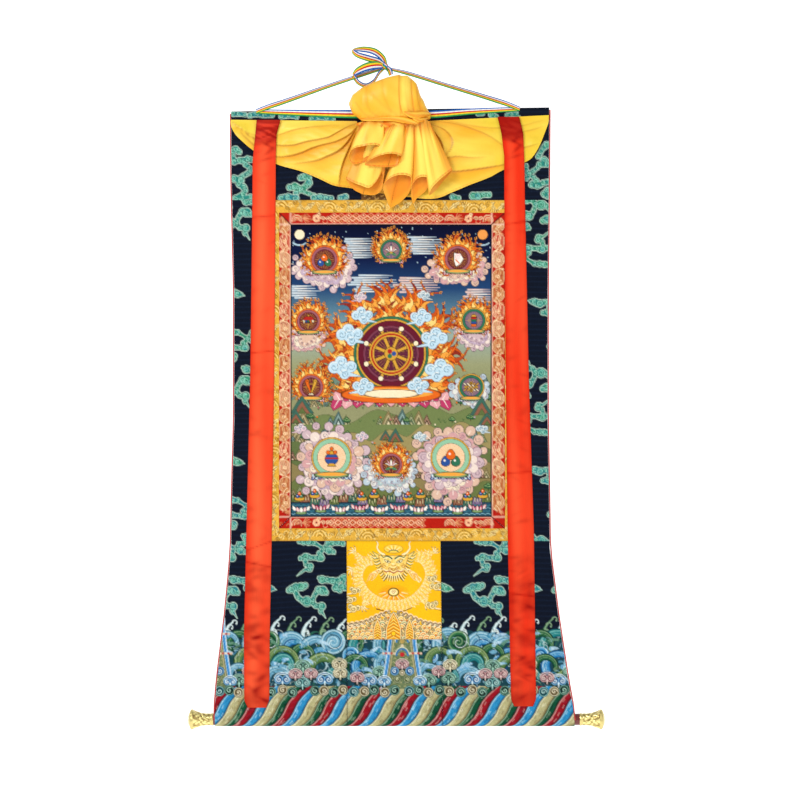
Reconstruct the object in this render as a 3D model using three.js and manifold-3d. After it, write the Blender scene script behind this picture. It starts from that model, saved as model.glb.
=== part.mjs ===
// A hanging scroll painting mounted in silk brocade, with its silk cover gathered up and tied back.
// Sizes are in millimetres. X runs to the right, Z up, and the painted face looks along -Y.
// The origin is the hang point, where the hanging tape is highest.
import * as THREE from 'three';
import { mergeVertices } from 'three/addons/utils/BufferGeometryUtils.js';
import Module from 'manifold-3d';

const wasm = await Module();
wasm.setup();

// Thicknesses, and the gap left at every seam
const BROCADE = 2;
const VEIL = 1.8;
const SATIN = 1.6;
const TAPE = 1.2;
const SEAM = 0.3;

// The flat wooden slat at the top and the round wooden roller at the bottom
const SLAT = { thickness: 8, height: 26, inset: 3 };
const ROLLER = { radius: 13, left: -383.5, right: 441.7 };
const FINIAL_GAP = 0.3;

// The top edge rises to the right, and the bottom edge is level
const TOP = { left: { x: -346, z: -98 }, right: { x: 376, z: -89 } };
const BOTTOM = -1484;

// Seams between the cloth pieces
const FRAME = { left: -263.3, right: 301.5, top: -298.3, bottom: -1065.2 };
const GOLD_WIDTH = 28.2;
const RED_WIDTH = { left: 25.8, right: 29.7, top: 26.3, bottom: 25.9 };
const PATCH = { left: -83.2, right: 128.3, bottom: -1287 };
const SKIRT_SPREAD = { left: 1.7, right: 4.9 };

// Side edges of the hanging cloth, a row for each height where they turn
const OUTLINE = [
  { z: -98, left: -346, right: 376 },
  { z: -253, left: -345, right: 375 },
  { z: -505, left: -339, right: 372.5 },
  { z: -793, left: -339, right: 372.5 },
  { z: -937, left: -343, right: 375 },
  { z: -1081, left: -346, right: 377 },
  { z: -1153, left: -352, right: 386 },
  { z: -1225, left: -359, right: 395 },
  { z: -1297, left: -368, right: 406 },
  { z: -1369, left: -377, right: 417 },
  { z: -1440, left: -383, right: 430 },
  { z: -1484, left: -383, right: 434 },
];
const PIPING = { radius: 1.5, sides: 6 };

// How many steps each run of cloth takes on its way down
const STEPS = { side: 16, skirt: 10, patch: 5 };
const FRONT_SHARES = [0, 0.05, 0.2, 0.4, 0.6, 0.8, 1];

// The long ribbons, a row for each height where an edge turns
const RIBBONS = {
  left: [
    { z: -119, left: -285, right: -231 },
    { z: -152, left: -288, right: -240 },
    { z: -210, left: -294, right: -242 },
    { z: -700, left: -300, right: -246 },
    { z: -1040, left: -308, right: -251 },
    { z: -1290, left: -314, right: -256 },
    { z: -1424, left: -313, right: -257 },
    { z: -1440, left: -305, right: -264 },
  ],
  right: [
    { z: -112, left: 256, right: 305 },
    { z: -150, left: 265, right: 314 },
    { z: -200, left: 271, right: 316 },
    { z: -700, left: 275, right: 327 },
    { z: -1040, left: 279, right: 338 },
    { z: -1290, left: 284, right: 341 },
    { z: -1421, left: 287, right: 343 },
    { z: -1437, left: 294, right: 336 },
  ],
};

// The veil's sewn top edge and its hem, a row for each place where they turn
const VEIL_TOP = [
  { x: -344, z: -118 },
  { x: -52, z: -121 },
  { x: 90, z: -121 },
  { x: 372, z: -107.5 },
];
const VEIL_HEM = [
  { x: -344, z: -118 },
  { x: -343, z: -131 },
  { x: -333, z: -151 },
  { x: -316, z: -168 },
  { x: -293, z: -187 },
  { x: -242, z: -217 },
  { x: -183, z: -235 },
  { x: -149, z: -249 },
  { x: -111, z: -266 },
  { x: -79, z: -271 },
  { x: 19, z: -287 },
  { x: 116, z: -295 },
  { x: 157, z: -280 },
  { x: 195, z: -264 },
  { x: 239, z: -247 },
  { x: 269, z: -231 },
  { x: 318, z: -214 },
  { x: 334, z: -203 },
  { x: 350, z: -178 },
  { x: 362, z: -149 },
  { x: 371, z: -123 },
  { x: 372, z: -107.5 },
];
// The swag's folds run out from two hearts beside the bunch
const HEARTS = { left: { x: -52, z: -121 }, right: { x: 90, z: -121 }, radius: 8 };
const FOLDS = { left: { count: 5, start: 0.45 }, right: { count: 4.4, start: 0.35 } };

// The puff of gathered silk, a row for each section across it
const PUFF = [
  { x: -77, top: -80, foot: -88, depth: 6 },
  { x: -69, top: -64, foot: -107, depth: 15 },
  { x: -47, top: -48, foot: -126, depth: 22 },
  { x: -24, top: -38, foot: -127, depth: 25 },
  { x: 9, top: -24, foot: -124, depth: 26 },
  { x: 35, top: -20, foot: -132, depth: 25 },
  { x: 40, top: -24, foot: -133, depth: 21 },
  { x: 53, top: -22, foot: -136, depth: 23 },
  { x: 63, top: -31, foot: -134, depth: 18 },
  { x: 73, top: -35, foot: -131, depth: 19 },
  { x: 85, top: -68, foot: -125, depth: 15 },
  { x: 98, top: -92, foot: -121, depth: 10 },
  { x: 105, top: -109, foot: -118, depth: 6 },
];
const PUFF_BACK = -11.2;
const PUFF_OPENING = { from: -55, to: 262 };

// The veil's end hangs from the bunch in two fluted layers, a row for each flute.
// throat and mouth are the middle of its two ends, front and back the heights of its lip,
// tilt raises the lip's right end, and lean moves the back of the lip to the right.
const LAYERS = {
  far: {
    plane: -17,
    depth: 21,
    flutes: [
      { throat: -26, mouth: -47, wide: 35, front: -252, back: -289, tilt: -3, lean: 0 },
      { throat: 14, mouth: 30, wide: 32, front: -243, back: -314, tilt: 0, lean: -8 },
      { throat: 48, mouth: 84, wide: 21, front: -244, back: -283, tilt: 0, lean: 0 },
      { throat: 76, mouth: 128, wide: 23, front: -254, back: -268, tilt: 24, lean: 0 },
    ],
  },
  near: {
    plane: -36,
    depth: 22,
    flutes: [
      { throat: -24, mouth: -42, wide: 37, front: -181, back: -221, tilt: 10, lean: 0 },
      { throat: 16, mouth: 18, wide: 23, front: -196, back: -226, tilt: 6, lean: -4 },
    ],
  },
};
const THROAT = { z: -124, wide: 0.55, deep: 0.4 };
const FLUTE_REACH = 125;
const FLUTE_STEPS = 8;
const BUNCH = { x: 18, y: -27, z: -131, wide: 80, deep: 18.5, tall: 11 };

// The hanging tape, with the route of each of its stretches.
// lean turns its broad face away from the viewer, in degrees.
const TAPE_WIDTH = 19;
const TAPE_ROUTES = {
  left: [
    { x: -286, y: -7.4, z: -99, lean: 0, wide: 0.5 },
    { x: -262, y: -8.8, z: -90, lean: -20, wide: 0.6 },
    { x: -225, y: -7, z: -77.5, lean: -45, wide: 0.85 },
    { x: -120, y: -3, z: -40, lean: -55, wide: 0.9 },
    { x: -40, y: 0, z: -13, lean: -55, wide: 0.9 },
    { x: 3, y: 0, z: 0, lean: -60, wide: 0.7 },
  ],
  right: [
    { x: 306, y: -7.4, z: -93.5, lean: 0, wide: 0.5 },
    { x: 282, y: -8.8, z: -84, lean: 20, wide: 0.6 },
    { x: 240, y: -7, z: -70, lean: 45, wide: 0.85 },
    { x: 130, y: -3, z: -36, lean: 55, wide: 0.9 },
    { x: 50, y: 0, z: -11, lean: 55, wide: 0.9 },
    { x: 3, y: 0, z: 0, lean: 60, wide: 0.7 },
  ],
  foot: [
    { x: -286, y: -7.3, z: -99, lean: 0, wide: 0.5 },
    { x: -200, y: -7.3, z: -102, lean: 0, wide: 0.7 },
    { x: -80, y: -7.3, z: -105, lean: 0, wide: 0.95 },
    { x: 100, y: -7.3, z: -106, lean: 0, wide: 0.9 },
    { x: 200, y: -7.3, z: -99, lean: 0, wide: 0.7 },
    { x: 306, y: -7.3, z: -93.5, lean: 0, wide: 0.5 },
  ],
};
const BOW_ROUTES = [
  [
    { x: 5, y: 0, z: 5, lean: 40, wide: 0.6 },
    { x: -3, y: -5, z: 22, lean: 50, wide: 0.8 },
    { x: -23, y: -9, z: 38, lean: 50, wide: 0.9 },
    { x: -50, y: -11, z: 42, lean: 50, wide: 0.9 },
    { x: -69, y: -13, z: 41, lean: 60, wide: 0.9 },
    { x: -64, y: -17, z: 31, lean: 60, wide: 0.9 },
    { x: -36, y: -14, z: 22, lean: 60, wide: 0.9 },
    { x: -12, y: -8, z: 17, lean: 60, wide: 0.8 },
    { x: 3, y: -2, z: 6, lean: 40, wide: 0.6 },
  ],
  [
    { x: 4, y: -2, z: 4, lean: 0, wide: 0.6 },
    { x: -14, y: -8, z: 5, lean: 0, wide: 0.95 },
    { x: -36, y: -12, z: 1, lean: 5, wide: 1 },
    { x: -58, y: -12, z: -9, lean: 30, wide: 0.9 },
    { x: -68, y: -6, z: -17, lean: 60, wide: 0.7 },
  ],
  [
    { x: -68, y: -6, z: -17, lean: 60, wide: 0.7 },
    { x: -57, y: -4, z: -33, lean: 62, wide: 0.8 },
    { x: -40, y: -4, z: -40, lean: 66, wide: 0.8 },
    { x: -22, y: -4, z: -30, lean: 76, wide: 0.8 },
    { x: -10, y: -3, z: -12, lean: 76, wide: 0.8 },
    { x: 2, y: -2, z: 1, lean: 60, wide: 0.6 },
  ],
  [
    { x: 4, y: -2, z: 2, lean: 40, wide: 0.6 },
    { x: 13, y: -5, z: -5, lean: 40, wide: 0.7 },
    { x: 17, y: -6, z: -17, lean: 50, wide: 0.7 },
  ],
];
const KNOT = { x: 3, y: -2, z: 3, wide: 8, deep: 6, tall: 7 };

// Brass roller ends, from the roller outwards
const FINIAL = [
  { along: 0, radius: 13.5 },
  { along: 3, radius: 14.4 },
  { along: 6, radius: 13.3 },
  { along: 20, radius: 13.6 },
  { along: 30, radius: 15.6 },
  { along: 38, radius: 18.4 },
  { along: 44, radius: 21.2 },
  { along: 47, radius: 22.7 },
  { along: 50, radius: 22.7 },
  { along: 52, radius: 20.5 },
  { along: 55, radius: 13 },
];
const FINIAL_SIDES = 24;

// Planes worked out from the sizes above
const SLEEVE_RADIUS = SLAT.thickness / 2 + SEAM + BROCADE / 2;
const FRONT = -SLEEVE_RADIUS;
const WRAP_RADIUS = ROLLER.radius + SEAM + BROCADE / 2;
const AXIS = { y: FRONT + WRAP_RADIUS, z: BOTTOM + WRAP_RADIUS + BROCADE / 2 };
const VEIL_PLANE = FRONT - BROCADE / 2 - SEAM - VEIL / 2;
const RIBBON_PLANE = FRONT - BROCADE / 2 - SEAM - SATIN / 2;
const TOP_SLOPE = (TOP.right.z - TOP.left.z) / (TOP.right.x - TOP.left.x);
const EDGE_INSET = 2 * PIPING.radius + SEAM;
const SIDE_FOOT = FRAME.bottom - SEAM / 2;
const SKIRT_TOP = SIDE_FOOT - SEAM;

const turn = THREE.MathUtils.degToRad;
const mix = THREE.MathUtils.lerp;

// Reads a table's column at a place along another column
function along(table, key, column, at) {
  const rising = table[0][key] < table[table.length - 1][key];
  const rows = rising ? table : [...table].reverse();
  if (at <= rows[0][key]) return rows[0][column];
  for (let i = 1; i < rows.length; i += 1) {
    if (at <= rows[i][key]) {
      const share = (at - rows[i - 1][key]) / (rows[i][key] - rows[i - 1][key]);
      return mix(rows[i - 1][column], rows[i][column], share);
    }
  }
  return rows[rows.length - 1][column];
}

const topEdge = (x) => TOP.left.z + (x - TOP.left.x) * TOP_SLOPE;
const leftEdge = (z) => along(OUTLINE, 'z', 'left', z);
const rightEdge = (z) => along(OUTLINE, 'z', 'right', z);
const insideLeft = (z) => leftEdge(z) + EDGE_INSET;
const insideRight = (z) => rightEdge(z) - EDGE_INSET;

// Heights on the front of the top panel, from the sleeve's shoulder down to the seam
const shoulderEdge = (x) => topEdge(x) - BROCADE / 2 - SLEEVE_RADIUS;
const frontLevel = (x, share) => mix(shoulderEdge(x), FRAME.top + SEAM, share);

// The slow waves that all the hanging cloth shares, none at the slat and the roller
function sway(x, z) {
  const held = THREE.MathUtils.smoothstep(-150 - z, 0, 160) * THREE.MathUtils.smoothstep(z - AXIS.z, 0, 220);
  return held * (2.2 * Math.sin(x / 95 + z / 210 + 0.6) + 1.3 * Math.sin(x / 58 - z / 130 + 2.1));
}

// A closed body from an index of faces, turned so that the faces point out
function body(points, faces) {
  const corner = new THREE.Vector3();
  let volume = 0;
  for (const [a, b, c] of faces) {
    volume += corner.copy(points[a]).cross(points[b]).dot(points[c]);
  }
  const index = faces.flatMap(([a, b, c]) => (volume > 0 ? [a, b, c] : [a, c, b]));
  const geometry = new THREE.BufferGeometry().setFromPoints(points);
  geometry.setIndex(index);
  return geometry;
}

// A thick sheet: middle(u, v) is its middle surface, and facing(u, v) the way it is thick
function sheet(columns, rows, middle, thickness, facing = surfaceNormal(middle)) {
  const points = [];
  const layer = (columns + 1) * (rows + 1);
  for (const side of [-0.5, 0.5]) {
    for (let j = 0; j <= rows; j += 1) {
      for (let i = 0; i <= columns; i += 1) {
        const offset = facing(i / columns, j / rows).multiplyScalar(side * thickness);
        points.push(middle(i / columns, j / rows).add(offset));
      }
    }
  }
  const at = (i, j, side) => side * layer + j * (columns + 1) + i;
  const faces = [];
  const quad = (a, b, c, d) => faces.push([a, b, c], [a, c, d]);
  for (let j = 0; j < rows; j += 1) {
    for (let i = 0; i < columns; i += 1) {
      quad(at(i, j, 0), at(i, j + 1, 0), at(i + 1, j + 1, 0), at(i + 1, j, 0));
      quad(at(i, j, 1), at(i + 1, j, 1), at(i + 1, j + 1, 1), at(i, j + 1, 1));
    }
  }
  for (let i = 0; i < columns; i += 1) {
    quad(at(i, 0, 0), at(i + 1, 0, 0), at(i + 1, 0, 1), at(i, 0, 1));
    quad(at(i, rows, 0), at(i, rows, 1), at(i + 1, rows, 1), at(i + 1, rows, 0));
  }
  for (let j = 0; j < rows; j += 1) {
    quad(at(0, j, 0), at(0, j, 1), at(0, j + 1, 1), at(0, j + 1, 0));
    quad(at(columns, j, 0), at(columns, j + 1, 0), at(columns, j + 1, 1), at(columns, j, 1));
  }
  return body(points, faces);
}

// The unit normal of a surface, from points a short step apart
function surfaceNormal(middle, step = 1e-3) {
  return (u, v) => {
    const across = middle(Math.min(u + step, 1), v).sub(middle(Math.max(u - step, 0), v));
    const down = middle(u, Math.min(v + step, 1)).sub(middle(u, Math.max(v - step, 0)));
    return across.cross(down).normalize();
  };
}

const backwards = () => new THREE.Vector3(0, 1, 0);

// A flat piece between two side lines and two level lines, on the waves of the cloth
function flatPiece(left, right, top, bottom, columns, rows) {
  const middle = (u, v) => {
    const z = mix(top, bottom, v);
    const x = mix(left(z), right(z), u);
    return new THREE.Vector3(x, FRONT + sway(x, z), z);
  };
  return sheet(columns, rows, middle, BROCADE, backwards);
}

// A strip with mitred ends, between an outer and an inner corner at each end
function mitredStrip(outerStart, outerEnd, innerStart, innerEnd, steps) {
  const middle = (u, v) => {
    const x = mix(mix(outerStart[0], outerEnd[0], v), mix(innerStart[0], innerEnd[0], v), u);
    const z = mix(mix(outerStart[1], outerEnd[1], v), mix(innerStart[1], innerEnd[1], v), u);
    return new THREE.Vector3(x, FRONT + sway(x, z), z);
  };
  return sheet(1, steps, middle, BROCADE, backwards);
}

// Evenly spread places along a route of [y, z] stations, given as a share of its steps
function station(route, share) {
  const place = Math.min(share * (route.length - 1), route.length - 1 - 1e-9);
  const first = Math.floor(place);
  const part = place - first;
  return [mix(route[first][0], route[first + 1][0], part), mix(route[first][1], route[first + 1][1], part)];
}

// The top panel's section: up the front, over the slat, down its back and forward to the stitching
function sleeveRoute() {
  const shoulder = -BROCADE / 2 - SLEEVE_RADIUS;
  const heel = shoulder - (SLAT.height - SLAT.thickness);
  const route = [...FRONT_SHARES].reverse().map((share) => [FRONT, share]);
  for (const angle of [150, 120, 90, 60, 30, 0]) {
    route.push([SLEEVE_RADIUS * Math.cos(turn(angle)), shoulder + SLEEVE_RADIUS * Math.sin(turn(angle))]);
  }
  for (const angle of [0, -30, -60]) {
    route.push([SLEEVE_RADIUS * Math.cos(turn(angle)), heel + SLEEVE_RADIUS * Math.sin(turn(angle))]);
  }
  route.push([FRONT + BROCADE + SEAM, heel - 9]);
  route.push([FRONT + BROCADE + SEAM, heel - 18]);
  return route;
}

function topPanel() {
  const route = sleeveRoute();
  const middle = (u, v) => {
    // Heights of 0 and more are shares of the way down the front, and the rest lie below the top edge
    const [y, height] = station(route, v);
    const level = mix(TOP.left.x, TOP.right.x, u);
    const z = height >= 0 ? frontLevel(level, height) : topEdge(level) + height;
    const x = mix(insideLeft(z), insideRight(z), u);
    return new THREE.Vector3(x, y + (height >= 0 ? sway(x, z) : 0), z);
  };
  return sheet(15, route.length - 1, middle, BROCADE);
}

// A bottom panel: down the front and round the roller
function skirtPanel(left, right, top, columns, rows) {
  const turnStart = 180;
  const turnEnd = 455;
  const turnSteps = 13;
  const total = rows + turnSteps;
  const middle = (u, v) => {
    const place = v * total;
    if (place <= rows) {
      const z = mix(top, AXIS.z, place / rows);
      const x = mix(left(z), right(z), u);
      return new THREE.Vector3(x, FRONT + sway(x, z), z);
    }
    const angle = turn(mix(turnStart, turnEnd, (place - rows) / turnSteps));
    const y = AXIS.y + WRAP_RADIUS * Math.cos(angle);
    const z = AXIS.z + WRAP_RADIUS * Math.sin(angle);
    const level = Math.min(z, AXIS.z);
    return new THREE.Vector3(mix(left(level), right(level), u), y, z);
  };
  return sheet(columns, total, middle, BROCADE);
}

// The seams that run down between the bottom panels
const skirtShare = (z) => (FRAME.bottom - z) / (FRAME.bottom - BOTTOM);
const leftSeam = (z) => PATCH.left + SKIRT_SPREAD.left * skirtShare(z);
const rightSeam = (z) => PATCH.right + SKIRT_SPREAD.right * skirtShare(z);

// A round corded edge down one side, in step with the rows of the panels beside it
function piping(edge, side, corner) {
  const levels = FRONT_SHARES.map((share) => frontLevel(corner, share));
  for (let i = 1; i <= STEPS.side; i += 1) levels.push(mix(FRAME.top, SIDE_FOOT, i / STEPS.side));
  for (let i = 1; i <= STEPS.skirt; i += 1) levels.push(mix(SKIRT_TOP, AXIS.z, i / STEPS.skirt));
  const points = [];
  for (const z of levels) {
    const inner = edge(z) + side * EDGE_INSET;
    const x = edge(z) + side * PIPING.radius;
    for (let i = 0; i < PIPING.sides; i += 1) {
      const angle = (2 * Math.PI * i) / PIPING.sides;
      const y = FRONT + sway(inner, z) + PIPING.radius * Math.sin(angle);
      points.push(new THREE.Vector3(x + PIPING.radius * Math.cos(angle), y, z));
    }
  }
  const faces = [];
  const last = (levels.length - 1) * PIPING.sides;
  for (let i = 0; i < PIPING.sides; i += 1) {
    const next = (i + 1) % PIPING.sides;
    for (let row = 0; row < last; row += PIPING.sides) {
      faces.push([row + i, row + next, row + next + PIPING.sides]);
      faces.push([row + i, row + next + PIPING.sides, row + i + PIPING.sides]);
    }
    if (i > 0 && next > 0) faces.push([0, next, i], [last, last + i, last + next]);
  }
  return body(points, faces);
}

// Depth of the veil's swag, with the folds that run out from the nearer heart
function swagDepth(x, z) {
  const side = x < (HEARTS.left.x + HEARTS.right.x) / 2 ? 'left' : 'right';
  const heart = HEARTS[side];
  const out = Math.max(side === 'left' ? heart.x - x : x - heart.x, 0);
  const drop = Math.max(heart.z - z, 0);
  const share = Math.atan2(drop, out + 1e-6) / (Math.PI / 2);
  const turns = FOLDS[side].count * share + 0.3 * Math.sin(6 * share) + FOLDS[side].start;
  const wave = 0.5 - 0.5 * Math.cos(2 * Math.PI * turns);
  const strength = 3 + 7 * Math.exp(-Math.hypot(out, drop) / 90);
  const free = THREE.MathUtils.smoothstep(along(VEIL_TOP, 'x', 'z', x) - z, 0, 28);
  return free * strength * wave;
}

// The swag: each line of cloth runs from a heart, or from between the two, to the hem
function swag() {
  const hem = new THREE.CatmullRomCurve3(VEIL_HEM.map(({ x, z }) => new THREE.Vector3(x, 0, z)));
  const middle = (u, v) => {
    const edge = hem.getPointAt(u);
    const x = THREE.MathUtils.clamp(edge.x, HEARTS.left.x, HEARTS.right.x);
    const start = new THREE.Vector3(x, 0, HEARTS.left.z);
    const way = edge.clone().sub(start).normalize();
    const point = start.addScaledVector(way, HEARTS.radius).lerp(edge, v);
    point.y = VEIL_PLANE + sway(point.x, point.z) - swagDepth(point.x, point.z);
    return point;
  };
  return sheet(58, 5, middle, VEIL, backwards);
}

// The puff: an open loop of cloth in each section, drawn in at both ends
function puff() {
  const first = PUFF[0].x;
  const last = PUFF[PUFF.length - 1].x;
  const middle = (u, v) => {
    const x = mix(first, last, u);
    const top = along(PUFF, 'x', 'top', x) - VEIL / 2;
    const foot = along(PUFF, 'x', 'foot', x) + VEIL / 2;
    const depth = along(PUFF, 'x', 'depth', x);
    const angle = turn(mix(PUFF_OPENING.from, PUFF_OPENING.to, v));
    const y = PUFF_BACK - depth + depth * Math.cos(angle);
    const z = (top + foot) / 2 + ((top - foot) / 2) * Math.sin(angle);
    return new THREE.Vector3(x, y, z);
  };
  return sheet(18, 13, middle, VEIL);
}

// A fluted layer: each flute is the front of a cone, and links at the back join it to the next
function flutedLayer({ plane, depth, flutes }) {
  const ribs = [];
  for (const { throat, mouth, wide, front, back, tilt, lean } of flutes) {
    for (let i = 0; i <= FLUTE_STEPS; i += 1) {
      const angle = turn(mix(-FLUTE_REACH, FLUTE_REACH, i / FLUTE_STEPS));
      const forward = (1 + Math.cos(angle)) / 2;
      const aside = wide * Math.sin(angle);
      const height = mix(back, front, forward) + tilt * Math.sin(angle);
      ribs.push([
        new THREE.Vector3(throat + THROAT.wide * aside, plane - THROAT.deep * depth * forward, THROAT.z),
        new THREE.Vector3(mouth + aside + lean * (1 - forward), plane - depth * forward, height),
      ]);
    }
  }
  const columns = ribs.length - 1;
  const middle = (u, v) => {
    const place = Math.min(u * columns, columns - 1e-6);
    const first = Math.floor(place);
    const [topA, footA] = ribs[first];
    const [topB, footB] = ribs[first + 1];
    const top = topA.clone().lerp(topB, place - first);
    return top.lerp(footA.clone().lerp(footB, place - first), v);
  };
  return sheet(columns, 3, middle, VEIL);
}

// The bunch of gathered cloth behind the flutes, where swag, puff and flutes meet
function bunch() {
  const geometry = new THREE.SphereGeometry(1, 16, 8);
  geometry.scale(BUNCH.wide, BUNCH.deep, BUNCH.tall);
  geometry.translate(BUNCH.x, BUNCH.y, BUNCH.z);
  return geometry;
}

// Joins closed bodies into one
function joined(geometries) {
  const solids = geometries.map((geometry) => {
    const bare = geometry.clone();
    bare.deleteAttribute('normal');
    bare.deleteAttribute('uv');
    const merged = mergeVertices(bare, 1e-4);
    return new wasm.Manifold(new wasm.Mesh({
      numProp: 3,
      vertProperties: new Float32Array(merged.attributes.position.array),
      triVerts: new Uint32Array(merged.index.array),
    }));
  });
  const whole = solids.reduce((sum, solid) => sum.add(solid)).simplify(0.12);
  const result = whole.getMesh();
  const geometry = new THREE.BufferGeometry();
  geometry.setAttribute('position', new THREE.BufferAttribute(new Float32Array(result.vertProperties), 3));
  geometry.setIndex(new THREE.BufferAttribute(new Uint32Array(result.triVerts), 1));
  return geometry;
}

// A length of tape along a route, smoothed between its rows
function tape(route, steps) {
  const curve = new THREE.CatmullRomCurve3(route.map(({ x, y, z }) => new THREE.Vector3(x, y, z)));
  const rows = route.map(({ lean, wide }, i) => ({ share: i / (route.length - 1), lean, wide }));
  const broadside = (v) => {
    const tangent = curve.getTangent(v);
    const flat = new THREE.Vector3(-tangent.z, 0, tangent.x).normalize();
    const lean = turn(along(rows, 'share', 'lean', v));
    return flat.multiplyScalar(Math.cos(lean)).add(new THREE.Vector3(0, -Math.sin(lean), 0));
  };
  const middle = (u, v) => {
    const half = (TAPE_WIDTH / 2) * along(rows, 'share', 'wide', v);
    return curve.getPoint(v).addScaledVector(broadside(v), mix(-half, half, u));
  };
  const facing = (u, v) => broadside(v).cross(curve.getTangent(v)).normalize();
  return sheet(1, steps, middle, TAPE, facing);
}

function knot() {
  const geometry = new THREE.SphereGeometry(1, 10, 7);
  geometry.scale(KNOT.wide, KNOT.deep, KNOT.tall);
  geometry.translate(KNOT.x, KNOT.y, KNOT.z);
  return geometry;
}

function hanger() {
  const stretches = Object.values(TAPE_ROUTES).map((route) => tape(route, 14));
  const loops = BOW_ROUTES.map((route) => tape(route, 2 * (route.length - 1) + 2));
  return joined([...stretches, ...loops, knot()]);
}

// A ribbon lies on the cloth, and rises over the veil at its head
function ribbonDepth(x, z) {
  const hem = along(VEIL_HEM, 'x', 'z', x);
  const over = THREE.MathUtils.smoothstep(z - (hem - 70), 0, 58);
  const clear = SEAM + VEIL + 4.2;
  const ripple = 0.8 * (1 - Math.cos((z + 1040) / 11)) * Math.exp(-(((z + 1250) / 90) ** 2));
  return over * clear + ripple;
}

function ribbon(table) {
  const first = table[0].z;
  const last = table[table.length - 1].z;
  const middle = (u, v) => {
    const z = mix(first, last, v);
    const x = mix(along(table, 'z', 'left', z), along(table, 'z', 'right', z), u);
    const centre = mix(along(table, 'z', 'left', z), along(table, 'z', 'right', z), 0.5);
    return new THREE.Vector3(x, RIBBON_PLANE + sway(x, z) - ribbonDepth(centre, z), z);
  };
  return sheet(2, 44, middle, SATIN, backwards);
}

function slat() {
  const straight = (SLAT.height - SLAT.thickness) / 2;
  const radius = SLAT.thickness / 2;
  const section = new THREE.Shape();
  section.absarc(-straight, 0, radius, Math.PI / 2, Math.PI * 1.5);
  section.absarc(straight, 0, radius, -Math.PI / 2, Math.PI / 2);
  const length = TOP.right.x - TOP.left.x - 2 * SLAT.inset;
  const geometry = new THREE.ExtrudeGeometry(section, { depth: length, curveSegments: 4, bevelEnabled: false });
  geometry.translate(0, 0, -length / 2);
  geometry.rotateY(Math.PI / 2);
  return geometry;
}

function roller() {
  const geometry = new THREE.CylinderGeometry(ROLLER.radius, ROLLER.radius, ROLLER.right - ROLLER.left, 24);
  geometry.rotateZ(Math.PI / 2);
  return geometry;
}

function finial() {
  const length = FINIAL[FINIAL.length - 1].along;
  const profile = [new THREE.Vector2(0, 0)];
  for (const row of FINIAL) profile.push(new THREE.Vector2(row.radius, row.along));
  profile.push(new THREE.Vector2(0, length + 1.5));
  return new THREE.LatheGeometry(profile, FINIAL_SIDES);
}

// Materials by what each piece is made of
const FINISH = {
  navy: { color: 0x10182c, roughness: 0.8, metalness: 0 },
  gold: { color: 0xc79a3c, roughness: 0.6, metalness: 0 },
  red: { color: 0xb02a22, roughness: 0.7, metalness: 0 },
  canvas: { color: 0x3f6b62, roughness: 0.85, metalness: 0 },
  patch: { color: 0xe2a72a, roughness: 0.6, metalness: 0 },
  piping: { color: 0x9c2420, roughness: 0.6, metalness: 0 },
  satin: { color: 0xe0401e, roughness: 0.45, metalness: 0 },
  veil: { color: 0xf7bd33, roughness: 0.5, metalness: 0 },
  tape: { color: 0x3b76b5, roughness: 0.8, metalness: 0 },
  wood: { color: 0x6b1e16, roughness: 0.5, metalness: 0 },
  brass: { color: 0xcda64a, roughness: 0.3, metalness: 1 },
};

const scroll = new THREE.Group();

function add(name, geometry, finish) {
  const mesh = new THREE.Mesh(geometry, new THREE.MeshStandardMaterial(FINISH[finish]));
  mesh.name = name;
  scroll.add(mesh);
  return mesh;
}

// Navy brocade round the frames
const always = (x) => () => x;
add('top_panel', topPanel(), 'navy');
add('side_panel_left', flatPiece(
  insideLeft, always(FRAME.left - SEAM), FRAME.top, SIDE_FOOT, 2, STEPS.side), 'navy');
add('side_panel_right', flatPiece(
  always(FRAME.right + SEAM), insideRight, FRAME.top, SIDE_FOOT, 2, STEPS.side), 'navy');
add('bottom_panel_left', skirtPanel(insideLeft, leftSeam, SKIRT_TOP, 6, STEPS.skirt), 'navy');
add('bottom_panel_right', skirtPanel(
  (z) => rightSeam(z) + SEAM, insideRight, SKIRT_TOP, 6, STEPS.skirt), 'navy');
add('bottom_panel_centre', skirtPanel(
  (z) => leftSeam(z) + SEAM, rightSeam, PATCH.bottom - SEAM, 4, STEPS.patch), 'navy');
add('dragon_patch', flatPiece(
  (z) => leftSeam(z) + SEAM, rightSeam, SKIRT_TOP, PATCH.bottom, 4, STEPS.patch), 'patch');

// Two frames of mitred strips, the gold one outside the red one
const shrink = (box, by) => ({
  left: box.left + by.left, right: box.right - by.right, top: box.top - by.top, bottom: box.bottom + by.bottom,
});
const even = (size) => ({ left: size, right: size, top: size, bottom: size });
const goldInner = shrink(FRAME, even(GOLD_WIDTH));
const redOuter = shrink(goldInner, even(SEAM));
const redInner = shrink(redOuter, RED_WIDTH);
const canvas = shrink(redInner, even(SEAM));

function addFrame(name, outer, inner, finish) {
  const gap = SEAM / 2;
  const level = (z, box, pull) => [[box.left + pull, z], [box.right - pull, z]];
  const upright = (x, box, pull) => [[x, box.top - pull], [x, box.bottom + pull]];
  const strip = (side, [outerStart, outerEnd], [innerStart, innerEnd], steps) => {
    add(`${name}_${side}`, mitredStrip(outerStart, outerEnd, innerStart, innerEnd, steps), finish);
  };
  strip('top', level(outer.top, outer, gap), level(inner.top, inner, gap), 12);
  strip('bottom', level(outer.bottom, outer, gap), level(inner.bottom, inner, gap), 12);
  strip('left', upright(outer.left, outer, gap), upright(inner.left, inner, gap), 16);
  strip('right', upright(outer.right, outer, gap), upright(inner.right, inner, gap), 16);
}
addFrame('gold_frame', FRAME, goldInner, 'gold');
addFrame('red_frame', redOuter, redInner, 'red');
add('painting', flatPiece(
  always(canvas.left), always(canvas.right), canvas.top, canvas.bottom, 9, 13), 'canvas');

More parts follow.
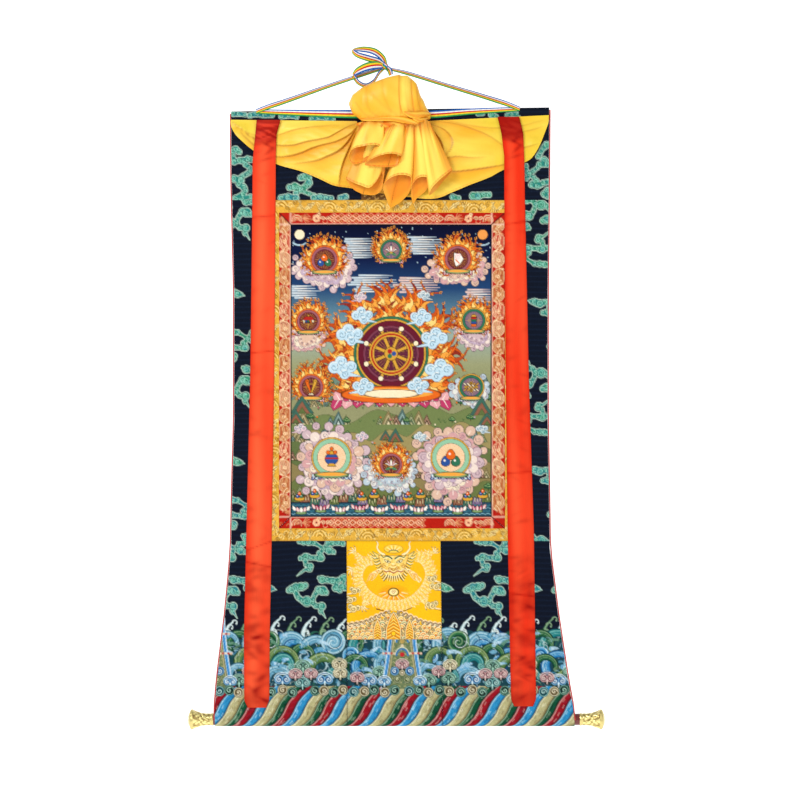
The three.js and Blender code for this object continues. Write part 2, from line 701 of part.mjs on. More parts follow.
// Corded edges, ribbons, veil and hanging tape
add('piping_left', piping(leftEdge, 1, TOP.left.x), 'piping');
add('piping_right', piping(rightEdge, -1, TOP.right.x), 'piping');
add('ribbon_left', ribbon(RIBBONS.left), 'satin');
add('ribbon_right', ribbon(RIBBONS.right), 'satin');
add('veil', joined([swag(), puff(), bunch(), ...Object.values(LAYERS).map(flutedLayer)]), 'veil');
add('hanger_tape', hanger(), 'tape');

// Slat, roller and roller ends
const slatMiddle = (TOP.left.x + TOP.right.x) / 2;
const slatMesh = add('top_slat', slat(), 'wood');
slatMesh.position.set(slatMiddle, 0, topEdge(slatMiddle) - BROCADE - SEAM - SLAT.height / 2);
slatMesh.rotation.y = -Math.atan(TOP_SLOPE);
const rollerMesh = add('bottom_roller', roller(), 'wood');
rollerMesh.position.set((ROLLER.left + ROLLER.right) / 2, AXIS.y, AXIS.z);
for (const [side, x, way] of [['left', ROLLER.left, 1], ['right', ROLLER.right, -1]]) {
  const end = add(`finial_${side}`, finial(), 'brass');
  end.position.set(x - way * FINIAL_GAP, AXIS.y, AXIS.z);
  end.rotation.z = (way * Math.PI) / 2;
}

export default scroll;
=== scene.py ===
"""A hanging scroll painting mounted in silk brocade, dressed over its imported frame.

Sizes are in millimetres until a mesh is made, and Blender's objects are in metres.
X runs to the right, Z up, and the painted face looks along -Y.
"""
import math
from functools import lru_cache

import bpy
import numpy as np
from mathutils.geometry import delaunay_2d_cdt
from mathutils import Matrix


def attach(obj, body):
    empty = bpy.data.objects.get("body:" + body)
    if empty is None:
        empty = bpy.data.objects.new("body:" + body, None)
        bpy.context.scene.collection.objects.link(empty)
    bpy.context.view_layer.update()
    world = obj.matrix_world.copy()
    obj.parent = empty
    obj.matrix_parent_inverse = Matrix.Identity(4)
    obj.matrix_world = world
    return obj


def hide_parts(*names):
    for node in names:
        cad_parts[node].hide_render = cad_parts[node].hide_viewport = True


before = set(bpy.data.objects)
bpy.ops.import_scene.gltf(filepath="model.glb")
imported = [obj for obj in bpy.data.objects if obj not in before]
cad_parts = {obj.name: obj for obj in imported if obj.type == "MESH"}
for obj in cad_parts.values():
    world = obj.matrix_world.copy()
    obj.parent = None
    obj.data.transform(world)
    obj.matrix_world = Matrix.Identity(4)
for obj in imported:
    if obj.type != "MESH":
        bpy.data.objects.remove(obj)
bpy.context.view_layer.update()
MM = 0.001

# Thicknesses and gaps, as in the part's source
BROCADE = 2.0
SATIN = 1.6
VEIL = 1.8
TAPE = 1.2
SEAM = 0.06
LAYER_GAP = 0.3
SILK = 0.8

# Places of the seams and edges, as in the part's source
TOP_LEFT = (-346.0, -98.0)
TOP_RIGHT = (376.0, -89.0)
BOTTOM = -1484.0
FRAME = {"left": -263.3, "right": 301.5, "top": -298.3, "bottom": -1065.2}
GOLD_WIDTH = 28.2
RED_WIDTH = {"left": 25.8, "right": 29.7, "top": 26.3, "bottom": 25.9}
PATCH = {"left": -83.2, "right": 128.3, "bottom": -1287.0}
SKIRT_SPREAD = {"left": 1.7, "right": 4.9}
EDGE_INSET = 3.3
SLEEVE_RADIUS = 5.3
FRONT = -SLEEVE_RADIUS
WRAP_RADIUS = 14.3
AXIS = {"y": FRONT + WRAP_RADIUS, "z": BOTTOM + WRAP_RADIUS + BROCADE / 2}
WRAP_TURN = math.radians(275)
SLAT_FALL = 18.0
SIDE_FOOT = FRAME["bottom"] - SEAM / 2
SKIRT_TOP = SIDE_FOOT - SEAM
VEIL_PLANE = FRONT - BROCADE / 2 - LAYER_GAP - VEIL / 2
RIBBON_PLANE = FRONT - BROCADE / 2 - LAYER_GAP - SATIN / 2
OUTLINE = np.array([
    (-98, -346, 376), (-253, -345, 375), (-505, -339, 372.5), (-793, -339, 372.5),
    (-937, -343, 375), (-1081, -346, 377), (-1153, -352, 386), (-1225, -359, 395),
    (-1297, -368, 406), (-1369, -377, 417), (-1440, -383, 430), (-1484, -383, 434),
], float)

# How far apart the painted points of each cloth lie
PITCH = 2.0
PATCH_PITCH = 1.35
PAINTING_PITCH = 1.9
BACK_PITCH = 30.0
# Further than any point of the cloth, where a shortest distance starts
FAR = 1e9


def level_of(column):
    """The line of one column of the outline, read by height"""
    return lambda z: np.interp(-np.asarray(z, float), -OUTLINE[:, 0], OUTLINE[:, column])


left_edge = level_of(1)
right_edge = level_of(2)


def inside_left(z):
    return left_edge(z) + EDGE_INSET


def inside_right(z):
    return right_edge(z) - EDGE_INSET


def smoothstep(value, low, high):
    share = np.clip((value - low) / (high - low), 0, 1)
    return share * share * (3 - 2 * share)


def bell(away, wide):
    """A soft bump about a place, by how far away from it a point lies"""
    return np.exp(-(away / wide) ** 2)


def sway(x, z):
    """The slow waves that all the hanging cloth shares"""
    held = smoothstep(-150 - z, 0, 160) * smoothstep(z - AXIS["z"], 0, 220)
    slow = 2.2 * np.sin(x / 95 + z / 210 + 0.6)
    return held * (slow + 1.3 * np.sin(x / 58 - z / 130 + 2.1))


@lru_cache(maxsize=None)
def paint(code):
    """A linear colour from six digits"""
    parts = [int(code[i:i + 2], 16) / 255 for i in (0, 2, 4)]
    return np.array([p / 12.92 if p <= 0.04045 else ((p + 0.055) / 1.055) ** 2.4 for p in parts])


def blend_colours(first, second, share):
    return first + (second - first) * np.asarray(share)[..., None]


def tint(colour, code, share):
    """Mixes a colour into painted points, by shares that are held between none and all"""
    colour[..., :3] = blend_colours(colour[..., :3], paint(code), np.clip(share, 0, 1))


# Points to draw shapes through
def polar(x, z, radius, angle, tall=1.0):
    """The point that lies at a radius and an angle from a place"""
    return x + radius * math.cos(angle), z + tall * radius * math.sin(angle)


def placed(x, z, points, size=1, way=1):
    """Points given about a place, at a size, and turned over where way is -1"""
    return [(x + way * size * a, z + size * b) for a, b in points]


def mirrored(x, z, side, size=1):
    """A closed outline from one side of it, as a distance from its middle and a height"""
    return placed(x, z, side, size, -1) + placed(x, z, side[::-1], size)


def spiral(x, z, radius, start=0.0, turns=1.4, way=1, steps=14):
    """Points of a curl that winds in to its middle"""
    shares = np.linspace(0, 1, steps)
    angles = math.radians(start) + way * 2 * math.pi * turns * shares
    reach = radius * (1 - 0.82 * shares)
    return [polar(x, z, r, a) for r, a in zip(reach, angles)]


def arc(x, z, radius, start, end, steps=12, tall=1.0):
    return [polar(x, z, radius, a, tall) for a in np.radians(np.linspace(start, end, steps))]


# Shapes to paint with: each is its box and its signed distance, less than zero inside
def box_about(x, z, wide, tall):
    return x - wide, x + wide, z - tall, z + tall


def box_of(points, reach=0.0):
    (low_x, low_z), (high_x, high_z) = points.min(axis=0), points.max(axis=0)
    return low_x - reach, high_x + reach, low_z - reach, high_z + reach


def disc(x, z, radius):
    return box_about(x, z, radius, radius), lambda px, pz: np.hypot(px - x, pz - z) - radius


def ring(x, z, radius, width):
    reach = radius + width / 2
    return box_about(x, z, reach,
                     reach), lambda px, pz: np.abs(np.hypot(px - x, pz - z) - radius) - width / 2


def oval(x, z, wide, tall):
    small = min(wide, tall)
    return box_about(x, z, wide,
                     tall), lambda px, pz: (np.hypot((px - x) / wide, (pz - z) / tall) - 1) * small


def segment_distance(px, pz, start, end):
    """How far points are from a segment, and the share along it that is nearest to each"""
    (ax, az), (bx, bz) = start, end
    length = max((bx - ax) ** 2 + (bz - az) ** 2, 1e-9)
    share = np.clip(((px - ax) * (bx - ax) + (pz - az) * (bz - az)) / length, 0, 1)
    return np.hypot(px - ax - share * (bx - ax), pz - az - share * (bz - az)), share


def lobes(discs):
    """Several discs as one shape"""
    return union([disc(*row) for row in np.asarray(discs, float)])


def line(points, width, tip=None):
    """A line through points, whose width may change towards its tip, or has its own value at each"""
    points = np.asarray(points, float)
    if np.ndim(width):
        halves = np.asarray(width, float) / 2
    else:
        halves = np.linspace(width, width if tip is None else tip, len(points)) / 2

    def distance(px, pz):
        best = np.full(px.shape, FAR)
        for i in range(len(points) - 1):
            away, share = segment_distance(px, pz, points[i], points[i + 1])
            best = np.minimum(best, away - halves[i] - share * (halves[i + 1] - halves[i]))
        return best
    return box_of(points, halves.max()), distance


def area(points):
    """The inside of a closed outline"""
    points = np.asarray(points, float)

    def distance(px, pz):
        best = np.full(px.shape, FAR)
        inside = np.zeros(px.shape, bool)
        for start, end in zip(points, np.roll(points, -1, axis=0)):
            best = np.minimum(best, segment_distance(px, pz, start, end)[0])
            (ax, az), (bx, bz) = start, end
            if az != bz:
                crossing = (az > pz) != (bz > pz)
                inside ^= crossing & (px < (bx - ax) * (pz - az) / (bz - az) + ax)
        return np.where(inside, -best, best)
    return box_of(points), distance


def union(shapes):
    """Several shapes as one"""
    boxes = np.array([box for box, _ in shapes])
    box = (boxes[:, 0].min(), boxes[:, 1].max(), boxes[:, 2].min(), boxes[:, 3].max())
    return box, lambda px, pz: np.minimum.reduce([distance(px, pz) for _, distance in shapes])


def grown(shape, by):
    (x0, x1, z0, z1), distance = shape
    return (x0 - by, x1 + by, z0 - by, z1 + by), lambda px, pz: distance(px, pz) - by


def inside_both(shape, other):
    box, distance = shape
    return box, lambda px, pz: np.maximum(distance(px, pz), other[1](px, pz))


class Canvas:
    """The painted points of a cloth, by their flat places"""

    def __init__(self, x, z, ground, pitch=PITCH, relief=0.3):
        self.x, self.z = x, z
        self.soft = pitch * 0.8
        self.colour = np.empty(x.shape + (4,))
        self.colour[..., :3] = paint(ground)
        self.colour[..., 3] = relief
        self.low, self.high = z.min(axis=1), z.max(axis=1)

    def window(self, box):
        x0, x1, z0, z1 = box
        rows = np.flatnonzero((self.high > z0 - self.soft) & (self.low < z1 + self.soft))
        if not len(rows):
            return None
        rows = slice(rows[0], rows[-1] + 1)
        part = self.x[rows]
        columns = np.flatnonzero((part.max(axis=0) > x0 - self.soft) & (part.min(axis=0) < x1 + self.soft))
        if not len(columns):
            return None
        return rows, slice(columns[0], columns[-1] + 1)

    def draw(self, shape, code, relief=None, strength=1.0):
        """Paints a shape in one colour; relief is how far its threads stand up"""
        box, distance = shape
        window = self.window(box)
        if window is None:
            return
        cover = np.clip(0.5 - distance(self.x[window], self.z[window]) / self.soft, 0, 1) * strength
        part = self.colour[window]
        part[..., :3] += cover[..., None] * (paint(code) - part[..., :3])
        if relief is not None:
            part[..., 3] += cover * (relief - part[..., 3])

    def shade(self, share, code):
        """Mixes a colour in all over, by an array of shares"""
        self.colour[..., :3] += share[..., None] * (paint(code) - self.colour[..., :3])

    def mottle(self, seed, strength):
        """Uneven threads: each point a little lighter or darker"""
        noise = np.random.default_rng(seed).normal(1, strength, self.x.shape)
        self.colour[..., :3] = np.clip(self.colour[..., :3] * noise[..., None], 0.002, 1)


# Meshes
def new_object(name, points, groups, colour=None, sharp=35):
    """An object from points in millimetres and arrays of faces, with painted points"""
    mesh = bpy.data.meshes.new(name)
    corners = np.concatenate([group.ravel() for group in groups]).astype(np.int32)
    sizes = np.concatenate([np.full(len(group), group.shape[1]) for group in groups])
    starts = np.concatenate([[0], np.cumsum(sizes)[:-1]]).astype(np.int32)
    mesh.vertices.add(len(points))
    mesh.vertices.foreach_set("co", (np.asarray(points) * MM).astype(np.float32).ravel())
    mesh.loops.add(len(corners))
    mesh.loops.foreach_set("vertex_index", corners)
    mesh.polygons.add(len(sizes))
    mesh.polygons.foreach_set("loop_start", starts)
    mesh.polygons.foreach_set("use_smooth", np.ones(len(sizes), bool))
    mesh.update(calc_edges=True)
    mesh.validate()
    mesh.set_sharp_from_angle(angle=math.radians(sharp))
    if colour is not None:
        layer = mesh.color_attributes.new("thread", "FLOAT_COLOR", "POINT")
        layer.data.foreach_set("color", colour.astype(np.float32).ravel())
    made = bpy.data.objects.new(name, mesh)
    bpy.context.scene.collection.objects.link(made)
    return made


def grid_faces(rows, columns, first=0, flip=False):
    index = first + np.arange(rows * columns).reshape(rows, columns)
    quads = [index[:-1, :-1], index[1:, :-1], index[1:, 1:], index[:-1, 1:]]
    if flip:
        quads.reverse()
    return np.stack(quads, axis=-1).reshape(-1, 4)


def rim_of(rows, columns):
    """The points round the edge of a grid, clockwise from the front"""
    index = np.arange(rows * columns).reshape(rows, columns)
    return np.concatenate([index[0, :-1], index[:-1, -1], index[-1, :0:-1], index[:0:-1, 0]])


def back_of(canvas, rim, bend_rows):
    """Triangles and places for a plain back, fine only along its rim and where it bends"""
    rows, columns = canvas.x.shape
    row_step = np.abs(np.diff(canvas.z[:, 0])).mean()
    kept = set(range(int(BACK_PITCH / row_step), rows - 2, int(BACK_PITCH / row_step))) | set(bend_rows)
    picked_rows = sorted(row for row in kept if 0 < row < rows - 1)
    column_step = max(int(BACK_PITCH / PITCH), 2)
    picked_columns = range(column_step // 2, columns - 1, column_step)
    inner = np.array([row * columns + column for row in picked_rows for column in picked_columns], int)
    used = np.concatenate([rim, inner])
    flat = np.stack([canvas.x.ravel()[used], canvas.z.ravel()[used]], axis=1)
    outline = list(range(len(rim)))[::-1]
    result = delaunay_2d_cdt([tuple(p) for p in flat], [], [outline], 1, 1e-4, True)
    origins = [source[0] for source in result[3]]
    kept_faces = [face for face, source in zip(result[2], result[5]) if source]
    triangles = np.array([[origins[corner] for corner in face] for face in kept_faces])
    return used, triangles[:, ::-1]


def cloth(name, canvas, place, node, back, bend_rows=(), thickness=BROCADE):
    """A thick cloth with a painted face and a plain back, in the place of a CAD node"""
    rows, columns = canvas.x.shape
    face = place(canvas.x, canvas.z, 0.0).reshape(-1, 3)
    rim = rim_of(rows, columns)
    used, triangles = back_of(canvas, rim, bend_rows)
    x, z = canvas.x.ravel()[used], canvas.z.ravel()[used]
    behind = place(x, z, thickness)
    following = np.roll(np.arange(len(rim)), -1)
    first = len(face)
    walls = np.stack([rim, rim[following], first + following, first + np.arange(len(rim))], axis=-1)
    colours = np.empty((len(face) + len(behind), 4))
    colours[:len(face)] = canvas.colour.reshape(-1, 4)
    colours[len(face):, :3] = paint(back)
    colours[len(face):, 3] = 0.3
    groups = [grid_faces(rows, columns), walls, first + triangles]
    made = new_object(name, np.concatenate([face, behind]), groups, colours)
    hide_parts(node)
    return made


def sheet_mesh(name, parts, thickness, sharp=50):
    """Thin closed sheets from grids of middle points, each given with its colours"""
    points, groups, colours = [], [], []
    first = 0
    for middle, colour in parts:
        rows, columns = middle.shape[:2]
        across = np.gradient(middle, axis=1)
        down = np.gradient(middle, axis=0)
        normal = np.cross(down, across)
        normal /= np.maximum(np.linalg.norm(normal, axis=-1, keepdims=True), 1e-9)
        count = rows * columns
        for side in (1, -1):
            points.append((middle + normal * side * thickness / 2).reshape(-1, 3))
            colours.append(colour.reshape(-1, 4))
        groups.append(grid_faces(rows, columns, first))
        groups.append(grid_faces(rows, columns, first + count, flip=True))
        rim = rim_of(rows, columns) + first
        following = np.roll(rim, -1)
        groups.append(np.stack([rim, following, following + count, rim + count], axis=-1))
        first += 2 * count
    return new_object(name, np.concatenate(points), groups, np.concatenate(colours), sharp)


# Curves through points, as the part's source smooths them
def smooth_curve(points, shares):
    """Centripetal curve through the points; shares run from 0 to 1 with even steps for each point"""
    points = np.asarray(points, float)
    padded = np.vstack([2 * points[0] - points[1], points, 2 * points[-1] - points[-2]])
    place = np.clip(np.asarray(shares, float), 0, 1) * (len(points) - 1)
    first = np.minimum(place.astype(int), len(points) - 2)
    t = (place - first)[:, None]
    p0, p1, p2, p3 = (padded[first + i] for i in range(4))
    steps = [np.maximum(np.linalg.norm(b - a, axis=1, keepdims=True), 1e-6) ** 0.5
             for a, b in ((p0, p1), (p1, p2), (p2, p3))]
    d0, d1, d2 = steps
    t1 = ((p1 - p0) / d0 - (p2 - p0) / (d0 + d1) + (p2 - p1) / d1) * d1
    t2 = ((p2 - p1) / d1 - (p3 - p1) / (d1 + d2) + (p3 - p2) / d2) * d1
    c2 = -3 * p1 + 3 * p2 - 2 * t1 - t2
    c3 = 2 * p1 - 2 * p2 + t1 + t2
    return p1 + t1 * t + c2 * t ** 2 + c3 * t ** 3


def even_curve(points, shares, divisions=400):
    """The same curve with its steps even along its length"""
    steps = np.linspace(0, 1, divisions + 1)
    dense = smooth_curve(points, steps)
    lengths = np.concatenate([[0], np.cumsum(np.linalg.norm(np.diff(dense, axis=0), axis=1))])
    return smooth_curve(points, np.interp(np.asarray(shares) * lengths[-1], lengths, steps))


def curve_through(points, steps):
    """A number of points along the curve through some"""
    return smooth_curve(points, np.linspace(0, 1, steps))


# Navy brocade: clouds on a dark ground, with a sea and slanting stripes at the foot
NAVY = "0a1120"
NAVY_BACK = "12182a"
CLOUD_RIM = "b4d0bc"
CLOUD_SHADE = "08302e"
CLOUD_CURL = "8ed2b8"
CLOUD_BODIES = ["2a8276", "33896a", "267c82"]
# The radius from which a part of a stroke is a lobe with curls, and that of the scallops round it
LOBE_LEAST = 4
SCALLOP = 2.4

# Each cloud is drawn in strokes that swell and narrow: across, up, radius
CLOUDS = {
    "arch": [
        [(-42, 22, 5), (-35, 25, 8), (-25, 29, 9.5), (-13, 31, 9), (-4, 34, 6.5)],
        [(-26, 20, 6), (-20, 7, 5.5), (-10, 0, 6), (0, -2, 11), (12, -4, 6), (20, -12, 5.5), (33, -13, 8.5),
         (31, -23, 5.5), (36, -30, 3), (42, -40, 0.8)],
        [(13, 0, 5.5), (16, 10, 4.5), (22, 19, 5.5), (27, 23, 9), (35, 22, 10), (42, 18, 6.5)],
    ],
    "fork": [
        [(-55, 16, 4.5), (-45, 16, 7), (-34, 15, 7), (-22, 14, 6), (-10, 7, 4), (0, 0, 6), (12, -3, 8.5),
         (22, -7, 5.5)],
        [(43, 12, 6), (31, 15, 7.5), (19, 14, 7.5), (10, 13, 6), (7, 7, 4.5), (2, 1, 5)],
        [(0, -1, 5), (-9, -10, 6), (-6, -20, 8), (-17, -20, 5.5), (-29, -20, 5.5), (-40, -18, 8),
         (-51, -21, 5.5)],
        [(-41, -25, 6), (-40, -36, 4.5), (-30, -39, 7), (-32, -46, 5.5), (-42, -47, 3.2), (-50, -53, 2.8),
         (-60, -61, 0.8)],
    ],
    "pair": [
        [(-50, 10, 4), (-42, 7, 8.5), (-30, 6, 7), (-18, 4, 7.5), (-4, 6, 5.5), (8, 11, 8), (20, 12, 5)],
        [(8, 8, 4.5), (6, -2, 4.5), (2, -10, 7.5), (14, -12, 6.5), (26, -9, 8.5), (38, -13, 7.5),
         (48, -15, 3.5),
         (54, -16, 1)],
        [(-8, 0, 4.5), (-12, -12, 7.5), (-3, -17, 6)],
    ],
}
# One repeat of the weave, and its clouds: place across, place down, kind
REPEAT = {"wide": 199, "tall": 378}
CLOUD_LAYOUT = [(0, 0, "fork"), (-37, 116, "arch"), (39, 76, "pair")]


# Clouds of the top cloth, placed one by one
TOP_CLOUDS = [
    [[(-345, -194, 6), (-339, -188, 7), (-332, -184, 7), (-325, -190, 6.5)],
     [(-338, -198, 5), (-336, -212, 7), (-324, -209, 7), (-313, -210, 7.5), (-306, -206, 7),
      (-298, -208, 6)],
     [(-310, -218, 6.5), (-301, -226, 5.5), (-300, -233, 5.5), (-307, -239, 5), (-316, -244, 5),
      (-322, -251, 7)],
     [(-336, -250, 8), (-321, -254, 7.5), (-326, -261, 6.5), (-315, -269, 7), (-311, -277, 6),
      (-316, -285, 6.5),
      (-332, -294, 7), (-320, -295, 7), (-300, -291, 6)]],
    [[(-187, -249, 6), (-177, -246, 7.5), (-168, -249, 6.5), (-168, -259, 8), (-175, -267, 6.5),
      (-185, -275, 7)],
     [(-211, -270, 7), (-200, -268, 8.5), (-191, -274, 7.5), (-196, -282, 6.5)],
     [(-184, -277, 5), (-177, -280, 5), (-167, -284, 5), (-156, -288, 5)]],
    [[(-230, -294, 7), (-214, -292, 8.5), (-198, -294, 8)],
     [(-156, -293, 7), (-143, -292, 7.5), (-130, -294, 7),
      (-118, -295, 6)], [(-97, -294, 6), (-85, -291, 6.5)]],
    [[(367, -174, 7.5), (358, -183, 5), (353, -192, 5), (348, -201, 5.5)],
     [(361, -208, 7.5), (368, -217, 7), (352, -218, 7), (346, -226, 5), (337, -233, 5.5), (329, -240, 6.5),
      (322, -234, 5), (320, -222, 5.5)], [(321, -250, 5), (329, -242, 5), (338, -247, 5), (343, -256, 7.5),
      (333, -264, 6.5), (346, -266, 7), (359, -260, 6.5), (372, -257, 6)],
     [(369, -277, 7.5), (360, -284, 6), (370, -291, 5)]],
    [[(156, -291, 6.5), (169, -293, 5)],
     [(202, -289, 8.5), (212, -289, 8.5), (225, -286, 6.5), (237, -286, 6.5)]],
    [[(-338, -104, 6.5), (-326, -104, 6), (-312, -106, 5)],
     [(-300, -108, 6), (-286, -104, 7), (-268, -107, 6.5),
      (-251, -107, 6)], [(-230, -110, 6), (-214, -108, 6), (-196, -111, 5.5)],
     [(-161, -116, 6), (-146, -112, 6.5),
      (-128, -113, 6.5), (-114, -117, 5)]],
    [[(211, -106, 3.5), (224, -105, 4)], [(243, -106, 7), (253, -111, 5.5)],
     [(278, -108, 5), (288, -105, 5.5),
      (302, -106, 5.5)]],
]


def cloud(canvas, x, z, kind, way=1, tone=0):
    """A cloud of one kind, turned half round where way is -1"""
    strokes = [[(x + way * a, z + way * b, r) for a, b, r in stroke] for stroke in CLOUDS[kind]]
    cloud_strokes(canvas, strokes, tone)


def cloud_strokes(canvas, strokes, tone):
    """Curled lobes strung along strokes, with a pale scalloped rim"""
    scallops = []
    for stroke in strokes:
        for px, pz, radius in curve_through(stroke, 3 * len(stroke)):
            if radius > LOBE_LEAST:
                way = 1 if len(scallops) % 2 else -1
                for side in (1, -1):
                    scallops.append(disc(px + side * 0.5 * way * radius, pz + side * 0.66 * radius,
                                         SCALLOP))
        for (ax, az, ar), (bx, bz, br) in zip(stroke[:-1], stroke[1:]):
            if min(ar, br) > LOBE_LEAST:
                scallops.append(disc((ax + bx) / 2, (az + bz) / 2, (ar + br) / 2 * 0.96))
        scallops += [disc(px, pz, radius * 1.1) for px, pz, radius in stroke if radius > LOBE_LEAST]
    cores = [line([p[:2] for p in stroke], [1.8 * p[2] for p in stroke]) for stroke in strokes]
    whole = union(cores + scallops)
    bumps = [p for stroke in strokes for p in stroke if p[2] > LOBE_LEAST]
    canvas.draw(grown(whole, 0.4), CLOUD_RIM, 0.9)
    canvas.draw(grown(whole, -1.2), CLOUD_BODIES[tone % 3], 0.7)
    for i, (px, pz, radius) in enumerate(bumps):
        turn = 1 if i % 2 else -1
        start = 70 * i
        if i % 3 == 0:
            canvas.draw(disc(px, pz, radius - 2.6), CLOUD_BODIES[(tone + 1) % 3], 0.7)
        canvas.draw(line(arc(px, pz, radius - 1.2, start, start + 210, 10), 1.1), CLOUD_SHADE, 0.5)
        canvas.draw(line(arc(px, pz, radius - 2.6, start + 20, start + 250, 10), 1.7), CLOUD_CURL, 0.8)
        canvas.draw(line(spiral(px, pz, max(radius - 4.6, 1.5), start, 1.2, turn, 12), 1.2), CLOUD_CURL,
                    0.8)
        canvas.draw(disc(px, pz, 1.2), CLOUD_SHADE, 0.5)


def cloud_field(canvas, start, way=1, low=-1262.0, high=20.0):
    """The clouds of one cloth, from where its first cloud lies, each second column dropped by half"""
    margin = 60
    box = (canvas.x.min() - margin, canvas.x.max() + margin, canvas.z.min() - margin,
           canvas.z.max() + margin)
    for column in range(-5, 6):
        for row in range(-4, 5):
            for across, down, kind in CLOUD_LAYOUT:
                for drop in (0, 1):
                    px = start[0] + way * ((column + drop / 2) * REPEAT["wide"] + across)
                    pz = start[1] - way * ((row + drop / 2) * REPEAT["tall"] + down)
                    if low < pz - 30 and pz < high and box[0] < px < box[1] and box[2] < pz < box[3]:
                        cloud(canvas, px, pz, kind, way, column + row + drop)


# The sea: rolling waves with foam, curled crests, jewelled rocks and the slanting stripes
SEA_TOP = -1270.0
STRIPE_TOP = -1402.0
SEA_REPEAT = 427.0
SEA_SPAN = (-440, 480)
# How many loose strokes, smears and fine threads there are over the sea, and their colours
SEA_STROKES = 420
SEA_SMEARS = 64
SEA_THREADS = 620
STROKE_COLOURS = ("3f7894", "7fa9ba", "245a48", "4c6a3c", "123f6c", "0c302e", "9fc0c4", "2f6c74")
SMEAR_COLOURS = (("6ca8cc", "c4dce8"), ("2c6450", "7ca888"), ("8cbcd4", "dceaf0"), ("2f7c9c", "90c4dc"))
ROCK_MIDDLE = 42.0
DEPTHS = "173f48"
FOAM = "dbe8e6"
WATER = {
    "pale": ("163f54", "6ca2ba", "a8ccd6", "4a88a6"),
    "blue": ("103a68", "2474aa", "8cc0d8", "4c98c4"),
    "teal": ("08383a", "1a7074", "70b0a8", "348a88"),
    "green": ("082a1a", "184e30", "74986e", "306c40"),
    "olive": ("1a3818", "4a6e3c", "98aa74", "6a8850"),
}
# Rolls of water: across from the rock, height, radius, how tall, start and end, thick, tip, colours
ROLLS = [
    (60, -1300, 26, 1.0, 200, -30, 22, 10, "green"), (34, -1296, 22, 1.0, 210, 0, 18, 8, "pale"),
    (104, -1296, 27, 1.0, 190, -40, 22, 12, "pale"), (350, -1302, 34, 0.9, 200, -20, 24, 8, "teal"),
    (392, -1298, 22, 1.0, 190, -30, 20, 8, "pale"), (312, -1296, 24, 1.0, 200, -40, 20, 8, "green"),
    (178, -1302, 26, 0.95, 190, -10, 24, 12, "pale"), (236, -1314, 32, 0.9, 170, -20, 22, 10, "pale"),
    (182, -1306, 15, 0.9, 170, -10, 14, 8, "blue"), (242, -1326, 17, 0.9, 160, -10, 14, 6, "blue"),
    (204, -1324, 22, 1.0, 150, -10, 16, 8, "green"), (84, -1336, 26, 1.0, 205, -10, 20, 8, "olive"),
    (158, -1340, 33, 1.0, 200, -10, 15, 10, "olive"), (160, -1344, 18, 1.0, 190, -10, 22, 12, "teal"),
    (250, -1360, 34, 1.0, 150, -10, 24, 14, "olive"), (352, -1346, 30, 0.9, 200, 0, 20, 8, "blue"),
    (322, -1350, 24, 1.0, 200, -10, 18, 8, "green"), (390, -1342, 20, 1.0, 190, -10, 16, 8, "pale"),
    (148, -1378, 28, 0.9, 170, 30, 22, 12, "pale"), (284, -1376, 24, 1.0, 180, 10, 18, 8, "teal"),
    (100, -1376, 24, 1.0, 180, 0, 18, 8, "teal"), (60, -1368, 22, 1.0, 190, 0, 16, 8, "pale"),
    (232, -1388, 20, 1.0, 180, 10, 14, 8, "green"), (372, -1384, 24, 1.0, 180, 0, 18, 8, "olive"),
]
# Round swirls: across, height, radius, colours
SWIRLS = [(127, -1292, 24, "green"), (272, -1292, 27, "pale"), (312, -1322, 19, "blue"),
          (66, -1326, 15, "blue"),
          (378, -1322, 15, "teal"), (216, -1334, 11, "blue")]
# Sprays of foam along the top: across, tall, colour
SPRAYS = [(34, 34, 1), (69, 38, 0), (106, 26, 1), (136, 44, 1), (174, 42, 0), (208, 42, 1), (248, 40, 0),
          (284, 36, 1), (322, 42, 0), (356, 44, 1), (392, 38, 0)]
# Curls above the stripes: across, height, radius, colours
CURLS = [
    (204, -1347, 9, "green"), (158, -1377, 10, "blue"), (203, -1384, 9.5, "teal"),
    (253, -1377, 10, "blue"), (60, -1380, 9, "green"), (352, -1380, 9.5, "blue"),
    (398, -1378, 9, "teal"), (108, -1346, 8.5, "cream"), (104, -1376, 9, "green"),
    (286, -1344, 9, "cream"), (326, -1374, 8.5, "rose"), (187, -1366, 8, "rose"),
    (222, -1365, 8, "rose"), (288, -1364, 8.5, "cream"), (376, -1360, 8, "green"), (82, -1360, 8, "rose"),
]
# Curls along the heads of the stripes: across from the rock, and colours
CREST_ROW = [(16, "teal"), (38, "green"), (59, "cream"), (84, "green"), (106, "cream"), (132, "green"),
             (158, "cream"),
             (180, "green"), (231, "green"), (251, "cream"), (273, "green"), (294, "cream"), (318, "teal"),
             (342, "cream"), (364, "green"), (388, "cream"), (410, "green")]
CURL_EDGE = "0a2422"
CURL_COLOURS = {
    "green": ("6c9c88", "04201a", "a8d4bc"), "teal": ("7cb4b0", "063a42", "b4dcd4"),
    "blue": ("78b0d4", "10487c", "d8ecf0"), "cream": ("cfc7a4", "5c4c2c", "eee6c4"),
    "rose": ("c89c9c", "54242e", "e4c8c0"), "olive": ("9ca47c", "3a4820", "ccd0a4"),
}


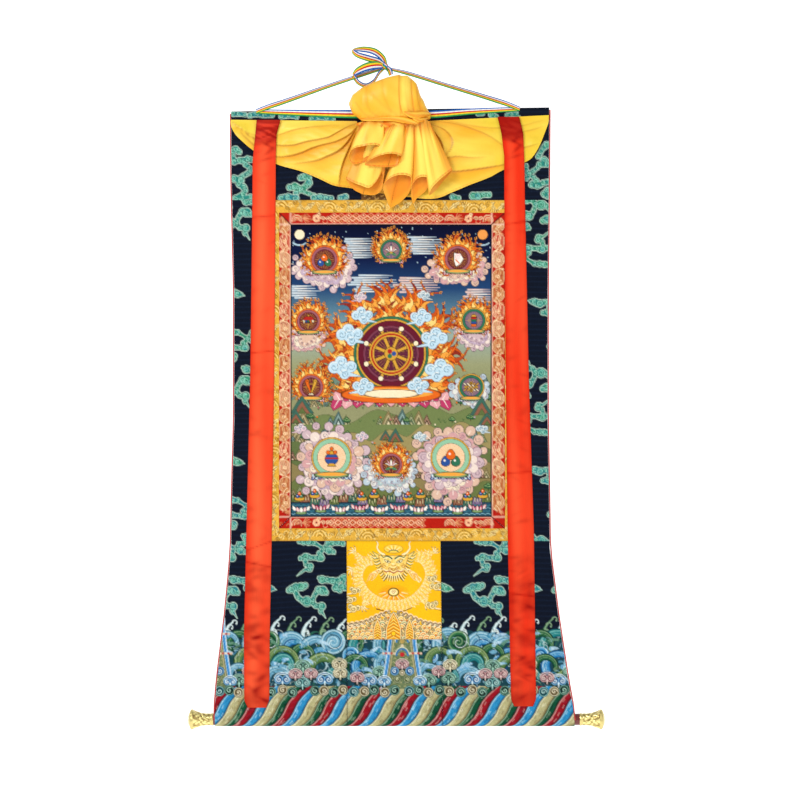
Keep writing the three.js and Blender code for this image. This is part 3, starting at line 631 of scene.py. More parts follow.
def roll(canvas, x, z, radius, tall, start, end, thick, tip, colours):
    """A roll of water: a thick arc with a dark inner edge, pale threads along it and foam on its back"""
    dark, body, pale, middle = WATER[colours]
    spine = arc(x, z, radius, start, end, 16, tall)
    canvas.draw(line(spine, thick + 3.4, tip + 3), dark, 0.3)
    canvas.draw(line(spine, thick - 1, tip), body, 0.7)
    for share, code, width in ((0.3, pale, 0.16), (0.12, middle, 0.1), (-0.06, pale, 0.07),
                               (-0.22, middle, 0.1)):
        reach = radius + np.linspace(thick, tip, 16) * share
        angles = np.radians(np.linspace(start, end, 16))
        band = [polar(x, z, r, a, tall) for r, a in zip(reach, angles)]
        canvas.draw(line(band, thick * width, tip * width), code, 0.9)
    eye = spine[-1]
    canvas.draw(disc(*eye, tip * 0.62), pale, 0.9)
    canvas.draw(line(spiral(*eye, tip * 0.5, 90, 1.2, -1), 1.3), dark, 0.5)


def swirl(canvas, x, z, radius, colours):
    """A round eye of water, wound from rings"""
    dark, body, pale, middle = WATER[colours]
    rings = ((1.06, dark), (1.0, pale), (0.86, middle), (0.7, body), (0.62, dark), (0.54, body))
    for share, code in rings:
        canvas.draw(disc(x, z, radius * share), code, 0.7)
    canvas.draw(line(spiral(x, z, radius * 0.5, 200, 1.5, -1, 26), radius * 0.12, 1.4), pale, 0.9)
    canvas.draw(line(spiral(x, z, radius * 0.93, 60, 0.8, -1, 26), 1.2), FOAM, 0.9)


def spray(canvas, x, z, size, white):
    """A branch of foam that leans to the right, with hooks along it"""
    stem_code, hook_code = ("a9c8cc", "d3e2e0") if white else ("2f5c3e", "7fa07c")
    shares = np.linspace(0, 1, 6)
    stem = [(x + size * (0.5 * s ** 2 + 0.04), z + size * (1.05 * s - 0.15 * s ** 2)) for s in shares]
    canvas.draw(line(stem, 10, 3.0), stem_code, 0.8)
    canvas.draw(line(stem, 4, 1.6), hook_code, 0.9)
    for i, (px, pz) in enumerate(stem[1::2]):
        reach = 6.6 - 0.7 * i
        canvas.draw(line(arc(px + reach * 0.8, pz - 1, reach, 170, -30, 9), 3.2, 1.6), hook_code, 0.9)
        canvas.draw(disc(px + reach * 1.5, pz - 3.5, 2.0), hook_code, 0.9)
    canvas.draw(line(arc(x + 9, z + 3, 7, 160, -20, 8), 3.2, 1.6), hook_code, 0.9)


def crest(canvas, x, z, radius, colours):
    """A round curl: a dark edge, a thin pale ring and a pale spiral on its ground"""
    rim, fill, core = CURL_COLOURS[colours]
    canvas.draw(disc(x, z, radius + 0.9), CURL_EDGE, 0.2)
    canvas.draw(disc(x, z, radius - 0.2), rim, 0.9)
    canvas.draw(disc(x, z, radius - 2.0), fill, 0.5)
    canvas.draw(line(spiral(x, z, radius - 4.4, 60 * x % 360, 1.1, 1, 18), 1.7), core, 0.9)


def cloudlet(canvas, x, z, size, colours):
    """Two curls side by side under a hood of threads, held together by a dark ground"""
    rim, fill, core = CURL_COLOURS[colours]
    hollow = lobes([(x - size * 0.8, z, size), (x + size * 0.8, z, size), (x, z - size, size * 0.7)])
    canvas.draw(grown(hollow, 1.6), CURL_EDGE, 0.3)
    for k, code in enumerate((core, fill, core)):
        canvas.draw(line(arc(x, z + 1, size * 1.9 - 2.3 * k, 12, 168, 12, 0.8), 1.7), code, 0.8)
    for way in (-1, 1):
        eye = x + way * size * 0.85
        canvas.draw(disc(eye, z, size * 0.98), rim, 0.9)
        canvas.draw(disc(eye, z, size * 0.98 - 1.9), fill, 0.5)
        canvas.draw(line(spiral(eye, z, size - 3.2, 90, 1.2, -way, 16), 1.9), core, 0.9)
    canvas.draw(line([(x, z - size * 0.5), (x, z - size * 1.5)], 3.4, 1.6), core, 0.8)


# Borders of a rock: how far in from its edge, colour and width; and beads across them: across and colour
ROCK_BORDERS = [(0, "cbdae4", 9), (0.6, "2a7dbd", 6), (-1.4, "7dbbe0", 1.6), (8.6, "bfae80", 2.0)]
ROCK_BEADS = [(-6, "b8483c"), (0, "e8d4b8"), (6, "b8483c"), (12, "d8b8a0"), (-12, "d8b8a0")]


def rock(canvas, x):
    """A jewelled rock that widens downwards, with blue borders and stepped ornaments"""
    top, foot = -1240.0, -1398.0
    wide = lambda z: 24 + 20 * ((top - z) / (top - foot)) ** 1.5
    levels = np.linspace(top, foot, 14)
    canvas.draw(area(mirrored(x, 0, [(wide(z), z) for z in levels])), "6c7a52", 0.6)
    for k in range(9):
        for i, z in enumerate(np.arange(-1250, -1396, -9.0)):
            across = (k - 4) * 6.5 + (3.2 if i % 2 else 0)
            if abs(across) < wide(z) - 8:
                thread = arc(x + across, z, 2.6, 10, 170, 5)
                canvas.draw(line(thread, 1.2), "b9b47e" if k % 2 else "3d5f48", 0.8)
    for side in (-1, 1):
        for inset, code, width in ROCK_BORDERS:
            border = [(x + side * (wide(z) - inset), z) for z in levels]
            canvas.draw(line(border, width), code, 0.8)
        for z in (-1276, -1320):
            for across, code in ROCK_BEADS:
                canvas.draw(disc(x + side * (wide(z) - 1) + across, z + 2 * math.cos(across), 2.8), code,
                            0.9)
    for i, z in enumerate((-1258, -1288, -1318)):
        canvas.draw(line(arc(x, z - 6, 13, 5, 175, 9, 1.2), 3.6), "2f78b4", 0.9)
        canvas.draw(line(arc(x, z - 6, 16.4, 10, 170, 9, 1.2), 1.6), "e0e4cc", 0.9)
        canvas.draw(disc(x, z - 3, 5.2), "b9262a" if i != 1 else "b79a54", 0.9)
        canvas.draw(disc(x, z - 13, 3.6), "2f8a50" if i != 1 else "d9c9a4", 0.8)
    cloudlet(canvas, x, -1344, 8, "rose")
    for side in (-1, 1):
        crest(canvas, x + side * 17, -1358, 9.5, "blue")
        crest(canvas, x + side * 11, -1376, 8, "olive")
        cloudlet(canvas, x + side * 40, -1382, 8, "blue")
    crest(canvas, x, -1362, 6, "cream")


# Each stripe: colours of its body, edge and shade, and its width
STRIPES = [("94101c", "d69c94", "5a0812", 22), ("2c8abc", "a4d4e4", "165a88", 22),
           ("b2ac7c", "dedab4", "7c6c40", 25),
           ("0e4c30", "8cae8c", "06281a", 18)]


def stripe_lean(z):
    """How far the stripes have moved to the right at a height: they swell as they rise"""
    up = (z + 1486) / 86
    return 68 * up + 5 * np.sin(2 * math.pi * np.clip(up, -0.3, 1.1))


def stripes(canvas):
    """Slanting stripes that run up to the right, each with a pale edge and a shaded side"""
    low = canvas.z.min() - 10
    levels = np.linspace(low, STRIPE_TOP + 10, 14)
    rng = np.random.default_rng(88)
    x = -516.0
    index = 0
    while x < 520:
        fill, edge, dark, width = STRIPES[index % len(STRIPES)]
        side = lambda share: [(x + width * share + stripe_lean(z), z) for z in levels]
        canvas.draw(area(side(0) + side(1)[::-1]), fill, 0.5)
        canvas.draw(line(side(0.86), width * 0.16), dark, 0.5, 0.7)
        for _ in range(46):
            at, share = rng.uniform(0, 0.84), rng.uniform(0.06, 0.94)
            row = [levels[0] + (levels[-1] - levels[0]) * (at + step) for step in (0, 0.04)]
            thread = [(x + width * share + stripe_lean(z), z) for z in row]
            light = rng.uniform() < 0.9 - share
            canvas.draw(line(thread, rng.uniform(1.2, 2.2)), edge if light else dark, 0.8, 0.65)
        canvas.draw(line(side(0.98), 2.2), "0a1c18", 0.2)
        canvas.draw(line(side(0.09), 1.9), edge, 0.9)
        x += width
        index += 1


def sea(canvas):
    """The sea at the foot of the cloth, from the far waves to the stripes"""
    ripple = [(x, SEA_TOP - 6 + 7 * math.sin(x / 23) + 4 * math.sin(x / 9.5)) for x in range(-460, 500, 5)]
    canvas.draw(area(ripple + [(500, -1640), (-460, -1640)]), DEPTHS, 0.5)
    rng = np.random.default_rng(77)
    for i in range(SEA_STROKES):
        px, pz = rng.uniform(*SEA_SPAN), rng.uniform(STRIPE_TOP, SEA_TOP - 6)
        start, radius = rng.uniform(60, 200), rng.uniform(6, 20)
        canvas.draw(line(arc(px, pz, radius, start, start - rng.uniform(50, 130), 9), rng.uniform(2.4, 7),
                         1.2),
                    STROKE_COLOURS[i % 8], 0.7)
    middles = [ROCK_MIDDLE + SEA_REPEAT * i for i in (-1, 0, 1, -2)]
    for middle in middles:
        for across, tall, white in SPRAYS:
            spray(canvas, middle + across - 6, SEA_TOP - 8, tall, white)
    for middle in middles:
        for across, *rest in ROLLS[:8]:
            roll(canvas, middle + across, *rest)
        for across, *rest in SWIRLS:
            swirl(canvas, middle + across, *rest)
        for across, *rest in ROLLS[8:]:
            roll(canvas, middle + across, *rest)
    for i in range(SEA_SMEARS):
        px, pz = rng.uniform(*SEA_SPAN), rng.uniform(-1384, SEA_TOP - 12)
        start, radius, reach = rng.uniform(70, 170), rng.uniform(16, 30), rng.uniform(40, 80)
        smear = arc(px, pz, radius, start, start - reach, 9, 0.8)
        body, light = SMEAR_COLOURS[i % 4]
        canvas.draw(line(smear, rng.uniform(8, 12), 2), body, 0.7, 0.85)
        for out in (-2.6, 0, 2.6):
            thread = arc(px, pz, radius + out, start - 5, start - reach + 8, 9, 0.8)
            canvas.draw(line(thread, 1.2, 0.8), light, 0.9, 0.8)
    for i in range(SEA_THREADS):
        px, pz = rng.uniform(*SEA_SPAN), rng.uniform(STRIPE_TOP, SEA_TOP)
        start, radius = rng.uniform(40, 220), rng.uniform(4, 13)
        canvas.draw(line(arc(px, pz, radius, start, start - rng.uniform(40, 120), 7), 1.3, 0.8),
                    ("cfe0dc", "0f3a3c", "8fb8c4", "1c4a30")[i % 4], 0.8, 0.75)
    stripes(canvas)
    for middle in middles:
        for across, z, size, colours in CURLS:
            cloudlet(canvas, middle + across, z, size, colours)
        rock(canvas, middle)
    for middle in middles:
        for i, (across, colours) in enumerate(CREST_ROW):
            crest(canvas, middle + across, STRIPE_TOP - 1 + 3 * math.sin(i * 2.4), 11, colours)


# The cloth pieces, each laid out on a grid and put in the place of its CAD node
def level_grid(left, right, levels, pitch=PITCH):
    """A grid between two side lines, with a row for each level"""
    levels = np.asarray(levels, float)
    low, high = left(levels), right(levels)
    share = np.linspace(0, 1, int(np.ceil((high - low).max() / pitch)) + 1)
    x = low[:, None] * (1 - share) + high[:, None] * share
    return x, np.repeat(levels[:, None], len(share), axis=1)


def steps_between(high, low, pitch=PITCH):
    return np.linspace(high, low, int(np.ceil(abs(high - low) / pitch)) + 1)


def hung(x, z, depth):
    """A flat place on the hanging cloth, at a depth behind its face"""
    return np.stack([x, FRONT - BROCADE / 2 + depth + sway(x, z), z + 0 * x], axis=-1)


def wrapped(x, z, depth):
    """As hung, and round the roller below its axis"""
    turned = math.pi + np.maximum(AXIS["z"] - z, 0) / WRAP_RADIUS
    radius = WRAP_RADIUS + BROCADE / 2 - depth
    y = np.where(z >= AXIS["z"], FRONT - BROCADE / 2 + depth + sway(x, z),
                 AXIS["y"] + radius * np.cos(turned))
    height = np.where(z >= AXIS["z"], z, AXIS["z"] + radius * np.sin(turned))
    return np.stack([x + 0 * z, y, height], axis=-1)


def wrap_level(z):
    """The height that a place round the roller really has, for its side lines"""
    z = np.asarray(z, float)
    turned = math.pi + np.maximum(AXIS["z"] - z, 0) / WRAP_RADIUS
    return np.where(z >= AXIS["z"], z, AXIS["z"] + np.minimum(WRAP_RADIUS * np.sin(turned), 0))


def skirt_share(z):
    return (FRAME["bottom"] - z) / (FRAME["bottom"] - BOTTOM)


def left_seam(z):
    return PATCH["left"] + SKIRT_SPREAD["left"] * skirt_share(z)


def right_seam(z):
    return PATCH["right"] + SKIRT_SPREAD["right"] * skirt_share(z)


def finish_brocade(canvas, seed):
    """Uneven cross threads, a corded ridge every few of them, and mottling"""
    slub = 0.5 + 0.5 * np.sin(canvas.z * 1.7 + 3 * np.sin(canvas.x / 40))
    canvas.shade(0.03 * slub, "2c3a58")
    ridges = (0.5 + 0.5 * np.sin(canvas.z / 1.9 + 2.5 * np.sin(canvas.x / 70))) ** 6
    canvas.shade(0.06 * ridges, "34507c")
    canvas.mottle(seed, 0.07)


# Where the first cloud of each cloth lies
CLOUD_STARTS = {"left": (-306, -232), "right": (417, -616), "foot": (-135, -1083)}


def flat_panel(name, node, left, right, high, low, seed, side):
    x, z = level_grid(left, right, steps_between(high, low))
    canvas = Canvas(x, z, NAVY)
    cloud_field(canvas, CLOUD_STARTS[side], -1 if side == "right" else 1)
    finish_brocade(canvas, seed)
    return cloth(name, canvas, hung, node, NAVY_BACK)


def skirt_panel(name, node, left, right, high, seed):
    """A foot panel down to its turn round the roller, dark along the seams it has"""
    seams = [edge for edge in (left, right) if edge not in (inside_left, inside_right)]
    wrap = steps_between(AXIS["z"], AXIS["z"] - WRAP_TURN * WRAP_RADIUS)
    front = steps_between(high, AXIS["z"])
    levels = np.concatenate([front, wrap[1:]])
    x, z = level_grid(lambda at: left(wrap_level(at)), lambda at: right(wrap_level(at)), levels)
    canvas = Canvas(x, z, NAVY)
    cloud_field(canvas, CLOUD_STARTS["foot"])
    sea(canvas)
    # Painted shade along the seams, where the cloth turns under
    for seam in seams:
        away = np.abs(canvas.x - seam(wrap_level(canvas.z)))
        canvas.colour[..., :3] *= (1 - 0.6 * np.exp(-away / 1.3))[..., None]
    finish_brocade(canvas, seed)
    bend = range(len(front) - 1, len(levels), 2)
    return cloth(name, canvas, wrapped, node, NAVY_BACK, bend)


def top_edge(x):
    slope = (TOP_RIGHT[1] - TOP_LEFT[1]) / (TOP_RIGHT[0] - TOP_LEFT[0])
    return TOP_LEFT[1] + (x - TOP_LEFT[0]) * slope


def sleeve_section():
    """The sleeve's middle line from the shoulder: length, depth, height and way it faces"""
    rows = []
    for degrees, fall in ((np.arange(180, -1, -15), 0), (np.arange(0, -61, -15), SLAT_FALL)):
        for angle in np.radians(degrees):
            rows.append((*polar(0, -fall, SLEEVE_RADIUS, angle), math.cos(angle), math.sin(angle)))
    rows.append((FRONT + BROCADE + LAYER_GAP, -SLAT_FALL - 9, 1.0, -0.2))
    rows.append((FRONT + BROCADE + LAYER_GAP, -SLAT_FALL - 18, 1.0, 0.0))
    rows = np.array(rows)
    lengths = np.concatenate([[0], np.cumsum(np.hypot(np.diff(rows[:, 0]), np.diff(rows[:, 1])))])
    return lengths, rows


def shadowed_brocade_bit(canvas):
    """Patterned brocade that shows over the frame, under the middle of the veil, painted dark brown for the
    veil's shadow on it
    """
    canvas.draw(area([(-50, -272), (14, -272), (14, -302), (-50, -302)]), "6e4a20", 0.6)
    for i in range(10):
        x, z = -46 + 6.2 * i, -278 - 7 * (i % 3)
        canvas.draw(line(arc(x, z, 4.5, 30 * i, 30 * i + 210, 10), 1.4), "c99a4a" if i % 2 else "3a2410",
                    0.9)
        canvas.draw(line([(x - 4, z - 6), (x + 3, z - 2)], 1.2, 0.8), "e0b868", 0.9)


def top_panel():
    lengths, rows = sleeve_section()
    columns = int(np.ceil((TOP_RIGHT[0] - TOP_LEFT[0]) / PITCH)) + 1
    level = np.linspace(TOP_LEFT[0], TOP_RIGHT[0], columns)
    shoulder = top_edge(level) - BROCADE / 2 - SLEEVE_RADIUS
    foot = FRAME["top"] + SEAM
    over = np.arange(lengths[-1], 0, -1.6)
    down = np.linspace(0, 1, int(200 / PITCH))
    flat_z = np.vstack([shoulder[None, :] + over[:, None], shoulder + (foot - shoulder) * down[:, None]])
    real_z = np.minimum(flat_z, shoulder)
    low, high = inside_left(real_z), inside_right(real_z)
    x = low + (high - low) * (level - TOP_LEFT[0]) / (TOP_RIGHT[0] - TOP_LEFT[0])
    canvas = Canvas(x, flat_z, NAVY)
    for tone, strokes in enumerate(TOP_CLOUDS):
        cloud_strokes(canvas, strokes, tone)
    shadowed_brocade_bit(canvas)
    canvas.draw(area([(304, -60), (390, -60), (390, -108), (304, -108)]), NAVY, 0.3)
    finish_brocade(canvas, 1)

    def place(px, pz, depth):
        edge = top_edge(px) - BROCADE / 2 - SLEEVE_RADIUS
        beyond = np.maximum(pz - edge, 0)
        y, up, face_y, face_z = (np.interp(beyond, lengths, rows[:, i]) for i in range(4))
        out = BROCADE / 2 - depth
        front = pz <= edge
        py = np.where(front, FRONT - out + sway(px, pz), y + face_y * out)
        height = np.where(front, pz, edge + up + face_z * out)
        return np.stack([px + 0 * pz, py, height], axis=-1)

    return cloth("navy_top", canvas, place, "top_panel", NAVY_BACK, range(1, len(over) + 2))


def seam_shadow(canvas, left, right, high, low, strength=0.5, reach=3.0):
    """Darkens the cloth where it turns under at its seams"""
    near = np.minimum.reduce([canvas.x - left, right - canvas.x, high - canvas.z, canvas.z - low])
    canvas.colour[..., :3] *= (1 - strength * np.exp(-np.maximum(near, 0) / reach))[..., None]


# Gold brocade frame: sprays and scrolls in lighter and darker gold
GOLD = "dca436"
GOLD_LIGHT = "f4dc8e"
GOLD_DARK = "7a5010"
GOLD_BACK = "8c6a2c"
RED = "b01808"
RED_BACK = "6a1216"
ROSE = "eda078"
ROSE_PALE = "f8d8a8"
ROSE_GOLD = "c98a52"
# The scrolls of one gold motif: across, up, radius, colour
GOLD_SCROLLS = [(0, 0, 8, GOLD_LIGHT), (9, 5, 5.5, GOLD_DARK), (-8, -6, 5, GOLD_DARK)]
# The ground and the threads of each kind of petal on the upright red strips
PETAL_COLOURS = [("b87444", "e8b888"), ("c4624a", ROSE_PALE), ("d8a880", "a8603c"), ("b87444", "e0a878")]
PETAL = [(-14, -15), (-4, -17), (8, -8), (10, 4), (3, 15), (-8, 18), (-15, 12)]


def flower(canvas, x, z, size, fill, rim, heart):
    for i in range(6):
        petal = polar(x, z, size * 0.6, math.radians(60 * i + 15))
        canvas.draw(disc(*petal, size * 0.45), rim, 0.9)
        canvas.draw(disc(*petal, size * 0.45 - 1.2), fill, 0.8)
    canvas.draw(disc(x, z, size * 0.3), heart, 0.9)


def leaf(canvas, x, z, length, angle, fill, vein):
    """A pointed leaf that grows out at an angle, with a vein along it"""
    turned = math.radians(angle)
    way, side = (math.cos(turned), math.sin(turned)), (-math.sin(turned), math.cos(turned))
    outline = [(s, 0.24 * math.sin(math.pi * s)) for s in np.linspace(0, 1, 9)]
    outline += [(s, -0.24 * math.sin(math.pi * s)) for s in np.linspace(1, 0, 9)[1:-1]]
    turns = [(a * way[0] + b * side[0], a * way[1] + b * side[1]) for a, b in outline]
    points = placed(x, z, turns, length)
    canvas.draw(area(points), fill, 0.9)
    canvas.draw(line([points[0], (x + length * way[0], z + length * way[1])], 1.0), vein, 0.6)


def gold_pattern(canvas, seed):
    """Tone on tone: fans of grass, shells of lines, scrolls and small blossoms, set close together"""
    rng = np.random.default_rng(seed)
    x0, x1, z0, z1 = canvas.x.min(), canvas.x.max(), canvas.z.min(), canvas.z.max()
    upright = (z1 - z0) > (x1 - x0)
    length = (z1 - z0) if upright else (x1 - x0)
    along = canvas.z if upright else canvas.x
    bands = 0.5 + 0.5 * np.sin(along / 47 + seed)
    canvas.shade(0.4 * bands, "e8bc4c")
    canvas.shade(0.3 * (0.5 + 0.5 * np.sin(along / 19 + 2 * seed)), "c08a2a")
    count = int(length / 21)
    for i in range(count):
        along_strip = (i + 0.5) / count * length
        x = x0 + 14 + 5 * rng.uniform(-1, 1) if upright else x0 + along_strip
        z = z0 + along_strip if upright else (z0 + z1) / 2 + 5 * rng.uniform(-1, 1)
        kind = (i + seed) % 5
        turned = rng.uniform(0, 360)
        if kind in (0, 3):
            side = 1 if kind == 0 else -1
            for k in range(8):
                angle = math.radians(58 + 8 * k)
                tip = (x + 20 * math.cos(angle), z + side * (22 * math.sin(angle) - 12))
                canvas.draw(line([(x + 1.2 * k - 5, z - side * 13), tip], 1.3, 0.8),
                            GOLD_DARK if k % 2 else GOLD_LIGHT, 0.9)
        elif kind == 1:
            for k in range(5):
                shell_line = arc(x, z - 7, 4 + 3.4 * k, 10, 170, 14)
                canvas.draw(line(shell_line, 1.2), GOLD_LIGHT if k % 2 else GOLD_DARK, 0.9)
        elif kind == 2:
            for across, up, radius, code in GOLD_SCROLLS:
                canvas.draw(line(spiral(x + across, z + up, radius, turned, 1.3), 1.4), code, 0.9)
        else:
            flower(canvas, x, z, 6.5, GOLD_LIGHT, GOLD_DARK, "a4522c")
            for way in (0, 180):
                leaf(canvas, x, z, 15, way + 35, "ecd084", GOLD_DARK)
    for i in range(int(length / 9)):
        at = (i + rng.uniform(0, 1)) * 9
        across = rng.uniform(-12, 12)
        px, pz = (x0 + 14 + across, z0 + at) if upright else (x0 + at, (z0 + z1) / 2 + across)
        canvas.draw(line(arc(px, pz, rng.uniform(2, 5), 0, rng.uniform(90, 260), 7), 1.1),
                    GOLD_DARK if i % 2 else GOLD_LIGHT, 0.8)
    canvas.mottle(seed, 0.09)


def lozenge_net(canvas, low, high, middle, wide=16.5, tall=13.0):
    """A net of thin lozenges, each with a small flower in it"""
    for i in range(int((high - low) / wide) + 1):
        for row in (-1, 0, 1):
            x = low + (i + 0.5 * (row % 2)) * wide
            z = middle + row * tall / 2
            if low - 1 < x < high + 1:
                across, up = wide / 2 - 1.2, tall / 2 - 1.0
                edge = placed(x, z, [(-across, 0), (0, up), (across, 0), (0, -up), (-across, 0)])
                canvas.draw(line(edge, 1.2), ROSE if row else ROSE_PALE, 0.8)
                canvas.draw(disc(x, z, 1.7), ROSE_GOLD if i % 2 else ROSE_PALE, 0.9)


def red_pattern(canvas, side, seed):
    """Pale florals, feathers and shells of rose thread, with netting along the middle of the long runs"""
    rng = np.random.default_rng(seed)
    x0, x1, z0, z1 = canvas.x.min(), canvas.x.max(), canvas.z.min(), canvas.z.max()
    upright = side in ("left", "right")
    middle_z, middle_x = (z0 + z1) / 2, (x0 + x1) / 2
    if not upright:
        lozenge_net(canvas, x0 + 116, x1 - (140 if side == "top" else 180), middle_z)
        spots = [x0 + 40, x0 + 62, x0 + 84, x0 + 104, x1 - 124, x1 - 104, x1 - 82, x1 - 60, x1 - 38]
        for i, x in enumerate(spots):
            scroll_group(canvas, x, middle_z, 11, i, rng)
    else:
        for i, z in enumerate(np.arange(z1 - 28, z0 + 24, -39)):
            way = -1 if i % 2 else 1
            thread_petal(canvas, middle_x + way * 3, z, way, i, rng)
            for k in range(4):
                shell_line = arc(middle_x - way * 11, z - 20, 7 + 3.4 * k, 90 - way * 100, 90 - way * 20, 9)
                canvas.draw(line(shell_line, 1.2), (ROSE_PALE, ROSE_GOLD)[k % 2], 0.9)
            scroll_group(canvas, middle_x + way * 7, z - 22, 5.5, i + 1, rng)
    for i in range(int(max(x1 - x0, z1 - z0) / 11)):
        along, across = rng.uniform(0, 1), rng.uniform(-9, 9)
        px = middle_x + across if upright else x0 + along * (x1 - x0)
        pz = z0 + along * (z1 - z0) if upright else middle_z + across
        canvas.draw(line(arc(px, pz, rng.uniform(1.8, 4), 0, rng.uniform(120, 280), 7), 1.1),
                    ROSE_GOLD if i % 2 else "8e1414", 0.8)
    canvas.mottle(seed, 0.08)


def thread_petal(canvas, x, z, way, kind, rng):
    """A large petal with a pale edge, filled with close slanting threads"""
    ground, thread = PETAL_COLOURS[kind % 4]
    petal = area(curve_through(placed(x, z, PETAL + PETAL[:1], 1, way), 30))
    canvas.draw(grown(petal, 0.9), ROSE_PALE, 0.9)
    canvas.draw(petal, ground, 0.7)
    for k in range(9):
        low = x - way * 18 + way * 3.4 * k
        thread_line = line([(low, z - 18), (low + way * 9, z - 2), (low + way * 5, z + 18)], 1.0)
        canvas.draw(inside_both(thread_line, grown(petal, -1.5)), thread if k % 3 else "b02c18", 0.9)
    canvas.draw(line(spiral(x - way * 2, z + rng.uniform(-3, 3), 5, 60 * kind, 1.3, way), 1.4), ROSE_PALE,
                0.9)


def scroll_group(canvas, x, z, size, kind, rng):
    """One motif of the red brocade: a shell, a feather fan, a blossom or a pair of scrolls"""
    if kind % 4 == 0:
        for k in range(4):
            shell_line = arc(x, z - 3, size - 2.8 * k, -20, 200, 14)
            canvas.draw(line(shell_line, 1.3), ROSE if k % 2 else ROSE_PALE, 0.9)
        canvas.draw(disc(x, z - 3, 1.8), ROSE_GOLD, 0.9)
    elif kind % 4 == 1:
        for k in range(9):
            angle = math.radians(-80 + 20 * k + rng.uniform(-5, 5))
            tip = (x - size * 0.4 + 1.3 * size * math.cos(angle), z + size * math.sin(angle))
            canvas.draw(line([(x - size * 0.7, z), tip], 1.6, 0.8), ROSE_GOLD if k % 2 else ROSE, 0.9)
    elif kind % 4 == 2:
        flower(canvas, x, z, size * 0.75, ROSE, ROSE_PALE, "8c1218")
        flower(canvas, x + size * 0.5, z + size * 0.8, size * 0.35, ROSE_GOLD, ROSE_PALE, "8c1218")
    else:
        for way in (-1, 1):
            scroll = spiral(x + way * size * 0.45, z, size * 0.48, 90 - 90 * way, 1.3, way)
            canvas.draw(line(scroll, 1.4), ROSE_PALE, 0.9)
        canvas.draw(line(arc(x, z - size * 0.5, size * 0.5, 200, 340, 8), 1.4), ROSE, 0.9)


def mitred_panel(name, node, outer, inner, side, ground, back, pattern, seed, pitch=PITCH):
    """One strip of a frame, with its ends cut on the slant"""
    gap = SEAM / 2
    if side in ("top", "bottom"):
        high, low = (outer[side], inner[side]) if side == "top" else (inner[side], outer[side])
        near, far = (outer, inner) if side == "top" else (inner, outer)
        share = lambda z: (high - z) / (high - low)
        left = lambda z: near["left"] + (far["left"] - near["left"]) * share(z) + gap
        right = lambda z: near["right"] + (far["right"] - near["right"]) * share(z) - gap
        x, z = level_grid(left, right, steps_between(high, low, pitch), pitch)
    else:
        columns = np.linspace(outer[side], inner[side], int(abs(outer[side] - inner[side]) / pitch) + 2)
        if side == "right":
            columns = columns[::-1]
        share = (columns - outer[side]) / (inner[side] - outer[side])
        high = outer["top"] + (inner["top"] - outer["top"]) * share - gap
        low = outer["bottom"] + (inner["bottom"] - outer["bottom"]) * share + gap
        down = np.linspace(0, 1, int((outer["top"] - outer["bottom"]) / pitch) + 1)[:, None]
        z = high + (low - high) * down
        x = np.repeat(columns[None, :], len(down), axis=0)
    canvas = Canvas(x, z, ground)
    pattern(canvas, side, seed)
    return cloth(name, canvas, hung, node, back)


def shrink(box, by):
    return {"left": box["left"] + by["left"], "right": box["right"] - by["right"],
            "top": box["top"] - by["top"], "bottom": box["bottom"] + by["bottom"]}


def even(size):
    return {"left": size, "right": size, "top": size, "bottom": size}


GOLD_INNER = shrink(FRAME, even(GOLD_WIDTH))
RED_OUTER = shrink(GOLD_INNER, even(SEAM))
RED_INNER = shrink(RED_OUTER, RED_WIDTH)
CANVAS_BOX = shrink(RED_INNER, even(SEAM))


def gold_strip(canvas, side, seed):
    gold_pattern(canvas, seed)
    seam_shadow(canvas, FRAME["left"], FRAME["right"], FRAME["top"], FRAME["bottom"], 0.35, 1.6)


def red_strip(canvas, side, seed):
    red_pattern(canvas, side, seed)
    near = np.minimum.reduce([np.abs(canvas.x - RED_INNER[edge]) for edge in ("left", "right")]
                             + [np.abs(canvas.z - RED_INNER[edge]) for edge in ("top", "bottom")])
    canvas.shade(np.clip(1.6 - near / 1.6, 0, 1) * 0.8, "e6b8a0")
    for edge in ("left", "right"):
        for rim in ("top", "bottom"):
            mitre = [(RED_OUTER[edge], RED_OUTER[rim]), (RED_INNER[edge], RED_INNER[rim])]
            canvas.draw(line(mitre, 2.6), "5e0c10", 0.2)


# Yellow patch: a coiled dragon that looks out, with its pearl, clouds, rocks and waves
PATCH_GROUND = "f4b400"
PATCH_BACK = "a06c14"
SCALE_PALE = "f2d070"
SCALE_LIGHT = "f8e8ac"
SCALE_ROSE = "f0c07c"
SCALE_EDGE = "dc9426"
OCHRE = "b8761a"
INK = "3a2a18"
LEAF = "2c5a3e"
PATCH_CURL = "f3d68c"
PATCH_FOAM = "f7e4bc"
PATCH_LINE = "4a3018"
PATCH_MIDDLE = (PATCH["left"] + PATCH["right"]) / 2
# The dragon, from the middle of the patch's top edge: its coil, limbs and claws
COIL = [(48, -34), (64, -38), (78, -54), (83, -76), (77, -98), (62, -119), (42, -135), (14, -144),
        (-22, -141),
        (-50, -128), (-70, -108), (-80, -84), (-76, -62), (-62, -46), (-46, -44)]
LIMBS = [
    [(-62, -48), (-74, -40), (-84, -30)], [(-66, -106), (-76, -88), (-86, -70)],
    [(-56, -124), (-62, -136), (-66, -142)], [(62, -120), (68, -132), (72, -138)],
    [(60, -40), (72, -30), (86, -27)],
]
CLAWS = [(-88, -26, 120, 15), (-92, -64, 190, 17), (-67, -146, 250, 14), (74, -142, -60, 14),
         (90, -25, 30, 13)]
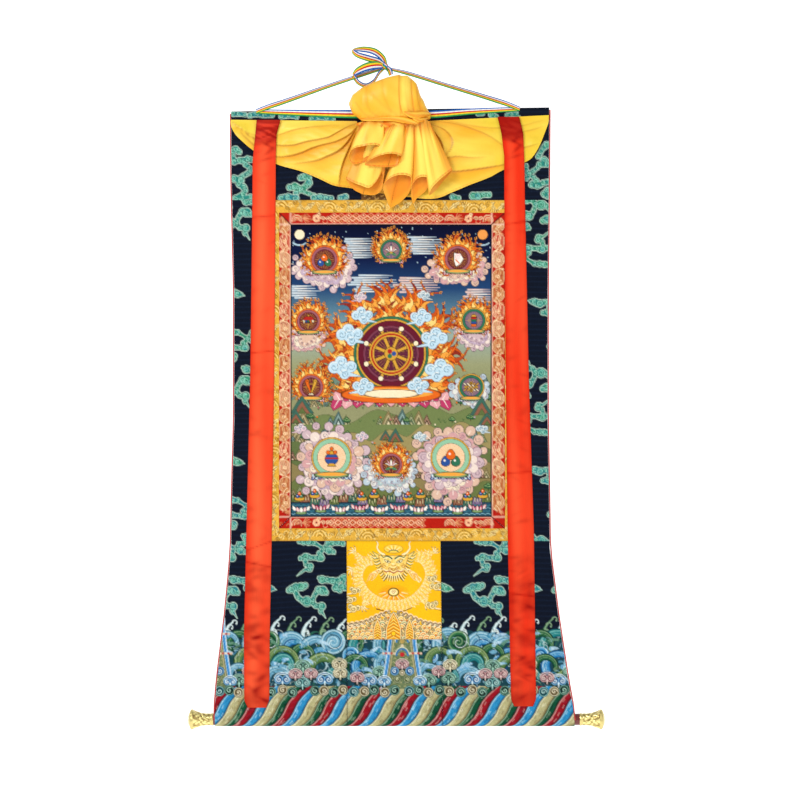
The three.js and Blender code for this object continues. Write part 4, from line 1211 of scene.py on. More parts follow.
# Its head, from the middle of the crown: one side of each, as a distance from the middle and a height
HORN = [(21, -31), (30, -26), (37, -15), (35, -6), (38, -1)]
EAR = [(31, -33), (47, -24), (35, -40)]
JAW = [(33, -33), (29, -48), (25, -60), (22, -72), (13, -82)]
BROW = [(4, -40), (9, -36), (16, -34), (23, -37), (28, -31)]
EYE = [(7, -48), (12, -44), (20, -42.5), (17, -47), (12, -49)]
FANG = [(11, -70), (15, -70), (12.4, -76)]
TAIL_TIP = [(50, -84), (58, -92), (62, -86), (56, -80)]
# Small clouds on the patch: across and down from the middle of its top edge, size, way
PATCH_CLOUDS = [(88, -86, 6, -1), (96, -104, 7, -1), (88, -146, 7.5, -1), (-88, -113, 6.5, 1),
                (-97, -133, 6.5, 1), (-90, -153, 7.5, 1)]


def dragon_band(canvas, spine, width, tip):
    """A length of the body: rows of fine scales, a pale belly and a ridge of fins along its outer side"""
    spine = np.asarray(spine, float)
    halves = np.linspace(width, tip, len(spine)) / 2
    steps = np.gradient(spine, axis=0)
    steps /= np.linalg.norm(steps, axis=1, keepdims=True)
    side = np.column_stack([-steps[:, 1], steps[:, 0]])
    for i in range(len(spine)):
        root = spine[i] + side[i] * halves[i]
        end = spine[i] + side[i] * (halves[i] + 5) - steps[i] * 2.5
        if i % 2:
            canvas.draw(line([root, end], 2.6, 0.9), SCALE_LIGHT if i % 4 == 1 else SCALE_ROSE, 0.9)
    canvas.draw(line(spine, width + 1.6, tip + 1.4), SCALE_EDGE, 0.6)
    canvas.draw(line(spine, width, tip), "f2be3c", 0.9)
    for i in range(1, len(spine) - 1):
        angle = math.degrees(math.atan2(steps[i, 1], steps[i, 0]))
        for k, share in enumerate((-0.78, -0.36, 0.06, 0.48, 0.86)):
            at = spine[i] + side[i] * halves[i] * share + steps[i] * (1.6 if i % 2 else 0)
            code = (SCALE_LIGHT, SCALE_PALE, SCALE_LIGHT, SCALE_ROSE, SCALE_PALE)[(k + i) % 5]
            canvas.draw(line(arc(*at, halves[i] * 0.2, angle - 80, angle + 80, 5), 1.5), code, 0.9)
            if k == 2 and i % 3 == 0:
                canvas.draw(disc(*at, 0.9), OCHRE, 0.4)
        low, high = spine[i] - side[i] * halves[i], spine[i] - side[i] * halves[i] * 0.7
        canvas.draw(line([low, high], 1.1, 0.8), SCALE_LIGHT, 0.8)


def claw(canvas, x, z, angle, size=11):
    canvas.draw(disc(x, z, size * 0.3), SCALE_PALE, 0.9)
    for k in range(4):
        turned = math.radians(angle - 54 + 36 * k)
        hook = [polar(x, z, size * s, turned + 0.5 * s * s) for s in np.linspace(0.2, 1, 6)]
        canvas.draw(line(hook, 4.2, 1.5), OCHRE, 0.7)
        canvas.draw(line(hook, 3.0, 0.9), SCALE_LIGHT, 0.9)
        canvas.draw(line(hook[-2:], 1.2, 0.8), INK, 0.8)


def mane(canvas, x, z, way):
    """Dark leaves and pale hair down one side of the head, and the flames of hair behind the jaw"""
    for k in range(10):
        share = k / 9
        root = (x + way * (33 - 17 * share), z - 30 - 50 * share)
        end = (x + way * (54 - 30 * share), z - 25 - 62 * share - 5 * math.sin(3 * share))
        bend = ((root[0] + end[0]) / 2 + way * 2, (root[1] + end[1]) / 2 - 4)
        canvas.draw(line([root, bend, end], 3.6, 1.0), SCALE_LIGHT if k % 2 else SCALE_PALE, 0.9)
        shadow = [(root[0], root[1] - 2), (bend[0], bend[1] - 2.4), (end[0] - way, end[1] - 2)]
        canvas.draw(line(shadow, 2.3, 0.8), LEAF if k < 4 else INK, 0.8)
    for k in range(4):
        start = (x + way * (30 + 5 * k), z - 66 - 3 * k)
        shares = np.linspace(0, 1, 8)
        flame = [(start[0] + way * 15 * s, start[1] - 12 * s + 6 * math.sin(4 * s)) for s in shares]
        canvas.draw(line(flame, 4.0, 1.2), SCALE_ROSE if k % 2 else SCALE_LIGHT, 0.9)
        canvas.draw(line([(px, pz - 1.8) for px, pz in flame], 1.1, 0.7), SCALE_EDGE, 0.6)


def dragon_head(canvas, x, z):
    """The head from the front, from its crown's top edge: crown, horns, mane, snout and beard"""
    for way in (-1, 1):
        mane(canvas, x, z, way)
        horn = curve_through(placed(x, z, HORN, 1, way), 14)
        canvas.draw(line(horn, 6.4, 2.6), OCHRE, 0.8)
        canvas.draw(line(horn, 4.8, 1.6), SCALE_LIGHT, 0.9)
        ear = area(placed(x, z, EAR, 1, way))
        canvas.draw(grown(ear, 1.0), LEAF, 0.6)
        canvas.draw(ear, SCALE_PALE, 0.9)
    face = area(mirrored(x, z, JAW))
    canvas.draw(grown(face, 1.3), OCHRE, 0.6)
    canvas.draw(face, "f5cf68", 0.9)
    for row in range(13):
        half = np.interp(row, [0, 12], [30, 13])
        for k, across in enumerate(np.arange(-half + 2, half, 4.4)):
            scale = arc(x + across + 2 * (row % 2), z - 35 - 3.7 * row, 1.7, 200, 340, 4)
            canvas.draw(line(scale, 1.2), (SCALE_LIGHT, "e9a934", SCALE_PALE)[(k + row) % 3], 0.9)
    canvas.draw(oval(x, z - 18, 22, 10.4), OCHRE, 0.6)
    canvas.draw(oval(x, z - 17.6, 20.6, 9.2), "f4cf50", 0.9)
    for k in range(9):
        fan = math.radians(22 + 17 * k)
        start = (x + 8 * math.cos(fan), z - 23 + 4 * math.sin(fan))
        end = (x + 18 * math.cos(fan), z - 23 + 13 * math.sin(fan))
        canvas.draw(line([start, end], 1.8, 1.0), SCALE_LIGHT if k % 2 else "e09a20", 0.8)
    canvas.draw(line(arc(x, z - 26, 11, 20, 160, 9, 0.5), 2.0), LEAF, 0.7)
    for way in (-1, 1):
        brow = placed(x, z, BROW, 1, way)
        canvas.draw(line(curve_through(brow, 12), 3.6, 1.4), LEAF, 0.9)
        canvas.draw(line([(px, pz - 2.6) for px, pz in brow[:4]], 1.4), SCALE_LIGHT, 0.9)
        eye = area(placed(x, z, EYE, 1, way))
        canvas.draw(grown(eye, 1.1), INK, 0.9)
        canvas.draw(eye, SCALE_LIGHT, 0.9)
        canvas.draw(disc(x + way * 13, z - 46.2, 1.9), INK, 0.9)
        canvas.draw(line(spiral(x + way * 21, z - 56, 5, 90, 1.2, -way), 1.6), OCHRE, 0.6)
        canvas.draw(line(spiral(x + way * 8.5, z - 62, 4.6, 0, 1.1, way), 1.8), OCHRE, 0.7)
        shares = np.linspace(0, 1, 14)
        whisker = [(x + way * (16 + 34 * s), z - 66 - 16 * s + 7 * math.sin(5 * s)) for s in shares]
        canvas.draw(line(whisker, 3.0, 1.4), OCHRE, 0.8)
        canvas.draw(line(whisker, 1.9, 0.9), SCALE_LIGHT, 0.9)
        canvas.draw(area(placed(x, z, FANG, 1, way)), SCALE_LIGHT, 0.9)
    for k in range(4):
        wrinkle = arc(x, z - 50 - 3.2 * k, 4.5 + 0.7 * k, 200, 340, 6, 0.5)
        canvas.draw(line(wrinkle, 1.3), OCHRE if k % 2 else SCALE_LIGHT, 0.8)
    canvas.draw(line(arc(x, z - 63, 4, 180, 360, 7, 0.8), 1.6), "8c4a14", 0.8)
    lip = [(x + 4.2 * k, z - 70 - 2.2 * math.cos(k * 1.5) + 0.14 * k * k) for k in range(-5, 6)]
    canvas.draw(line(lip, 2.6), "a4381c", 0.8)
    canvas.draw(line([(px, pz + 2) for px, pz in lip], 1.3), SCALE_LIGHT, 0.9)
    for k in range(15):
        share = k / 7 - 1
        root = (x + 15 * share, z - 80 + 5 * share * share)
        end = (x + 20 * share, z - 91 + 6 * share * share)
        canvas.draw(line([root, end], 2.2, 0.9), INK if k % 2 else SCALE_LIGHT, 0.8)


def dragon(canvas, x, z):
    """The dragon about its pearl, from the middle of the patch's top edge"""
    for share in (1, 0.8, 0.6):
        canvas.draw(oval(x, z - 120, 36 * share, 22 * share), "f09010", 0.4, 0.3)
    for k in range(21):
        angle = math.radians(190 + 8 * k)
        points = [(x + r * 1.5 * math.cos(angle), z - 112 + r * math.sin(angle))
                  for r in (13, 20 + 3 * (k % 3))]
        canvas.draw(line(points, 2.0, 0.8), ("ee7c12", SCALE_LIGHT, "f6c440")[k % 3], 0.7)
    for limb in LIMBS:
        dragon_band(canvas, curve_through(placed(x, z, limb), 9), 15, 9)
    dragon_band(canvas, even_curve(placed(x, z, COIL), np.linspace(0, 1, 84)), 23, 20)
    canvas.draw(line(curve_through(placed(x, z, TAIL_TIP), 9), 3.4, 1.4), SCALE_LIGHT, 0.9)
    for points in ([(-38, -153), (-24, -157), (-9, -159)], [(10, -159), (26, -157), (42, -150)]):
        canvas.draw(line(placed(x, z, points), 2.6, 1.2), "5c2014", 0.6)
    for across, down, angle, size in CLAWS:
        claw(canvas, x + across, z + down, angle, size)
    for wide, tall, code in ((12.6, 9.8, INK), (10.2, 7.6, "f4cf50"), (8.6, 6.2, SCALE_LIGHT)):
        canvas.draw(oval(x, z - 115, wide, tall), code, 0.9)
    canvas.draw(line(spiral(x, z - 115, 5.4, 0, 1.4), 1.3), OCHRE, 0.5)
    dragon_head(canvas, x, z)


def patch_cloud(canvas, x, z, size, way):
    """A small cloud of outlined curls with a tail"""
    canvas.draw(line([(x, z - size * 0.6), (x - way * size * 2.6, z - size)], 4.2, 1.2), PATCH_FOAM, 0.9)
    canvas.draw(line([(x, z - size * 0.9), (x - way * size * 2.4, z - size * 1.35)], 1.2, 0.8), INK, 0.6)
    for across, up, radius in ((-0.9 * way, 0.75, 0.75), (1.3 * way, 0.35, 0.8), (0, 0, 1)):
        px, pz, reach = x + across * size, z + up * size, size * radius
        canvas.draw(disc(px, pz, reach + 0.7), INK, 0.6)
        canvas.draw(disc(px, pz, reach), PATCH_CURL, 0.9)
        canvas.draw(line(spiral(px, pz, reach - 1.6, 120, 1.2, way), 1.4), INK, 0.6)
        canvas.draw(line(arc(px, pz, reach - 1.2, 20, 160, 7), 1.3), SCALE_LIGHT, 0.6)


def patch_rock(canvas, x, low, tall, wide):
    """A pointed rock of stacked golden chevrons with pale edges"""
    side = [(wide, 0), (wide * 1.02, tall * 0.42), (wide * 0.62, tall * 0.72), (0, tall)]
    body = area(mirrored(x, low, side))
    for rim, code in ((2.4, "5c3c18"), (1.4, SCALE_LIGHT), (0, "ee9c12")):
        canvas.draw(grown(body, rim), code, 0.8)
    for k in range(7):
        up = tall * (0.02 + 0.13 * k)
        half = np.interp(up / tall, [0, 0.45, 1], [wide, wide * 0.9, 0]) - 1.2
        for drop, code, width in ((0, "b4600c", 2.0), (2.2, "f8dc6a", 1.8)):
            foot = low + up - drop
            canvas.draw(line([(x - half, foot), (x, low + up + wide * 0.5 - drop), (x + half, foot)],
                             width), code, 0.8)
    canvas.draw(disc(x, low + tall * 0.22, wide * 0.34), "f8c81c", 0.9)
    canvas.draw(ring(x, low + tall * 0.22, wide * 0.34, 1.3), "a85a10", 0.5)


def patch_foot(canvas, x, low):
    """Waves of shells and outlined curls that fall away to the sides of three rocks"""
    rng = np.random.default_rng(31)
    top = lambda across: np.interp(abs(across), [0, 30, 60, 107], [66, 54, 40, 32])
    for row in range(7, -1, -1):
        for k in range(-9, 10):
            across = 12.5 * k + (row % 2) * 6.2 + rng.uniform(-1.5, 1.5)
            up = 2 + 8.2 * row + rng.uniform(-1.5, 1.5)
            if up > top(across) - 6:
                continue
            at = (x + across, low + up)
            reach = rng.uniform(5.6, 9.4)
            canvas.draw(disc(*at, reach + 0.9), PATCH_LINE, 0.6)
            inner = ("efa81c", "f2b838", "e0883c", "efa81c", "8a9a70")[rng.integers(5)]
            for share, code in ((1, "f8e2a8"), (0.78, inner), (0.56, "f8e2a8"), (0.38, "d87c10")):
                canvas.draw(disc(at[0], at[1] - 0.4 * reach * (1 - share), reach * share), code, 0.8)
            if rng.uniform() < 0.4:
                way = 1 if across > 0 else -1
                canvas.draw(disc(at[0], at[1] + 5, 4.4), PATCH_CURL, 0.8)
                canvas.draw(line(spiral(at[0], at[1] + 5, 4.2, 90, 1.3, way), 1.5), INK, 0.6)
    for across, tall, wide in ((-36, 44, 8), (36, 44, 8), (0, 60, 15)):
        patch_rock(canvas, x + across, low, tall, wide)
    for way in (-1, 1):
        for k in range(9):
            across = 10 + 11 * k
            start = (x + way * across, low + top(across) - 1)
            shares = np.linspace(0, 1, 8)
            swell = [(start[0] + way * 15 * s, start[1] + 7 * math.sin(math.pi * s) - 5 * s)
                     for s in shares]
            canvas.draw(line([(px, pz - 1.8) for px, pz in swell], 5.4, 2.2), PATCH_LINE, 0.6)
            canvas.draw(line(swell, 4.6, 1.6), PATCH_FOAM, 0.9)
            canvas.draw(line([(px, pz - 0.6) for px, pz in swell], 1.1), SCALE_EDGE, 0.6)
            canvas.draw(line(spiral(*swell[-1], 4.6, 0, 1.2, way), 1.8), PATCH_FOAM, 0.9)
            canvas.draw(line(spiral(start[0], start[1] + 2, 3.2, 0, 1.1, -way), 1.2), INK, 0.6)


def dragon_patch():
    left = lambda z: left_seam(z) + SEAM
    x, z = level_grid(left, right_seam, steps_between(SKIRT_TOP, PATCH["bottom"], PATCH_PITCH), PATCH_PITCH)
    canvas = Canvas(x, z, PATCH_GROUND, PATCH_PITCH)
    canvas.shade(0.35 * (0.5 + 0.5 * np.sin(x / 31 + z / 47)), "f8c808")
    dragon(canvas, PATCH_MIDDLE, SKIRT_TOP)
    for across, down, size, way in PATCH_CLOUDS:
        patch_cloud(canvas, PATCH_MIDDLE + across, SKIRT_TOP + down, size, way)
    patch_foot(canvas, PATCH_MIDDLE, PATCH["bottom"])
    seam_shadow(canvas, left_seam(z), right_seam(z), SKIRT_TOP, PATCH["bottom"], 0.4, 1.4)
    canvas.mottle(5, 0.06)
    return cloth("yellow_patch", canvas, hung, "dragon_patch", PATCH_BACK)


# The painted field: a generic design of a wheel on a lotus among lucky signs, clouds and hills
DARK = "1d1410"
SKY = [(0.0, "060a24"), (0.12, "0c183e"), (0.22, "20406a"), (0.3, "557a8c"), (0.38, "93a498"),
       (0.48, "94966e"),
       (0.62, "7e8456"), (0.8, "7c7650"), (1.0, "5c6244")]
PIGMENT = {
    "orange": "dd641e", "flame": "f0a040", "cream": "f0dfba", "pink": "e0a2a4", "rose": "b83a62",
           "wine": "641a2c",
    "blue": "2a4f92", "sky": "a9c6d2", "white": "f3ece0", "green": "2f6e50", "leaf": "7c9a64",
           "gold": "d29c38",
    "lilac": "b9a0b4", "red": "ad271f", "earth": "85583a",
}


def outlined(canvas, shape, colour, rim=DARK, edge=1.0):
    canvas.draw(grown(shape, edge), rim)
    canvas.draw(shape, PIGMENT.get(colour, colour))


def petals(canvas, x, z, wide, tall, count, colours, lift=1):
    """A row of lotus petals along an oval"""
    for i in np.argsort(-np.abs(np.linspace(-1, 1, count))):
        share = np.linspace(-1, 1, count)[i]
        px = x + wide * share
        foot = z - lift * 0.35 * tall * (1 - share * share)
        lean = 0.5 * tall * share
        reach = wide / count * 1.25
        waist = foot + lift * tall * 0.6
        outline = [(px - reach, foot), (px - reach * 0.9 + lean * 0.5, waist),
                   (px + lean, foot + lift * tall),
                   (px + reach * 0.9 + lean * 0.5, waist), (px + reach, foot)]
        outlined(canvas, area(outline), colours[i % len(colours)])
        canvas.draw(line([(px, foot), (px + lean * 0.8, foot + lift * tall * 0.7)], 2.0, 0.8),
                    PIGMENT["white"])


def lotus_seat(canvas, x, z, wide, colours, disc_colour):
    """Two rows of petals, down and up, round an oval disc"""
    petals(canvas, x, z, wide, wide * 0.2, 11, colours, -1)
    petals(canvas, x, z, wide * 0.98, wide * 0.16, 11, colours[::-1], 1)
    outlined(canvas, oval(x, z + wide * 0.1, wide * 0.94, wide * 0.16), disc_colour)
    canvas.draw(oval(x, z + wide * 0.13, wide * 0.8, wide * 0.1), PIGMENT["flame"])


# Flames, from the outer tongues to the inner: how long, and their colours
FLAME_EDGE = "3c120a"
FLAME_LAYERS = [(1.0, ("b5481f", "8c2c1e")), (0.8, ("dd641e", "c2501c")), (0.58, ("f0a040", "e2761e")),
                (0.34, ("f6cf78", "f0a040"))]


def tongues(canvas, x, z, radius, reach, count, seed, tall=1.0, start=-60, end=240):
    """Flames about a disc: rows of tongues that curl over, dark outside and bright within"""
    rng = np.random.default_rng(seed)
    for layer, (grow, colours) in enumerate(FLAME_LAYERS):
        for k in range(count):
            angle = math.radians(start + (end - start) * (k + 0.5 * (layer % 2)) / count)
            long = reach * grow * rng.uniform(0.75, 1.2)
            curl = 0.6 * (-1 if (k // 2) % 2 else 1)
            root = polar(x, z, radius, angle, tall)
            points = []
            for s in np.linspace(0, 1, 9):
                px, pz = polar(*root, long * s, angle + curl * math.sin(3.2 * s))
                points.append((px, pz + 4 * s * s))
            width = 2 * math.pi * radius / count * 1.1 * grow ** 0.3
            canvas.draw(line(points, width + 1.8, 2.4), FLAME_EDGE)
            canvas.draw(line(points, width, 1.2), colours[k % 2])
            if layer < 2:
                turn = 1 if curl > 0 else -1
                for wide, thick, fine, code in ((4.2, 2.4, 1.0, FLAME_EDGE),
                                                (4.0, 1.4, 0.8, PIGMENT["flame"])):
                    hook = spiral(*points[-1], wide, math.degrees(angle), 0.9, turn, 8)
                    canvas.draw(line(hook, thick, fine), code)


def billows(canvas, x, z, wide, tall, count, colours, seed):
    """A bank of scalloped clouds, uneven at its edge, with curls and rays towards its middle"""
    rng = np.random.default_rng(seed)
    uneven = (1 + 0.12 * np.sin(3 * np.linspace(0, 2 * math.pi, count) + seed)
              + rng.uniform(-0.07, 0.07, count))
    for layer, grow in enumerate((1.0, 0.8, 0.58, 0.38)):
        code = colours[layer % len(colours)]
        code = PIGMENT.get(code, code)
        discs = []
        for k in range(count):
            angle = 2 * math.pi * (k + 0.5 * layer) / count
            reach = grow * uneven[k]
            discs.append((x + wide * reach * math.cos(angle),
                          z - 3 * layer + tall * reach * math.sin(angle),
                          (wide + tall) / count * rng.uniform(1.0, 1.5) * (0.6 + 0.4 * grow)))
        shape = union([lobes(discs), oval(x, z - 3 * layer, wide * grow * 0.9, tall * grow * 0.9)])
        canvas.draw(grown(shape, 1.0), "43343e" if layer == 0 else "a88c94")
        canvas.draw(shape, code)
        for k, (px, pz, radius) in enumerate(discs):
            if (k + layer) % 2 == 0:
                curl = spiral(px, pz, radius * 0.7, 70 * k, 1.1, 1 if k % 4 else -1, 9)
                canvas.draw(line(curl, 1.1), "7a5c6c")
            else:
                inner = (px + 0.5 * (x - px) * 0.3, pz + 0.5 * (z - pz) * 0.3)
                canvas.draw(line([(px, pz), inner], 1.4, 0.8), "f4e8dc")


def halo(canvas, x, z, radius, rings):
    """Rings of colour, the widest first, with fine rays on the last"""
    for share, colour in rings:
        outlined(canvas, disc(x, z, radius * share), colour, edge=0.7)
    for k in range(36):
        points = [polar(x, z, radius * share, math.radians(10 * k)) for share in (0.2, 0.64)]
        canvas.draw(line(points, 0.7), PIGMENT["gold"], strength=0.6)


def wheel(canvas, x, z, size):
    for k in range(8):
        points = [polar(x, z, size * share, math.radians(45 * k + 22.5)) for share in (0.1, 1.16)]
        outlined(canvas, line(points, size * 0.12), "gold")
        outlined(canvas, disc(*points[1], size * 0.1), "cream")
    outlined(canvas, ring(x, z, size * 0.84, size * 0.2), "gold")
    canvas.draw(ring(x, z, size * 0.84, size * 0.07), PIGMENT["red"])
    outlined(canvas, disc(x, z, size * 0.28), "gold")
    for k, colour in enumerate(("blue", "red", "green")):
        canvas.draw(disc(*polar(x, z, size * 0.12, 2.1 * k), size * 0.1), PIGMENT[colour])


def jewels(canvas, x, z, size):
    for across, up, colour in ((-0.5, -0.35, "blue"), (0.5, -0.35, "green"), (0, 0.3, "orange")):
        drop = [(across + 0.42 * math.sin(a) * (1 - 0.3 * math.cos(a)), up + 0.5 * math.cos(a))
                for a in np.linspace(0, 2 * math.pi, 16)[:-1]]
        outlined(canvas, area(placed(x, z, drop, size)), colour)
        canvas.draw(disc(x + size * (across - 0.1), z + size * (up + 0.06), size * 0.1), PIGMENT["white"])


def blossom(canvas, x, z, size):
    for k in (0, 4, 1, 3, 2):
        angle = math.radians(170 - 40 * k)
        petal = [(0, -0.5)]
        for turn, wide, tall in ((0.3, 0.55, 0.3), (0, 1, 0.9), (-0.3, 0.55, 0.3)):
            petal.append((wide * math.cos(angle + turn), tall * math.sin(angle + turn)))
        outlined(canvas, area(placed(x, z, petal, size)), "pink" if k % 2 else "white")
    outlined(canvas, oval(x, z - size * 0.45, size * 0.34, size * 0.18), "gold")
    for way in (-1, 1):
        leaf(canvas, x, z - size * 0.5, size, 90 + way * 110, PIGMENT["green"], PIGMENT["leaf"])


def vase(canvas, x, z, size):
    outlined(canvas, oval(x, z - size * 0.15, size * 0.62, size * 0.55), "blue")
    for side in ([(0.3, 0.3), (0.42, 0.62)], [(0.4, -0.85), (0.22, -0.6)]):
        outlined(canvas, area(mirrored(x, z, side, size)), "gold")
    canvas.draw(line(placed(x, z, [(-0.6, -0.1), (0.6, -0.1)], size), size * 0.16), PIGMENT["red"])
    for across in (-0.35, 0, 0.35):
        outlined(canvas, disc(x + size * across, z + size * (0.85 - abs(across)), size * 0.16), "orange")


def parasol(canvas, x, z, size):
    canvas.draw(line([(x, z + size * 0.9), (x, z - size)], size * 0.1), PIGMENT["gold"])
    dome = arc(x, z + size * 0.15, size * 0.85, 0, 180, 14, 0.75)
    outlined(canvas, area(dome), "red")
    for k, colour in enumerate(("cream", "blue", "green", "orange", "cream")):
        px = x + size * (-0.68 + 0.34 * k)
        outlined(canvas, area(placed(px, z, [(-0.17, 0.15), (0.17, 0.15), (0, -0.3)], size)), colour)
    outlined(canvas, disc(x, z + size * 0.9, size * 0.12), "gold")


def shell(canvas, x, z, size):
    body = [(-0.5, 0.8), (0.35, 0.7), (0.75, 0), (0.3, -0.7), (-0.25, -1), (-0.5, -0.2)]
    outlined(canvas, area(placed(x, z, body, size)), "white")
    canvas.draw(line(spiral(x, z + size * 0.3, size * 0.45, 20, 1.6), size * 0.09), PIGMENT["pink"])
    canvas.draw(line(placed(x, z, [(-0.3, -0.1), (0.2, -0.6)], size), size * 0.16), PIGMENT["orange"])


def endless_knot(canvas, x, z, size):
    for k in (-0.5, 0, 0.5):
        for way in (-1, 1):
            points = placed(x, z, [(k + 0.55 * s * way, 0.55 * s) for s in (-1, 1)], size)
            outlined(canvas, line(points, size * 0.14), "gold" if way > 0 else "cream")
    for at in placed(x, z, [(-1, 0), (1, 0), (0, 0.75), (0, -0.75)], size * 0.78):
        outlined(canvas, ring(*at, size * 0.16, size * 0.1), "gold")


def fishes(canvas, x, z, size):
    for way in (-1, 1):
        bend = [(0.35 + 0.25 * math.cos(3 * s), 0.9 - 1.8 * s) for s in np.linspace(0, 1, 9)]
        spine = placed(x, z, bend, size, way)
        outlined(canvas, line(spine, size * 0.5, size * 0.12), "gold" if way > 0 else "orange")
        canvas.draw(disc(*spine[0], size * 0.08), DARK)
        tail = placed(spine[-1][0], z, [(-0.3, -1.15), (0.3, -1.15)], size)
        outlined(canvas, area([spine[-1], *tail]), "cream")


def banner(canvas, x, z, size):
    outlined(canvas, area(arc(x, z + size * 0.5, size * 0.4, 0, 180, 10)), "gold")
    for k, colour in enumerate(("red", "green", "blue", "orange")):
        top = z + size * (0.5 - 0.36 * k)
        fall = placed(x, top, [(-0.4, 0), (0.4, 0), (0.34, -0.34), (-0.34, -0.34)], size)
        outlined(canvas, area(fall), colour)


def peak(canvas, x, z, wide, tall, codes):
    """A pointed rock: bands of colour inside one another"""
    for k, code in enumerate(codes):
        outline = [(-wide, 0), (-wide * 0.45, tall * 0.62), (0, tall), (wide * 0.4, tall * 0.55), (wide, 0)]
        outlined(canvas, area(placed(x, z, outline, 1 - k / len(codes))), code, rim="2c2a1c", edge=0.6)


def tree(canvas, x, z, size):
    canvas.draw(line([(x, z - size), (x + 0.1 * size, z)], size * 0.22), "4a3220")
    leafage = [(-0.7, 0.1, 0.5), (0, 0.5, 0.62), (0.7, 0, 0.48), (0.1, -0.1, 0.5)]
    crown = [(x + a * size, z + b * size, r * size) for a, b, r in leafage]
    outlined(canvas, lobes(crown), "2b5636", rim="182c1c", edge=0.7)
    for px, pz, radius in crown:
        canvas.draw(line(arc(px, pz, radius * 0.55, 20, 160, 6), 1.2), "8fae6c")


SLOPES = ["6c8474", "8e8e66", "6e7c4a", "988a58", "5f6c40", "87784c", "66703f", "4f5a36"]
ROCKS = [("6f7a4e", "9aa27a", "556b4c", "c2bb90"), ("8a7a50", "b5a67a", "6f6a48", "d8c9a0"),
         ("4f6b66", "86a19a", "3f5550", "bccbc0"), ("7a5a4a", "b08a70", "5c4436", "d6b89a")]


def hills(canvas, box, seed):
    """Khaki slopes, pointed rocks, trees and flowers"""
    rng = np.random.default_rng(seed)
    for row, slope in enumerate(SLOPES):
        base = box["bottom"] + 322 - 40 * row
        points = [(box["left"] - 5, box["bottom"] - 5)]
        for x in np.linspace(box["left"] - 5, box["right"] + 5, 60):
            rise = abs(math.sin((x + 37 * row) / (26 + 5 * (row % 3)))) ** 1.6
            points.append((x, base - 22 + 22 * rise + 12 * math.cos((x - 60 * row) / 80)))
        points.append((box["right"] + 5, box["bottom"] - 5))
        outlined(canvas, area(points), slope, rim="3a3a26", edge=0.6)
        for x in rng.uniform(box["left"] + 8, box["right"] - 8, 7):
            size = rng.uniform(12, 26)
            for across, share in ((-0.9, 0.6), (0.85, 0.7), (0, 1)):
                peak(canvas, x + across * size, base - 34, size * 0.7 * share, size * 1.5 * share,
                     ROCKS[int(rng.uniform(0, 4))])
        for x in rng.uniform(box["left"] + 6, box["right"] - 6, 5):
            tree(canvas, x, base - 18 + rng.uniform(-8, 4), rng.uniform(6, 9))
        for x in rng.uniform(box["left"] + 6, box["right"] - 6, 16):
            z = base - 30 + rng.uniform(-12, 10)
            for k in range(3):
                canvas.draw(line([(x, z), (x + 3 * (k - 1), z + 4)], 1.0, 0.8), "3c5a34")
            if rng.uniform() < 0.5:
                kind = ("rose", "cream", "orange", "lilac")[int(rng.uniform(0, 4))]
                canvas.draw(disc(x, z + 5, 1.8), PIGMENT[kind])


def lake(canvas, box):
    """Dark water along the foot of the painting, with waves, a rocky shore and lotus flowers"""
    left, right, low = box["left"], box["right"], box["bottom"]
    shore = [(x, low + 31 + 5 * math.sin(x / 17) + 3 * math.sin(x / 7))
             for x in np.arange(left - 6, right + 8, 6)]
    outlined(canvas, area(shore + [(right + 6, low - 6), (left - 6, low - 6)]), "244a5c")
    for row in range(4):
        for x in np.arange(left + 6 * (row % 2), right + 8, 12):
            wave = arc(x, low + 4 + 6.4 * row, 6, 20, 160, 7, 0.6)
            canvas.draw(line(wave, 1.3), ("7fb0bc", "3d7c8c")[row % 2], 0.2)
    for i, x in enumerate(np.arange(left + 12, right, 21.5)):
        at = low + 34 + 5 * math.sin(x / 17)
        code = ("5c6a3c", "8a5a44", "3d6456", "7c6a8a")[i % 4]
        for across, tall in ((-6, 12), (5, 16), (0, 9)):
            stone = [(x + across - 6, at - 5), (x + across - 3, at + tall * 0.7), (x + across, at + tall),
                     (x + across + 4, at + tall * 0.6), (x + across + 6, at - 5)]
            outlined(canvas, area(stone), code)
            canvas.draw(line([(x + across, at + tall - 3), (x + across + 1, at)], 1.3), "d0c898", 0.2)
    for i, x in enumerate(np.arange(left + 24, right - 8, 44)):
        flower_at = low + 15 + 4 * (i % 2)
        outlined(canvas, oval(x, flower_at - 6, 11, 3.2), "leaf")
        petals(canvas, x, flower_at, 14, 10, 5, ("pink", "rose") if i % 2 else ("white", "pink"))


def drift(canvas, x, z, wide, rows, code):
    """Level streaks of cloud, stepped like feathers"""
    for row in range(rows):
        shift = wide * 0.16 * math.sin(2.3 * row + x)
        half = wide * (1 - 0.7 * abs(row / rows - 0.4))
        level = z - 5.2 * row
        streak = [(x - half + shift, level), (x + half + shift, level)]
        canvas.draw(line(streak, 5.4, 1.5), "6a7482")
        canvas.draw(line(streak, 4.2, 1.0), code)
        canvas.draw(line([(x - half * 0.6 + shift, level), (x + half * 0.3 + shift, level)], 1.2),
                    PIGMENT["white"])


